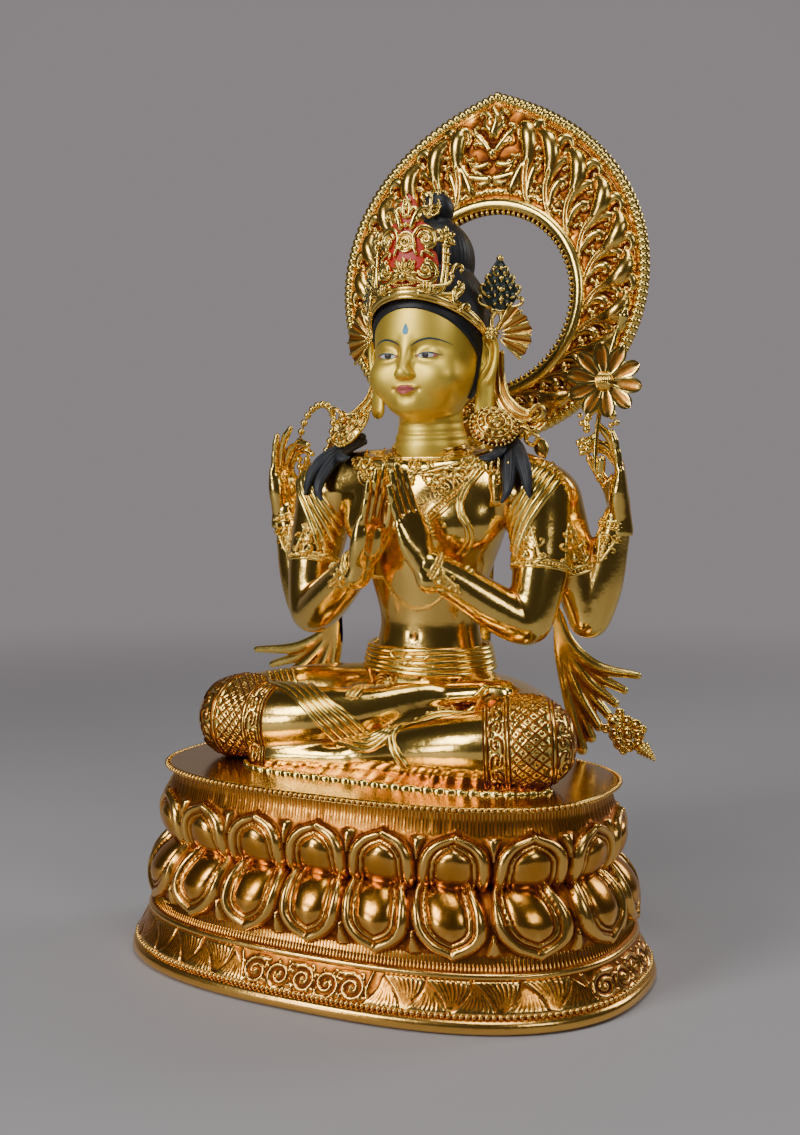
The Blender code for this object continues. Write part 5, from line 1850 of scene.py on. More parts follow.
                path = np.stack([side * line[:, 0], 36.6 + 0.012 * line[:, 0] ** 2, 66 + line[:, 1]], 1)
                kit.form.tube(path, line[:, 2], 7)
            for k in range(4):
                kit.form.tube(spline([(side * (1.2 + 2.2 * k), 38, 66), (side * (1.4 + 2.3 * k), 35.5, 58),
                                      (side * (1.8 + 2.4 * k), 33, 51)], 5), 1.4, 7)
        for k in range(-4, 5):
            for radius in (3.2, 5.6, 8.0):
                angle = np.linspace(0, math.pi, 14)
                u, v = 14.0 * k + radius * np.cos(angle), 58 + radius * np.sin(angle)
                path = self.body.fall(front.points(u, v - 66), (0, 1, 0), 0.15)
                kit.form.tube(path, 0.6, 6)

    def _knee(self, name: str, centre: Sequence[float], axis: Sequence[float], start: float,
              turn: float) -> None:
        """Chased bands around a knee: scrolls, a lattice with dots, scrolls and a striped fan.

        Args:
            name: The piece's name.
            centre: Middle of the knee, inside the leg.
            axis: Direction from the shin out through the knee.
            start: Where the bands begin, in millimetres along the axis from the centre.
            turn: Angle of the middle of the bands from the front, in radians and upwards.
        """
        axis = unit(axis)
        front = unit(np.cross(np.cross(axis, (0, -1, 0)), axis))
        up = np.cross(front, axis)
        up = up if up[2] > 0 else -up
        width, half = 74.0, 54.0
        relief = Relief((0, -half), (width, half), 0.5)
        for u in (2.0, 4.6, 18.0, 20.4, 46.0, 48.4, 60.0, 62.2):
            relief.stroke([(u, -half, 1.0), (u, half, 1.0)], 0.3, 1.2, steps=1)
        for u, count in ((11.3, 9), (54.2, 9)):
            for k in range(count):
                v = -half + 2 * half * (k + 0.5) / count
                way = 1 if k % 2 else -1
                relief.stroke(curl((u - 4.6 * way, v - 5), math.pi / 2, 18, -way * 5.2, 1.2, 0.8), 0.3, 1.1)
                relief.stroke(curl((u + 3.6 * way, v + 4), -math.pi / 2, 11, -way * 4.4, 0.9, 0.8), 0.3,
                              1.1)
                relief.dot(u + 0.4 * way, v, 1.2, 0.4)
                relief.dot(u + 4.2 * way, v - 4.6, 0.8, 0.3)
        for k in range(-9, 26):
            v = -half + 7.6 * k
            relief.stroke([(21.5, v, 0.62), (45, v + 23.5, 0.62)], 0.1, 1.2, steps=1)
            relief.stroke([(21.5, v, 0.62), (45, v - 23.5, 0.62)], 0.1, 1.2, steps=1)
            relief.dot(29.3, v + 3.9 - 0.1, 0.9, 0.3)
            relief.dot(36.9, v + 3.8, 0.9, 0.3)
            relief.dot(25.5, v, 0.8, 0.2)
            relief.dot(33.1, v, 0.8, 0.2)
            relief.dot(40.8, v, 0.8, 0.2)
        for k in range(40):
            v = -half + 2 * half * k / 40
            relief.stroke([(63.5, v, 0.7), (73, v * 0.8, 0.5)], 0.1, 1.1, steps=1)
        rows, columns = 124, 150
        points = np.empty((rows, columns, 3))
        radius = 31.0
        for i, s in enumerate(np.linspace(0, 1, rows)):
            along = start + width * s
            cap = max(along, 0.0) / radius
            shift = min(along, 0.0)
            for j, t in enumerate(np.linspace(-1, 1, columns)):
                angle = turn + t * half / radius
                out = math.cos(angle) * front + math.sin(angle) * up
                way = math.cos(cap) * out + math.sin(cap) * axis
                origin = np.asarray(centre) + axis * shift
                hit = self.legs.tree.ray_cast(Vector(origin), Vector(way), 44)
                edge = min(s, 1 - s, (1 - abs(t)) * 0.9)
                lift = float(relief.read(np.array(width * s), np.array(t * half))) * min(edge / 0.03, 1)
                points[i, j] = origin + way * ((34.0 if hit[0] is None else hit[3]) + 0.25 + lift - 1.6
                                               * max(0.0, 1 - edge / 0.02))
        form = Form()
        facing = np.cross(points[1, 0] - points[0, 0], points[0, 1] - points[0, 0])
        form.grid(points, flip=bool(np.dot(facing, points[0, 0] - np.asarray(centre)) <= 0))
        lifted(form).build(name, self.finish["gilt"], Piece.FIGURE, (0.10, 0.8))

    def _leg_cloth(self, kit: Jeweller) -> None:
        """Ridged bands and edgings across the shins, the lap's drapery and small plaques."""
        over = Facet((0, -60, 50), (0, 0.5, 0.85), (0, -0.72, 0.69))

        def down(x: float, y: float, z: float) -> Tuple[float, float]:
            """A place over the lap as u and v of the facet."""
            out, up = unit(over.out), unit(over.up)
            up = unit(up - out * float(np.dot(up, out)))
            gap = np.array([x, y, z]) - np.asarray(over.origin)
            right = np.cross(up, out)
            return float(np.dot(gap, right)), float(np.dot(gap, up))

        def run(stations: Sequence[Sequence[float]], radius: float, shift: float = 0.0,
                lift: float = 0.4) -> None:
            """A ridge that falls onto the shins."""
            kit.line(over, [(*down(*p), radius) for p in stations], lift, 8, 8, shift)

        for k in range(5):
            run([(-104, 14, 62), (-88, -10, 60), (-62, -24, 56), (-34, -36, 42), (-12, -36, 30),
                 (6, -36, 24), (18, -34, 30), (22, -28, 38)], 2.5 - 0.1 * abs(k - 2), (k - 2) * 4.3)
        for k in range(3):
            run([(-30, 8, 60), (-20, 4, 58), (-13, -4, 50), (-15, -14, 42)], 1.9, (k - 1) * 3.4)
        for shift in (-1.7, 1.7):
            run([(86, 8, 60), (66, -6, 56), (46, -14, 50), (31, -24, 40), (27, -38, 28), (34, -46, 18),
                 (44, -50, 10)], 1.9, shift)
        for k in range(7):
            s = k / 6
            x, y, z = 58 - 22 * s, -4 - 18 * s, 56 - 12 * s
            kit.scroll(over, down(x, y, z), 150, 8, 3.6 if k % 2 else -3.6, 1.0, False)
        lap = Facet((-5, 4, 50), (0, 0.7, 0.7), (0, -0.75, 0.66))
        kit.rosette(lap, 0, 4, 4.2, 8)
        for start, degrees, length, bend, radius in (((4, 2), 10, 16, 4.4, 1.6),
                                                     ((3, -2), -30, 13, -4.4, 1.5),
                                                     ((4, 7), 50, 12, 4.2, 1.3),
                                                     ((10, 1), 0, 12, -4.0, 1.3)):
            kit.scroll(lap, start, degrees, length, bend, radius)

    def _hem(self) -> None:
        """The scalloped hem that spreads on the plate in front of the legs."""
        path = spline([(-106, -34), (-84, -48), (-50, -53), (0, -54), (48, -55), (92, -49), (122, -40),
                       (146, -22)], 60)
        along = unit(np.gradient(path, axis=0))
        out = np.stack([along[:, 1], -along[:, 0]], 1)
        walk = np.concatenate([[0], np.cumsum(np.hypot(*np.diff(path, axis=0).T))])
        t = np.linspace(0, 1, 22)[None, :]
        scallop = np.abs(np.sin(math.pi * walk / 8.5))[:, None]
        fold = np.sin(2 * math.pi * walk / 13.0 + 1.4 * np.sin(walk / 30))[:, None]
        ends = np.clip(np.minimum(walk, walk[-1] - walk) / 12, 0, 1)[:, None]
        reach = (-16 + (25.0 + 1.4 * scallop) * t) * (0.55 + 0.45 * ends)
        height = 8.0 * (1 - t) ** 1.5 + 1.4 + 0.45 * fold * np.clip(t * 3, 0, 1)
        veins = np.abs(np.sin(math.pi * walk / 2.8))[:, None]
        height = height + np.exp(-((t - 0.92) / 0.06) ** 2) * (0.5 + 0.9
                * scallop) + 0.35 * veins * (t > 0.80)
        height = np.maximum(height, 0.7)
        points = np.stack([path[:, :1] + out[:, :1] * reach, path[:, 1:] + out[:, 1:] * reach, height], -1)
        tuck = points[:, -1:].copy()
        tuck[..., 2] = -0.2
        form = Form()
        form.grid(np.concatenate([points, tuck], 1))
        lifted(form).build("hem", self.finish["gilt"], Piece.FIGURE, (0.2, 1.8))

    def make(self) -> None:
        """Builds all dress and jewellery."""
        kit = Jeweller(self.body)
        self._necklace(kit)
        self._straps(kit)
        self._belt(kit)
        lifted(kit.form).build("torso_jewellery", self.finish["gilt"], Piece.FIGURE, (0.14, 1.0))
        kit = Jeweller(self.body)
        self._arms(kit)
        lifted(kit.form).build("arm_jewellery", self.finish["gilt"], Piece.FIGURE, (0.14, 1.0))
        kit = Jeweller(self.legs)
        self._leg_cloth(kit)
        lifted(kit.form).build("leg_cloth", self.finish["gilt"], Piece.FIGURE, (0.2, 1.4))
        self._knee("knee_right", (-112, -16, 32), (-1, 0.1, 0), -34, 0.15)
        self._knee("knee_left", (118, -15, 31), (1, 0.40, 0.05), -27, 0.15)
        self._hem()


class Figure:
    """The seated figure, its dress, jewellery and what it holds."""

    def __init__(self, finishes: Dict[str, bpy.types.Material]) -> None:
        self.finish = finishes

    def _body(self) -> Skin:
        """Torso and all four arms.

        Returns:
            The skin that dress and jewellery lie on.
        """
        clay = Clay((-175, -12, -6), (175, 138, 262), 1.6)
        clay.stack(TORSO, 4)
        for side in SIDES:
            clay.stroke(mirrored(SHOULDER, side), 10, steps=10)
            clay.stroke(mirrored(FRONT_ARM, side), 9, steps=8)
            clay.stroke(mirrored(BACK_ARM, side), 9, steps=8)
            clay.ball((side * 32, 60, 192), (34, 22, 26), 14)
            clay.ball((side * 31, 45.5, 190), (3.0, 2.6, 3.0), 1.5)
            clay.stroke(mirrored([(8, 52, 236, 4), (40, 56, 240, 4.5), (78, 68, 236, 5)], side), 9)
        clay.ball((0, 47.5, 98), (1.9, 3.4, 2.4), 3, cut=True)
        clay.soften(2)
        form = clay.skin()
        skin = Skin(form)
        body = lifted(form).build("body", self.finish["polish"], Piece.FIGURE, (0.3, 3.2))
        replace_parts(body, "figure")
        return skin

    def _legs(self) -> Skin:
        """Crossed legs with feet and lap.

        Returns:
            The skin that the leg's dress lies on.
        """
        clay = Clay((-176, -66, -3), (180, 124, 112), 1.35)
        for side in SIDES:
            clay.stroke(mirrored(THIGH, side), 6, steps=12)
        clay.stroke(LOWER_SHIN, 8, steps=12)
        clay.stroke(LOWER_FOOT, 5, steps=6)
        clay.stroke(UPPER_SHIN, 7, steps=12)
        clay.stroke(UPPER_FOOT, 6, flat=0.62, face=(0.1, -0.5, 1))
        clay.ball((0, 22, 30), (84, 44, 33), 8)
        for k, (x, r) in enumerate(((101, 4.6), (100, 3.9), (98.5, 3.7), (96.5, 3.4), (94, 3.2))):
            y, z = 1 + 4.6 * k, 66 + 3.2 * k - 0.6 * k * k
            clay.stroke([(x - 18, y + 2, z, r), (x - 6, y + 1, z + 1, r), (x + 1, y, z, r * 1.1)], 1.0)
        for k in range(5):
            clay.stroke([(-84, -46 + 3.4 * k, 5 + 1.5 * k, 3.2), (-97, -45 + 3.4 * k, 6 + 1.5 * k,
                    3.4 - 0.2 * k)], 1.0)
        clay.soften(2)
        form = self._flat_foot(clay, 0.3).skin()
        skin = Skin(form)
        lifted(form).build("legs", self.finish["polish"], Piece.FIGURE, (0.25, 2.8))
        return skin

    @staticmethod
    def _flat_foot(clay: Clay, level: float) -> Clay:
        """Cuts the clay off below a level."""
        clay.field = np.maximum(clay.field, (level - clay.axes[2])[None, None, :])
        return clay

    def _hands(self) -> None:
        """The four hands."""
        for name, hand in HANDS.items():
            lifted(hand.model().skin()).build(name, self.finish["polish"], Piece.FIGURE, (0.2, 1.6))

    def _head(self) -> None:
        """Face, ears and creased neck in matte gold paint, with painted features."""
        clay = Clay((-62, 14, 222), (62, 130, 402), 0.95)
        clay.stack(HEAD, 6)
        clay.stroke([(0, 81, 230, 20), (0, 81, 243, 27), (0, 81, 251, 31), (0, 80, 258, 28.6),
                     (0, 80, 274, 26.5), (0, 80, 292, 25)], 6, steps=8)

        def low(stations: Sequence[Sequence[float]], side: int = 1) -> Array:
            """Stations on one side with their heights set by the face's proportions."""
            out = mirrored(stations, side)
            out[:, 2] = face_height(out[:, 2])
            return out

        def spot(x: float, y: float, z: float) -> Tuple[float, float, float]:
            """A place with its height set by the face's proportions."""
            return x, y, float(face_height(z))

        clay.ball(spot(0, 44, 272), (11, 8.5, 8), 9)
        for side in SIDES:
            clay.ball(spot(side * 22, 47.5, 297), (17, 14.5, 14), 12)
            clay.ball(spot(side * 17, 32.6, 321), (11.5, 3.2, 6.2), 6, cut=True)
            clay.ball(spot(side * 17.2, 42.9, 318.5), (10.6, 9.0, 6.8), 2.5)
            clay.emboss(low([(7.5, 35.0, 317.4), (13, 32.6, 319.6), (20, 33.4, 320.0), (28, 39, 317.6)],
                            side), 0.9, 0.5)
            clay.emboss(low([(8, 34.4, 321.5), (14, 32, 325.4), (21, 33.4, 325.6), (29, 39.6, 321)], side),
                        1.1, -0.7)
            clay.emboss(low([(5, 31.5, 327), (13, 31, 332), (22, 33.2, 333), (33, 39.6, 328.6)], side), 3.2,
                        0.6)
            clay.ball(spot(side * 4.6, 29.4, 298.6), (3.3, 4.2, 2.7), 2.2)
            clay.ball(spot(side * 2.7, 26.6, 295.0), (1.2, 1.5, 0.9), 0.8, cut=True)
            clay.ball(spot(side * 11.0, 33.4, 285.6), (1.6, 1.5, 1.4), 1.6, cut=True)
        clay.stroke(low([(0, 37.0, 332, 4.0), (0, 33.2, 319, 3.9), (0, 29.6, 309, 4.2),
                         (0, 27.0, 301.5, 4.6)]), 6.5, steps=8)
        clay.stroke(low([(-8.6, 32.8, 285.8, 0.7), (-4.4, 30.6, 287.0, 1.5), (-1.5, 29.9, 287.7, 1.7),
                         (0, 30.1, 287.3, 1.5), (1.5, 29.9, 287.7, 1.7), (4.4, 30.6, 287.0, 1.5),
                         (8.6, 32.8, 285.8, 0.7)]), 1.4, steps=6)
        clay.stroke(low([(-7.0, 32.4, 283.8, 0.8), (-3.4, 30.5, 282.3, 1.9), (0, 29.9, 281.9, 2.2),
                         (3.4, 30.5, 282.3, 1.9), (7.0, 32.4, 283.8, 0.8)]), 1.4, steps=6)
        clay.emboss(low([(-9.6, 32.6, 285.6), (-4.6, 29.4, 285.0), (0, 28.6, 284.6), (4.6, 29.4, 285.0),
                         (9.6, 32.6, 285.6)]), 0.7, -0.45)
        clay.emboss(low([(0, 30.4, 294.5), (0, 29.6, 290)]), 1.3, -0.5)
        clay.emboss(low([(-5, 32.4, 276), (0, 31.6, 275.4), (5, 32.4, 276)]), 2.0, -0.8)
        for z, out in ((257.0, 30.2), (263.5, 28.6), (270.5, 27.6)):
            turn = np.linspace(0.9 * math.pi, 2.1 * math.pi, 13)
            clay.emboss([(out * math.cos(a), 80.5 + out * math.sin(a), z + 1.8 + 1.8 * math.sin(a))
                         for a in turn], 1.1, -1.5)
        for side in SIDES:
            self._ear(clay, side)
        clay.soften(1)
        skin = clay.skin()
        tree = skin.tree()
        lifted(skin).build("head", self.finish["face"], Piece.FIGURE, (0.25, 3.0))
        self._painted_face(tree)

    @staticmethod
    def _ear(clay: Clay, side: int) -> None:
        """A long pierced ear."""
        clay.stroke(mirrored(EAR, side), 2, flat=0.42, face=(side * 0.45, -1, 0), steps=8)
        clay.ball((side * 50.5, 78, 326), (3.8, 3.4, 8.5), 1.5, cut=True)
        rim = [(45.0, 80, 324, 1.8), (44.6, 79, 334, 2.2), (47.6, 78.6, 342, 2.5), (53.6, 80, 342, 2.6),
               (57.2, 82, 334, 2.4), (57.0, 82, 322, 2.2), (54.6, 80, 311, 2.2), (51.5, 78, 305, 2.0)]
        clay.stroke(mirrored(rim, side), 1.2, steps=6)
        fold = [(50.0, 78, 336, 1.3), (53.2, 79, 330, 1.5), (52.6, 78.4, 320, 1.6), (49.2, 77, 313, 1.8),
                (46.6, 77, 309, 1.8)]
        clay.stroke(mirrored(fold, side), 1.0, steps=6)
        for x, z, length in ((47.6, 298, 13), (50.6, 296, 14)):
            clay.emboss(mirrored([(x, 76.4, z), (x - 0.3, 75.4, z - length)], side), 0.9, -1.1)

    def _painted_face(self, tree: BVHTree) -> None:
        """Brows, eyes, lips and the mark between the brows, laid on the skin."""
        layers = {name: Form() for name in ("brow", "white", "iris", "lip", "blue", "corner")}

        def lay(name: str, uv: Array, lift: float) -> None:
            """Lays one painted patch on the skin."""
            places = np.stack([uv[..., 0], np.full(uv.shape[:2], -30.0), face_height(uv[..., 1])], -1)
            sheet = drape(tree, places, lift)
            facing = np.cross(sheet[1, 0] - sheet[0, 0], sheet[0, 1] - sheet[0, 0])
            layers[name].grid(sheet, flip=bool(facing[1] <= 0))

        def lens(x0: float, x1: float, top: Sequence[float], low: Sequence[float], rows: int = 9) -> Array:
            """A patch between an upper and a lower edge."""
            x = np.linspace(x0, x1, 31)
            knots = np.linspace(x0, x1, len(top))
            if x1 < x0:
                upper = np.interp(-x, -knots, top)
                lower = np.interp(-x, -knots, low)
            else:
                upper, lower = np.interp(x, knots, top), np.interp(x, knots, low)
            kernel = np.array([1, 2, 3, 2, 1]) / 9
            upper[2:-2] = np.convolve(upper, kernel, "valid")
            lower[2:-2] = np.convolve(lower, kernel, "valid")
            t = np.linspace(0, 1, rows)[:, None]
            return np.stack([x + 0 * t, lower + (upper - lower) * t], -1)

        for side in SIDES:
            s = float(side)
            lay("white", lens(s * 7.6, s * 26.5, [316.6, 318.7, 319.5, 319.2, 317.2],
                              [316.6, 315.5, 314.9, 315.6, 317.2]), 0.22)
            lay("corner", lens(s * 7.5, s * 10.6, [316.6, 317.6, 317.9], [316.6, 316.2, 316.0], 5), 0.34)
            lay("corner", lens(s * 23.2, s * 26.6, [318.4, 318.0, 317.2], [316.1, 316.5, 317.2], 5), 0.34)
            angle = np.linspace(0, 2 * math.pi, 25)[None, :]
            reach = np.linspace(0.05, 1, 5)[:, None]
            u = s * 16.6 + 2.9 * reach * np.cos(angle)
            v = np.minimum(317.6 + 2.9 * reach * np.sin(angle), 319.4)
            lay("iris", np.stack([u, np.maximum(v, 315.1)], -1), 0.36)
            upper, _ = ribbon([(s * 6.8, 316.4, 0.15), (s * 11, 318.5, 0.5), (s * 17, 319.8, 0.62),
                               (s * 23, 319.0, 0.55), (s * 29.5, 316.8, 0.12)])
            lay("brow", upper, 0.44)
            lower, _ = ribbon([(s * 9, 315.9, 0.1), (s * 17, 314.7, 0.25), (s * 25.5, 316.4, 0.1)])
            lay("brow", lower, 0.40)
            brow, _ = ribbon([(s * 5.2, 326.6, 0.25), (s * 11, 330.9, 0.75), (s * 19, 333.2, 0.85),
                              (s * 27, 331.6, 0.6), (s * 34.5, 327.4, 0.12)])
            lay("brow", brow, 0.25)
        lay("lip", lens(-8.8, 8.8, [285.8, 287.0, 288.4, 289.4, 288.7, 289.4, 288.4, 287.0, 285.8],
                        [285.6, 285.4, 285.2, 285.0, 284.8, 285.0, 285.2, 285.4, 285.6], 7), 0.22)
        lay("lip", lens(-8.0, 8.0, [285.4, 285.2, 285.0, 284.7, 284.5, 284.7, 285.0, 285.2, 285.4],
                        [285.0, 283.2, 281.8, 280.8, 280.4, 280.8, 281.8, 283.2, 285.0], 7), 0.22)
        seam, _ = ribbon([(-9.6, 285.9, 0.08), (-4.5, 285.2, 0.2), (0, 284.7, 0.16), (4.5, 285.2, 0.2),
                          (9.6, 285.9, 0.08)])
        lay("brow", seam, 0.3)
        t = np.linspace(0.001, 1, 15)[:, None]
        w = np.linspace(-1, 1, 7)[None, :]
        wide = 2.5 * np.sin(math.pi * t ** 0.62) ** 0.8
        lay("blue", np.stack([w * wide, 337.0 + 11.0 * t + 0 * w], -1), 0.35)
        for name, form in layers.items():
            lifted(form).build("painted_" + name, self.finish[name], Piece.FIGURE, (0.3, 2.0))

    def _hair(self) -> None:
        """Hair close to the head, tied in a topknot with a smaller knot above it."""
        clay = Clay((-60, 24, 258), (60, 144, 470), 1.15)
        clay.stack([(z, cy + 1.0, rx + 2.2, ry + 2.2, sq) for z, cy, rx, ry, sq in HEAD[2:]], 3)
        y, z = clay.axes[1][None, :, None], clay.axes[2][None, None, :]
        brow = np.maximum(z - (362.5 - np.clip(y - 34, 0, 99) * 0.92), y - 75)
        clay.field = np.maximum(clay.field, -brow.astype(np.float32))
        nape = (278 - (y - 100) * 0.15) - z
        clay.field = np.maximum(clay.field, nape.astype(np.float32))
        clay.ball((0, 92, 405), (31, 31, 35), 4)
        clay.ball((0, 92, 448), (13.5, 13.5, 14.5), 1.5)
        clay.stroke([(0, 92, 436, 13), (0, 92, 437, 13)], 1.0, flat=0.35, face=(0, 0, 1))
        x = clay.axes[0][:, None, None]
        angle = np.arctan2(y - 92, x)
        strand = 0.22 * np.cos(46 * angle) * np.clip((z - 372) / 12, 0, 1)
        clay.field = clay.field + strand.astype(np.float32)
        lifted(clay.skin()).build("hair", self.finish["hair"], Piece.FIGURE, (0.3, 2.4))
        tip = Form()
        for k in range(6):
            turn = math.pi * k / 3
            way = np.array([math.cos(turn), math.sin(turn), 0])
            base = np.array([0, 92.0, 458])
            tip.tube(spline([base + way * 6, base + way * 7.5 + (0, 0, 3), base + way * 3 + (0, 0, 6)], 5),
                     np.linspace(2.6, 0.8, 11), 8)
        tip.bead((0, 92, 461), 4.0, 12, squash=1.1)
        for k in range(3):
            s = k / 2
            for side in SIDES:
                tip.tube(spline([(side * 1.5, 79 - s, 441 + 7 * s), (side * 6, 79.5, 443 + 7 * s),
                                 (side * (8 - 2 * s), 80.5, 449 + 5 * s)], 5), np.linspace(1.6, 0.9, 11), 7)
        tip.bead((0, 78, 446), 3.2, 10, squash=0.9)
        tip.tube(spline([(0, 78.5, 449), (0, 79, 456), (0, 82, 461)], 6), np.linspace(2.4, 0.8, 13), 8)
        lifted(tip).build("topknot_jewel", self.finish["gilt"], Piece.FIGURE, (0.2, 1.2))

    def _locks(self) -> None:
        """Black locks that fall on both shoulders from under the earrings."""
        form = Form()
        for side in SIDES:
            for stations in ([(66, 82, 262, 5), (74, 70, 251, 6.2), (80, 55, 240, 6.6), (84, 45, 228, 5.6),
                              (85, 40, 218, 4.2), (81, 38, 209, 1.4)],
                             [(68, 82, 262, 5), (80, 70, 252, 6.0), (90, 56, 242, 6.2), (96, 50, 232, 5.2),
                              (99, 47, 222, 3.8), (101, 46, 213, 1.3)],
                             [(64, 80, 258, 5), (70, 62, 251, 5.8), (70, 51, 246, 5.4),
                              (65, 47, 243.5, 4.2), (59, 46, 244, 1.4)]):
                path = spline(mirrored(stations, side), 8)
                form.tube(path[:, :3], path[:, 3], 16, face=(0, -0.7, 0.7), flat=0.62)
                for shift in (-0.34, 0.34):
                    across = unit(np.cross(np.gradient(path[:, :3], axis=0), (0, -0.7, 0.7)))
                    strand = path[:, :3] + across * (path[:, 3:] * shift) + np.array((0, -0.4,
                            0.4)) * path[:, 3:] * 0.6
                    form.tube(strand[3:-3], path[3:-3, 3] * 0.34, 9)
        lifted(form).build("shoulder_locks", self.finish["hair"], Piece.FIGURE)

    def _earrings(self) -> None:
        """Domed ear discs with petal rings, and the curled ribbons that fall beside them."""
        form = Form()
        for side in SIDES:
            centre = np.array([side * 64.5, 61.0, 269.0])
            out = unit((side * 0.46, -0.66, 0.60))
            across = unit(np.cross(out, (0, 0, 1)))
            up = np.cross(across, out)

            def spot(radius: float, angle: float, height: float) -> Array:
                """A place on the disc."""
                return centre + out * height + radius * (across * math.cos(angle) + up * math.sin(angle))

            profile = [(0, 10.5), (2.2, 10.2), (3.4, 8.6), (4.4, 7.0), (7.6, 7.2), (8.4, 6.2), (8.8, 4.6),
                       (13.2, 4.2), (14.0, 3.2), (14.4, 1.6), (18.4, 0.2), (19.4, -1.0), (18.6, -2.4),
                       (8, -3), (0, -3)]
            turns = np.linspace(0, 2 * math.pi, 73)[:-1]
            form.grid(np.array([[spot(radius, angle, height) for angle in turns] for radius,
                                height in profile[1:-1]]), closed_v=True, flip=side > 0)
            for radius, count, size, height in ((4.9, 7, 1.5, 7.6), (10.9, 12, 2.0, 4.4),
                                                (16.2, 18, 1.9, 1.0), (19.2, 34, 1.2, -0.6)):
                for k in range(count):
                    angle = 2 * math.pi * (k + 0.5) / count
                    if radius in (10.9, 16.2):
                        ray = [spot(radius + d * 1.9, angle, height - 0.10 * d) for d in (-1, 0, 1)]
                        form.tube(spline(ray, 3), np.array([0.5, 0.9, 1.15, 1.25, 1.2, 1.0, 0.6]) * size
                                  / 1.25, 7)
                    else:
                        form.bead(spot(radius, angle, height), size, 8)
            form.bead(spot(0, 0, 10.4), 2.5, 12, out)
            for radius, height in ((8.2, 6.6), (13.8, 3.9)):
                form.tube([spot(radius, angle, height) for angle in turns], 0.65, 7, closed=True)
            self._ribbons(form, side)
        lifted(form).build("earrings", self.finish["gilt"], Piece.FIGURE, (0.14, 1.0))

    @staticmethod
    def _ribbons(form: Form, side: int) -> None:
        """A doubled ribbon beside one ear, its curled folds and its leaf."""
        def strip(stations: Sequence[Sequence[float]], rim: float = 1.2) -> None:
            """One flat ribbon with raised edges."""
            path = spline(mirrored(stations, side), 8)
            width = path[:, 3:]
            along = unit(np.gradient(path[:, :3], axis=0))
            across = unit(np.cross(along, np.array((side * 0.15, -0.95, 0.25))))
            face = unit(np.cross(across, along))
            face = np.where(face[:, 1:2] < 0, face, -face)
            rows = [path[:, :3] + across * width * w + face * h for w, h in ((-1, 0.0), (-0.85, 0.7),
                    (-0.4, -0.3), (0, 0.2), (0.4, -0.3), (0.85, 0.7), (1, 0.0), (0.9, -1.8), (0, -1.6),
                    (-0.9, -1.8))]
            form.grid(np.array(rows), closed_u=True, flip=side > 0)
            for w in (-0.92, 0.0, 0.92):
                form.tube(path[:, :3] + across * width * w + face * 0.4, rim if w else 0.9 * rim, 7)

        strip([(57, 88, 330, 3.6), (56, 90, 312, 4.6), (60, 88, 294, 5.8), (70, 86, 282, 6.4),
               (82, 87, 277, 4.6), (90, 88, 281, 3.0)])
        strip([(66, 89, 286, 4.0), (78, 90, 272, 4.6), (88, 90, 268, 4.2), (96, 90, 274, 3.2)])
        for points in ([(86, 85, 277), (89, 84, 283), (94, 85, 286), (97, 86, 282), (96, 87, 277),
                        (92, 87, 274)], [(72, 82, 270), (80, 79, 272), (86, 80, 267), (80, 80, 261),
                                         (77, 80, 264), (81, 79, 268), (90, 80, 264), (94, 82, 259),
                                         (89, 83, 254), (84, 82, 257), (86, 80, 262), (93, 82, 266)]):
            path = spline(mirrored(points, side), 8)
            form.tube(path, 1.7, 9, face=(0, -1, 0.2), flat=1.9)
            form.tube(path + np.array((0, -3.0, 0.6)), 0.9, 7)
        leaf = spline([(0, 1.6), (5, 5.4), (12, 5.8), (18, 1.0)], 7)
        root = np.array((side * 92, 84, 260.0))
        way = unit((side * 0.42, 0.06, -1))
        wide = unit(np.cross(way, (0, -1, 0.1)))
        rows = []
        for along, half in leaf:
            middle = root + way * along
            rows.append([middle + wide * half * w + np.array((0, -1, 0.1)) * h for w,
                         h in ((-1, 0), (-0.8, 1.0), (-0.3, 0.5), (0, 1.4), (0.3, 0.5), (0.8, 1.0), (1, 0),
                               (0, -1.2))])
        form.grid(np.array(rows), closed_v=True, flip=side < 0)

    def _scarf(self) -> None:
        """The pleated ends of the scarf that hang behind the arms."""
        for side in SIDES:
            low, high = np.sort([[side * 100, 90, -8], [side * 202, 122, 132]], 0)
            clay = Clay(low, high, 1.2)
            reach = 0 if side > 0 else 22
            ends = ((123, 5), (130, 15), (137, 25), (144, 35), (151, 45), (158, 56), (170, 69))
            for k, (x, z) in enumerate(ends):
                s = k / 6
                clay.stroke(mirrored([(101 + 3 * s, 104, 118, 3.4), (104 + 10 * s, 107, 84 + 9 * s, 4.4),
                                      (113 + (23 + reach / 2) * s, 110 + 2 * (k % 2), 40 + 34 * s, 5.2),
                                      (x + reach * s, 111 + 2 * (k % 2), z, 5.0 - 2.0 * s)], side), 1.0,
                            0.8, (0, 1, 0.2), 6)
            self._tassel(side, reach)
            lifted(clay.skin()).build("scarf_left" if side > 0 else "scarf_right", self.finish["gilt"],
                                      Piece.FIGURE, (0.2, 1.8))

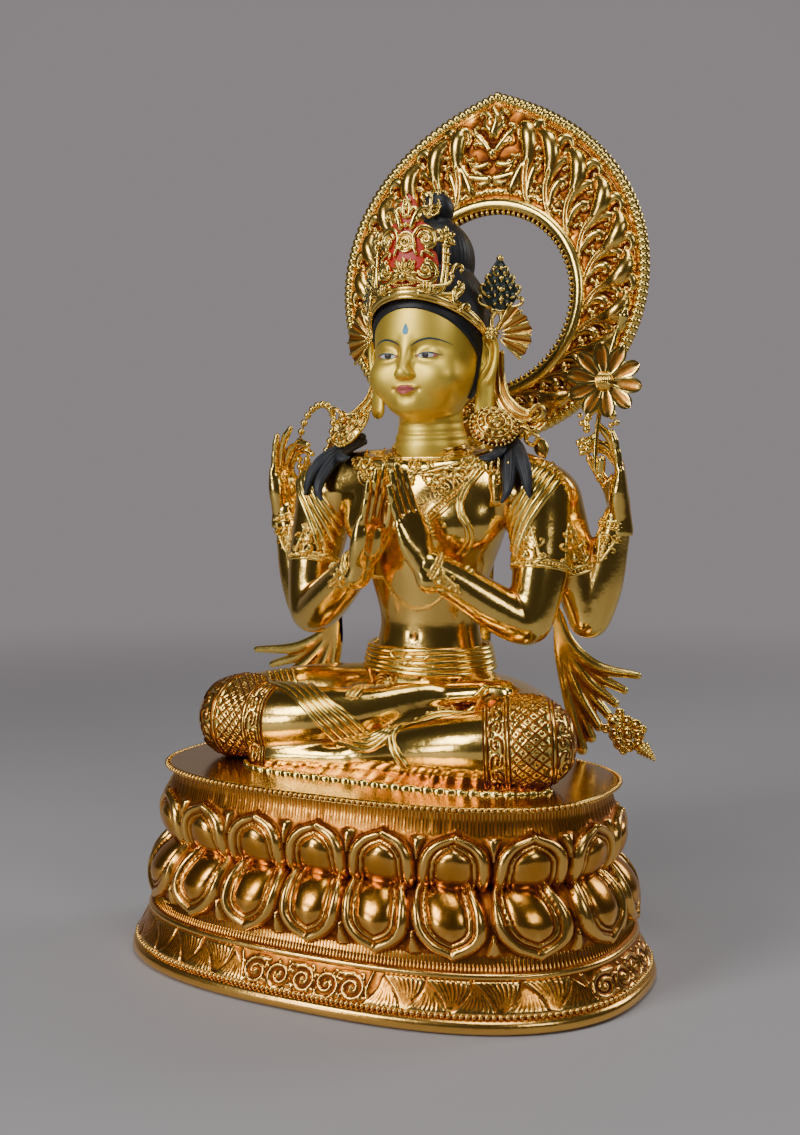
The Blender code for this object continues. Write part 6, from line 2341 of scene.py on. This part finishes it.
    def _tassel(self, side: int, reach: float) -> None:
        """The jewelled tassel at the scarf's end: a round jewel, volutes and a ribbed tip.

        Args:
            side: 1 for the figure's left, -1 for its right.
            reach: How far the scarf spreads further out, in millimetres.
        """
        form = Form()
        root = np.array([side * (147 + 0.6 * reach), 108, 35.0])
        way = unit(np.array([side * 0.76, 0.02, -0.65]))
        wide = unit(np.cross(way, (0, 1, 0)))
        form.bead(root + 6 * way, 6.2, 16, (0, -1, 0), 0.8)
        for along, across, radius in ((14, 7.5, 4.6), (14, -7.5, 4.6), (13, 0, 3.4), (21, 10.5, 4.2),
                                      (21, 0, 4.6), (21, -10.5, 4.2), (28, 6.0, 4.0), (28, -6.0, 4.0),
                                      (27, 12.0, 2.8), (27, -12.0, 2.8), (33, 0, 4.2), (5, 9.0, 3.0),
                                      (5, -9.0, 3.0)):
            centre = root + along * way + across * wide
            angle = np.linspace(0, 2 * math.pi, 13)[:, None]
            ring = centre + radius * (np.cos(angle) * way + np.sin(angle) * wide) + np.array([0, -2.0, 0])
            form.tube(ring[:-1], 1.15, 8, closed=True)
            form.bead(centre, radius * 0.9, 12, (0, -1, 0), 0.75)
        for k in range(6):
            form.bead(root + (37 + 2.6 * k) * way, 6.6 - 0.9 * k, 14, way, 0.42)
        name = "scarf_tassel_left" if side > 0 else "scarf_tassel_right"
        lifted(form).build(name, self.finish["gilt"], Piece.FIGURE, (0.2, 1.4))

    def _lotus(self) -> None:
        """The open flower, its stem, bud and tendrils."""
        form = Form()
        stem = spline(STEM, 8)
        form.tube(stem, 1.9, 10)
        facing = unit(LOTUS_FACING)
        side = unit(np.cross(facing, (0, 0, 1)))
        up = np.cross(side, facing)
        for k in range(10):
            angle = 2 * math.pi * (k + 0.3) / 10
            out = math.cos(angle) * side + math.sin(angle) * up
            wide = np.cross(out, facing)
            s = np.linspace(0, 1, 14)[:, None]
            t = np.linspace(-1, 1, 9)[None, :]
            width = 6.4 * np.interp(s, [0, 0.3, 0.62],
                                    [0.40, 0.82,
                                     1.0]) * np.sqrt(np.clip(1 - (np.clip(s - 0.62, 0, 1) / 0.38) ** 2,
                    0.0004, 1))
            reach = 4 + 26 * s
            cup = 2.5 + 4.5 * s ** 2 + 1.6 * (t * width / 6) ** 2
            rim = np.exp(-((np.abs(t) - 0.72) / 0.12) ** 2) * np.clip(5 * (1 - s), 0, 1)
            for shell, flip in ((0.75, False), (-0.75, True)):
                sheet = (np.asarray(LOTUS_CENTRE) + reach[..., None] * out + (t * width)[...,
                        None] * wide + (cup + shell * (1 - t ** 2) ** 0.5
                                        * np.sin(math.pi * np.clip(s + 0.03, 0, 1)) ** 0.3 + 0.5 * rim
                                        * (shell > 0))[..., None] * facing)
                form.grid(sheet, flip=flip)
        boss = np.asarray(LOTUS_CENTRE) + facing * 3.0
        form.bead(boss, 7.6, 24, facing, 0.85)
        for k in range(-4, 5):
            lean = 0.21 * k
            arc = np.linspace(-1.15, 1.15, 13)
            ridge = np.stack([np.sin(arc), np.cos(arc) * np.sin(lean), np.cos(arc) * np.cos(lean)], 1)
            form.tube(boss + 7.5 * (ridge[:, :1] * up + ridge[:, 1:2] * side + 0.86 * ridge[:,
                    2:] * facing), 0.75, 7)
        form.bead(np.asarray(LOTUS_CENTRE) - facing * 1.0, 5.5, 14, facing, 1.0)
        form.tube(spline([LOTUS_CENTRE, (150, 96, 330), (156, 98, 350), (160, 98, 360)], 6),
                  np.interp(np.linspace(0, 1, 19), [0, 0.6, 0.8, 1], [1.7, 1.7, 5.5, 2.0]), 10)
        form.tube(spline([(144, 89, 282), (138, 87, 280), (133, 86, 274), (134, 85, 266)], 6),
                  np.linspace(2.2, 2.6, 19), 9)
        for place, radius in (((134, 84, 266), 3.2), ((130, 84, 271), 2.6), ((136, 84, 275), 2.4),
                              ((128, 85, 277), 2.2), ((131, 82, 252), 3.4), ((136, 81, 250), 3.0),
                              ((132, 81, 257), 3.0), ((137, 82, 256), 2.8), ((155, 84, 276), 2.8),
                              ((158, 85, 271), 2.6), ((154, 84, 269), 2.4)):
            form.bead(np.array(place, float), radius, 10)
        form.tube(spline([(141, 87, 262), (138, 84, 258), (134, 83, 254)], 6), np.linspace(2.6, 3.4, 13), 9)
        form.tube(spline([(142, 90, 226), (144, 88, 234), (146, 86, 243)], 6),
                  np.interp(np.linspace(0, 1, 13), [0, 0.5, 1], [2.0, 4.2, 3.2]), 10)
        form.bead((144, 88, 229), 4.2, 12, squash=0.7)
        form.tube(spline([(149, 88, 292), (153, 85, 284), (156, 84, 276)], 6), np.linspace(2.0, 2.6, 13), 8)
        piece = lifted(form).build("lotus_flower", self.finish["polish"], Piece.LOTUS, (0.2, 1.6))
        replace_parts(piece, "lotus")

    def _prayer_beads(self) -> None:
        """The closed string of beads with its tassel cap."""
        form = Form()
        string = []
        for k in range(24):
            angle = 2 * math.pi * k / 24
            up = 32 * math.sin(angle)
            centre = (-126.5 + 15.5 * (1 + 0.22 * math.sin(angle)) * math.cos(angle) + 0.25 * up, 106,
                      259 + up)
            form.bead(centre, 3.3, 10)
            string.append(centre)
        form.tube(np.array(string), 0.9, 8, closed=True)
        form.bead((-135.5, 104, 229), 4.3, 14)
        cap = spline([(-135.5, 104, 226), (-136.5, 104, 219), (-137, 104, 212), (-137.5, 104, 205)], 4)
        form.tube(cap, np.interp(np.linspace(0, 1, len(cap)), [0, 0.3, 0.7, 1], [2.4, 3.0, 5.2, 9.0]), 18)
        piece = lifted(form).build("bead_string", self.finish["gilt"], Piece.BEADS, (0.2, 1.2))
        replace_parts(piece, "prayer_beads")

    def _crown(self) -> None:
        """Band, front plaque, posts, side leaves and the fans at the ears."""
        gold, red, green = Form(), Form(), Form()
        angle = 2 * math.pi * np.arange(120) / 120
        for lift, out, radius in ((0.0, 0.0, 3.3), (3.6, 0.2, 1.6), (-3.6, 0.9, 1.4)):
            reach = 48.5 + out
            band = np.stack([reach * np.cos(angle), 81 + (reach + 2) * np.sin(angle),
                             343 - 31 * np.sin(angle) + lift], 1)
            gold.tube(band, radius, 12, closed=True)
        self._plaque(gold, red)
        for side in SIDES:
            self._post(gold, side)
            self._leaf(gold, green, side)
            self._fan(gold, side)
        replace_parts(lifted(gold).build("crown_gold", self.finish["gilt"], Piece.CROWN, (0.16, 1.1)),
                    "crown")
        lifted(red).build("crown_red_ground", self.finish["red"], Piece.CROWN, (0.3, 1.5))
        lifted(green).build("crown_leaf_ground", self.finish["green"], Piece.CROWN, (0.3, 1.5))

    @staticmethod
    def _brow_place(u: Array, v: Array, h: Array) -> Array:
        """A point of the crown's front, which bends around the head and leans back a little."""
        u, v, h = np.broadcast_arrays(u, v, h)
        turn = u / 52.0
        reach = 50.0 + h - 0.085 * v
        bend = 81 - reach * np.cos(turn)
        low = 374 - 14 * (1 - np.cos(turn * 1.15))
        return np.stack([reach * np.sin(turn), bend, low + v], -1)

    def _scroll(self, form: Form, start: Sequence[float], degrees: float, length: float, bend: float,
                radius: float, height: float = 2.4, tip: float = 0.6, wave: float = 0.0,
                ball: bool = True) -> None:
        """One gold scroll of the crown's front on both sides."""
        line = curl(start, math.radians(degrees), length, bend, radius, tip, wave, 12)
        for side in SIDES:
            curve = spline(line, 3)
            path = self._brow_place(side * curve[:, 0], curve[:, 1], np.full(len(curve), height))
            form.tube(path, curve[:, 2], 8)
            if ball:
                form.bead(self._brow_place(side * curve[-1, 0], curve[-1, 1], np.array(height + 0.6)),
                          radius * 0.95, 8)

    def _volute(self, form: Form, centre: Sequence[float], radius: float, degrees: float,
                turn: int) -> None:
        """A round gold volute with a fatter curl inside it, on both sides."""
        way = math.radians(degrees) + turn * np.linspace(0, 1.62 * math.pi, 34)
        reach = radius * np.interp(np.linspace(0, 1, 34), [0, 0.6, 1], [1.15, 1.0, 0.72])
        inner = math.radians(degrees) + turn * np.linspace(0.25 * math.pi, 2.9 * math.pi, 34)
        close = radius * np.linspace(0.66, 0.10, 34)
        for angle, out, size, height in ((way, reach, np.linspace(1.7, 2.3, 34), 2.2),
                                         (inner, close, np.interp(np.linspace(0, 1, 34), [0, 0.4, 1],
                [1.4, 3.1, 1.4]), 2.6)):
            for side in SIDES:
                path = self._brow_place(side * (centre[0] + out * np.cos(angle)),
                                        centre[1] + out * np.sin(angle), np.full(34, height))
                form.tube(path, size, 8)
                form.bead(path[-1], float(size[-1]) * 1.3, 8)

    def _plaque(self, gold: Form, red: Form) -> None:
        """The front plaque: gold scrolls and a round jewel on a red ground."""
        outline = np.array([(0, 3, 26), (0, 8, 27), (0, 22, 29), (0, 33, 27), (0, 36, 22), (0, 44, 26),
                            (0, 53, 22), (0, 57, 13), (0, 66, 11), (0, 74, 6), (0, 78, 0.6)])
        rows = spline(outline[:, 1:], 4)
        across = np.linspace(-1, 1, 33)[None, :]
        u, v = across * rows[:, 1:2], rows[:, :1] + 0 * across
        edge = np.clip(1 - across ** 10, 0, 1) ** 0.5
        red.grid(self._brow_place(u, v, 1.1 * edge))
        red.grid(self._brow_place(u, v, -1.3 * edge), flip=True)
        disc = 40.0
        for radius, count, size in ((6.6, 22, 0.75), (4.8, 16, 0.6)):
            for k in range(count):
                a = 2 * math.pi * k / count
                gold.bead(self._brow_place(np.array(radius * math.cos(a)),
                                           np.array(disc + radius * math.sin(a)), np.array(2.9)), size, 6)
        ring = 2 * math.pi * np.arange(32) / 32
        for radius, size in ((7.8, 1.0), (3.7, 0.8)):
            gold.tube(self._brow_place(radius * np.cos(ring), disc + radius * np.sin(ring),
                                       np.full(32, 2.5)), size, 8, closed=True)
        gold.bead(self._brow_place(np.array(0.0), np.array(disc), np.array(2.6)), 3.1, 14,
                  np.array([0, -1.0, 0.1]), 0.8)
        gold.bead(self._brow_place(np.array(0.0), np.array(disc), np.array(1.0)), 7.6, 24,
                  np.array([0, -1.0, 0.1]), 0.16)
        self._volute(gold, (17.5, 42.5), 9.2, 215, -1)
        self._volute(gold, (18.0, 18.5), 9.8, 150, 1)
        self._scroll(gold, (10, 30), 110, 12, 3.6, 1.7, 2.8)
        self._scroll(gold, (24, 30), 150, 14, 3.4, 1.8, 2.6)
        self._scroll(gold, (12, 5), 4, 36, 1.7, 1.8, 2.6, 1.0, ball=False)
        self._scroll(gold, (12, 1.5), -2, 44, 1.8, 1.6, 1.8, 1.0, ball=False)
        self._scroll(gold, (5, 51), 70, 34, -4.4, 2.9)
        self._scroll(gold, (10.5, 57), 88, 17, 4.2, 2.2, 2.2)
        self._scroll(gold, (2.6, 60), 82, 18, 2.8, 2.0, 2.4)
        self._scroll(gold, (22, 8), -60, 9, -3.4, 2.0, 3.2)
        for k in range(4):
            x = 17.0 + 2.6 * k
            for side in SIDES:
                path = self._brow_place(side * np.array([x - 0.8, x, x + 0.2]),
                                        np.array([9.0 - 0.5 * k, 5.5, 1.5]), np.array([2.6, 4.2, 3.0]))
                gold.tube(spline(path, 3), 1.35, 7)
        for v, size in ((53, 2.6), (60, 2.2), (66, 1.8)):
            gold.bead(self._brow_place(np.array(0.0), np.array(v), np.array(2.6)), size, 12)
        for k in range(9):
            a = math.pi * (k - 0.5) / 7
            reach = np.linspace(3.0, 15.0 if k in (3, 4, 5) else 13.0, 9)
            path = self._brow_place(reach * math.cos(a) * 0.92, 12.0 + reach * math.sin(a),
                                    np.linspace(4.4, 3.6, 9))
            gold.tube(path, 2.9 * np.sin(math.pi * np.linspace(0.14, 0.94, 9)) ** 0.7, 9)
            gold.tube(self._brow_place(reach[2:] * math.cos(a) * 0.92, 12.0 + reach[2:] * math.sin(a),
                                       np.linspace(7.2, 6.0, 7)), 0.7, 6)
        gold.bead(self._brow_place(np.array(0.0), np.array(11.5), np.array(5.4)), 4.0, 14)
        for k in range(13):
            u = -12 + 2.0 * k
            gold.bead(self._brow_place(np.array(u), np.array(5.6 + 0.02 * u * u), np.array(3.6)), 1.15, 7)
        flame = self._brow_place(np.array([0, 1.5, -1.2, 0.4]), np.array([68, 72, 76, 79.5]),
                                 np.array([2.2, 2.4, 2.2, 1.6]))
        gold.tube(spline(flame, 5), np.linspace(2.3, 0.7, 16), 8)

    def _post(self, gold: Form, side: int) -> None:
        """An upright at the plaque's side with a six-petal flower on top and a curl beside it."""
        def at(u: float, v: float, h: float) -> Array:
            """A place over the brow on this side."""
            return self._brow_place(np.array(side * u), np.array(v), np.array(h))

        for lean, radius in ((0.0, 2.0), (4.6, 1.7)):
            bow = [(12 + lean, -1), (22 + lean, 0), (29.5 + lean * 0.8, 7), (32.5 + lean * 0.6, 18),
                   (33.5 + lean * 0.5, 30), (33.8 + lean * 0.4, 42)]
            gold.tube(spline([at(u, v, 1.8) for u, v in bow], 6), radius, 9)
        for v in (26, 34, 40):
            ring = [at(35 + 3.6 * math.cos(a), v, 1.8 + 3.4 * math.sin(a)) for a in np.linspace(0,
                    2 * math.pi, 13)[:-1]]
            gold.tube(np.array(ring), 0.75, 6, closed=True)
        centre = at(35, 47, 3.2)
        for k in range(6):
            a = 2 * math.pi * (k + 0.5) / 6
            reach = np.linspace(1.6, 8.0, 7)
            path = np.array([at(35 + r * math.cos(a), 47 + r * math.sin(a), 3.2) for r in reach])
            gold.tube(path, 2.7 * np.sin(math.pi * np.linspace(0.2, 0.85, 7)) ** 0.7, 8)
        gold.bead(centre + unit(centre - np.array([0, 81, centre[2]])) * 1.5, 1.9, 10)
        for start, degrees, length, bend, radius in (((39, 18), 70, 22, -5.2, 2.4),
                                                     ((42, -4), 100, 22, -4.4, 2.8),
                                                     ((46, -8), 60, 16, -4.6, 2.2),
                                                     ((42, 2), 40, 20, 3.8, 2.2)):
            line = spline(curl(start, math.radians(degrees), length, bend, radius, 0.7, 0, 10), 3)
            gold.tube(self._brow_place(side * line[:, 0], line[:, 1], np.full(len(line), 2.2)), line[:, 2],
                      7)

    def _leaf(self, gold: Form, green: Form, side: int) -> None:
        """A dark leaf plaque above the ear, set with gold beads and curls."""
        rows = spline([(-4, 6), (3, 12), (10, 15), (18, 13.5), (25, 10), (31, 6.5), (37, 2.5)], 5)
        across = np.linspace(-1, 1, 15)[None, :]
        turn = math.radians(40) * side
        wide = np.array([math.cos(turn), math.sin(turn), 0])
        out = np.array([math.sin(turn), -math.cos(turn), 0])
        origin = np.array([side * 58.0, 87, 366])

        def at(u: Array, v: Array, h: Array) -> Array:
            """Places on the leaf plaque."""
            u, v, h = (np.asarray(a, float)[..., None] for a in np.broadcast_arrays(u, v, h))
            return origin + u * wide + v * np.array([0, 0, 1]) + h * out

        dome = 2.2 * np.sqrt(np.clip(1 - across ** 2, 0, 1)) + 0 * rows[:, :1]
        u, v = across * rows[:, 1:2], rows[:, :1] + 0 * across
        green.grid(at(u, v, dome))
        green.grid(at(u, v, -dome), flip=True)
        for face in SIDES:
            for v, count in ((3, 3), (9, 5), (15, 4), (21, 3), (27, 2), (32, 1)):
                for k in range(count):
                    u = (k - (count - 1) / 2) * 5.2
                    green.bead(at(u, v + 1.2 * (k % 2), face * 2.2), 2.2, 8)
                    gold.bead(at(u, v + 1.2 * (k % 2) - 1.8, face * 3.4), 1.2, 7)
            for way in SIDES:
                for start, degrees, length, bend, radius in (((8, -1), 10, 20, 4.6, 1.6),
                        ((9, 7), 30, 18, 4.6, 1.5), ((7, 16), 45, 14, 4.4, 1.4),
                        ((4, 24), 60, 11, 4.2, 1.2)):
                    line = spline(curl(start, math.radians(degrees), length, bend, radius, 0.7, 0, 9), 2)
                    gold.tube(at(way * line[:, 0], line[:, 1], np.full(len(line), face * 1.6)), line[:, 2],
                              6)
        for v, size in ((38, 3.0), (30, 1.9), (22, 2.1), (13, 2.4), (5, 2.4)):
            gold.bead(at(0, v, 0 if v > 35 else 3.4), size, 10)
        gold.tube(at(np.linspace(-7, 7, 7), np.full(7, -4.0), np.zeros(7)), 2.4, 8)

    @staticmethod
    def _fan(gold: Form, side: int) -> None:
        """The rosette above the ear with its pleated fan."""
        centre = np.array([side * 55.0, 77, 343])
        facing = unit((side * 0.62, -0.78, 0.1))
        across = unit(np.cross((0, 0, 1), facing)) * side
        up = np.cross(facing, across) * side
        for k in range(8):
            a = 2 * math.pi * k / 8
            reach = np.linspace(1.5, 5.2, 6)[:, None]
            gold.tube(centre + facing * 2 + reach * (math.cos(a) * across + math.sin(a) * up), 1.5, 7)
        gold.bead(centre + facing * 3.2, 2.3, 12, facing)
        gold.bead(centre + facing * 0.5, 5.8, 16, facing, 0.45)
        fold, rows = 61, 10
        angle = np.radians(np.linspace(62, -44, fold))[None, :]
        reach = np.linspace(0, 1, rows)[:, None]
        pleat = np.abs((np.arange(fold) / 12.0) % 1.0 - 0.5)[None, :]
        length = 8 + 20.5 * reach * (1 - 0.10 * (2 * pleat) ** 2) * (1 - 0.12 * np.sin(angle) ** 2)
        place = np.array([side * 55.5, 83, 343])
        flat = np.array([side * 1.0, 0.30, 0])
        for lift, flip in ((0.8, side < 0), (-0.8, side > 0)):
            depth = lift + 4.2 * (pleat - 0.25) * (0.35 + reach)
            sheet = (place + (length * np.cos(angle))[..., None] * flat + (length * np.sin(angle))[...,
                    None] * np.array([0, 0, 1.0]) - depth[..., None] * np.array([0, 1.0, 0]))
            gold.grid(sheet, flip=flip)
        loop = [(side * 54, 80, 348), (side * 53, 82, 356), (side * 57, 86, 362), (side * 60, 86, 355),
                (side * 57, 82, 346)]
        gold.tube(spline(loop, 6), 1.9, 8)
        ribs = [62 - 106 * k / 5 for k in range(6)]
        for degrees in ribs:
            a = math.radians(degrees)
            line = np.linspace(6, 28, 7)[:, None]
            path = place + line * (math.cos(a) * flat + math.sin(a) * np.array([0, 0, 1.0])) - np.array([0,
                    1.6, 0])
            gold.tube(path, np.linspace(0.8, 1.3, 7), 7)

    def make(self) -> None:
        """Builds every piece of the figure."""
        body, legs = self._body(), self._legs()
        Dress(body, legs, self.finish).make()
        self._hands()
        self._head()
        self._hair()
        self._locks()
        self._earrings()
        self._scarf()
        self._crown()
        self._lotus()
        self._prayer_beads()


def main() -> None:
    """Makes the whole scene."""
    logging.basicConfig(level=logging.INFO, format="%(name)s %(message)s")
    Studio().make()
    Pedestal(PEDESTAL_GILT.paint()).make()
    Halo(HALO_GILT.paint()).make()
    Figure({"gilt": GILT.paint(), "polish": BODY_GILT.paint(), "face": FACE_GOLD.paint(),
            "hair": HAIR.paint(), "red": RED.paint(), "green": GREEN.paint(), "blue": BLUE.paint(),
            "brow": BROW.paint(), "white": WHITE.paint(), "iris": IRIS.paint(), "lip": LIP.paint(),
            "corner": CORNER.paint()}).make()


if __name__ == "__main__":
    main()
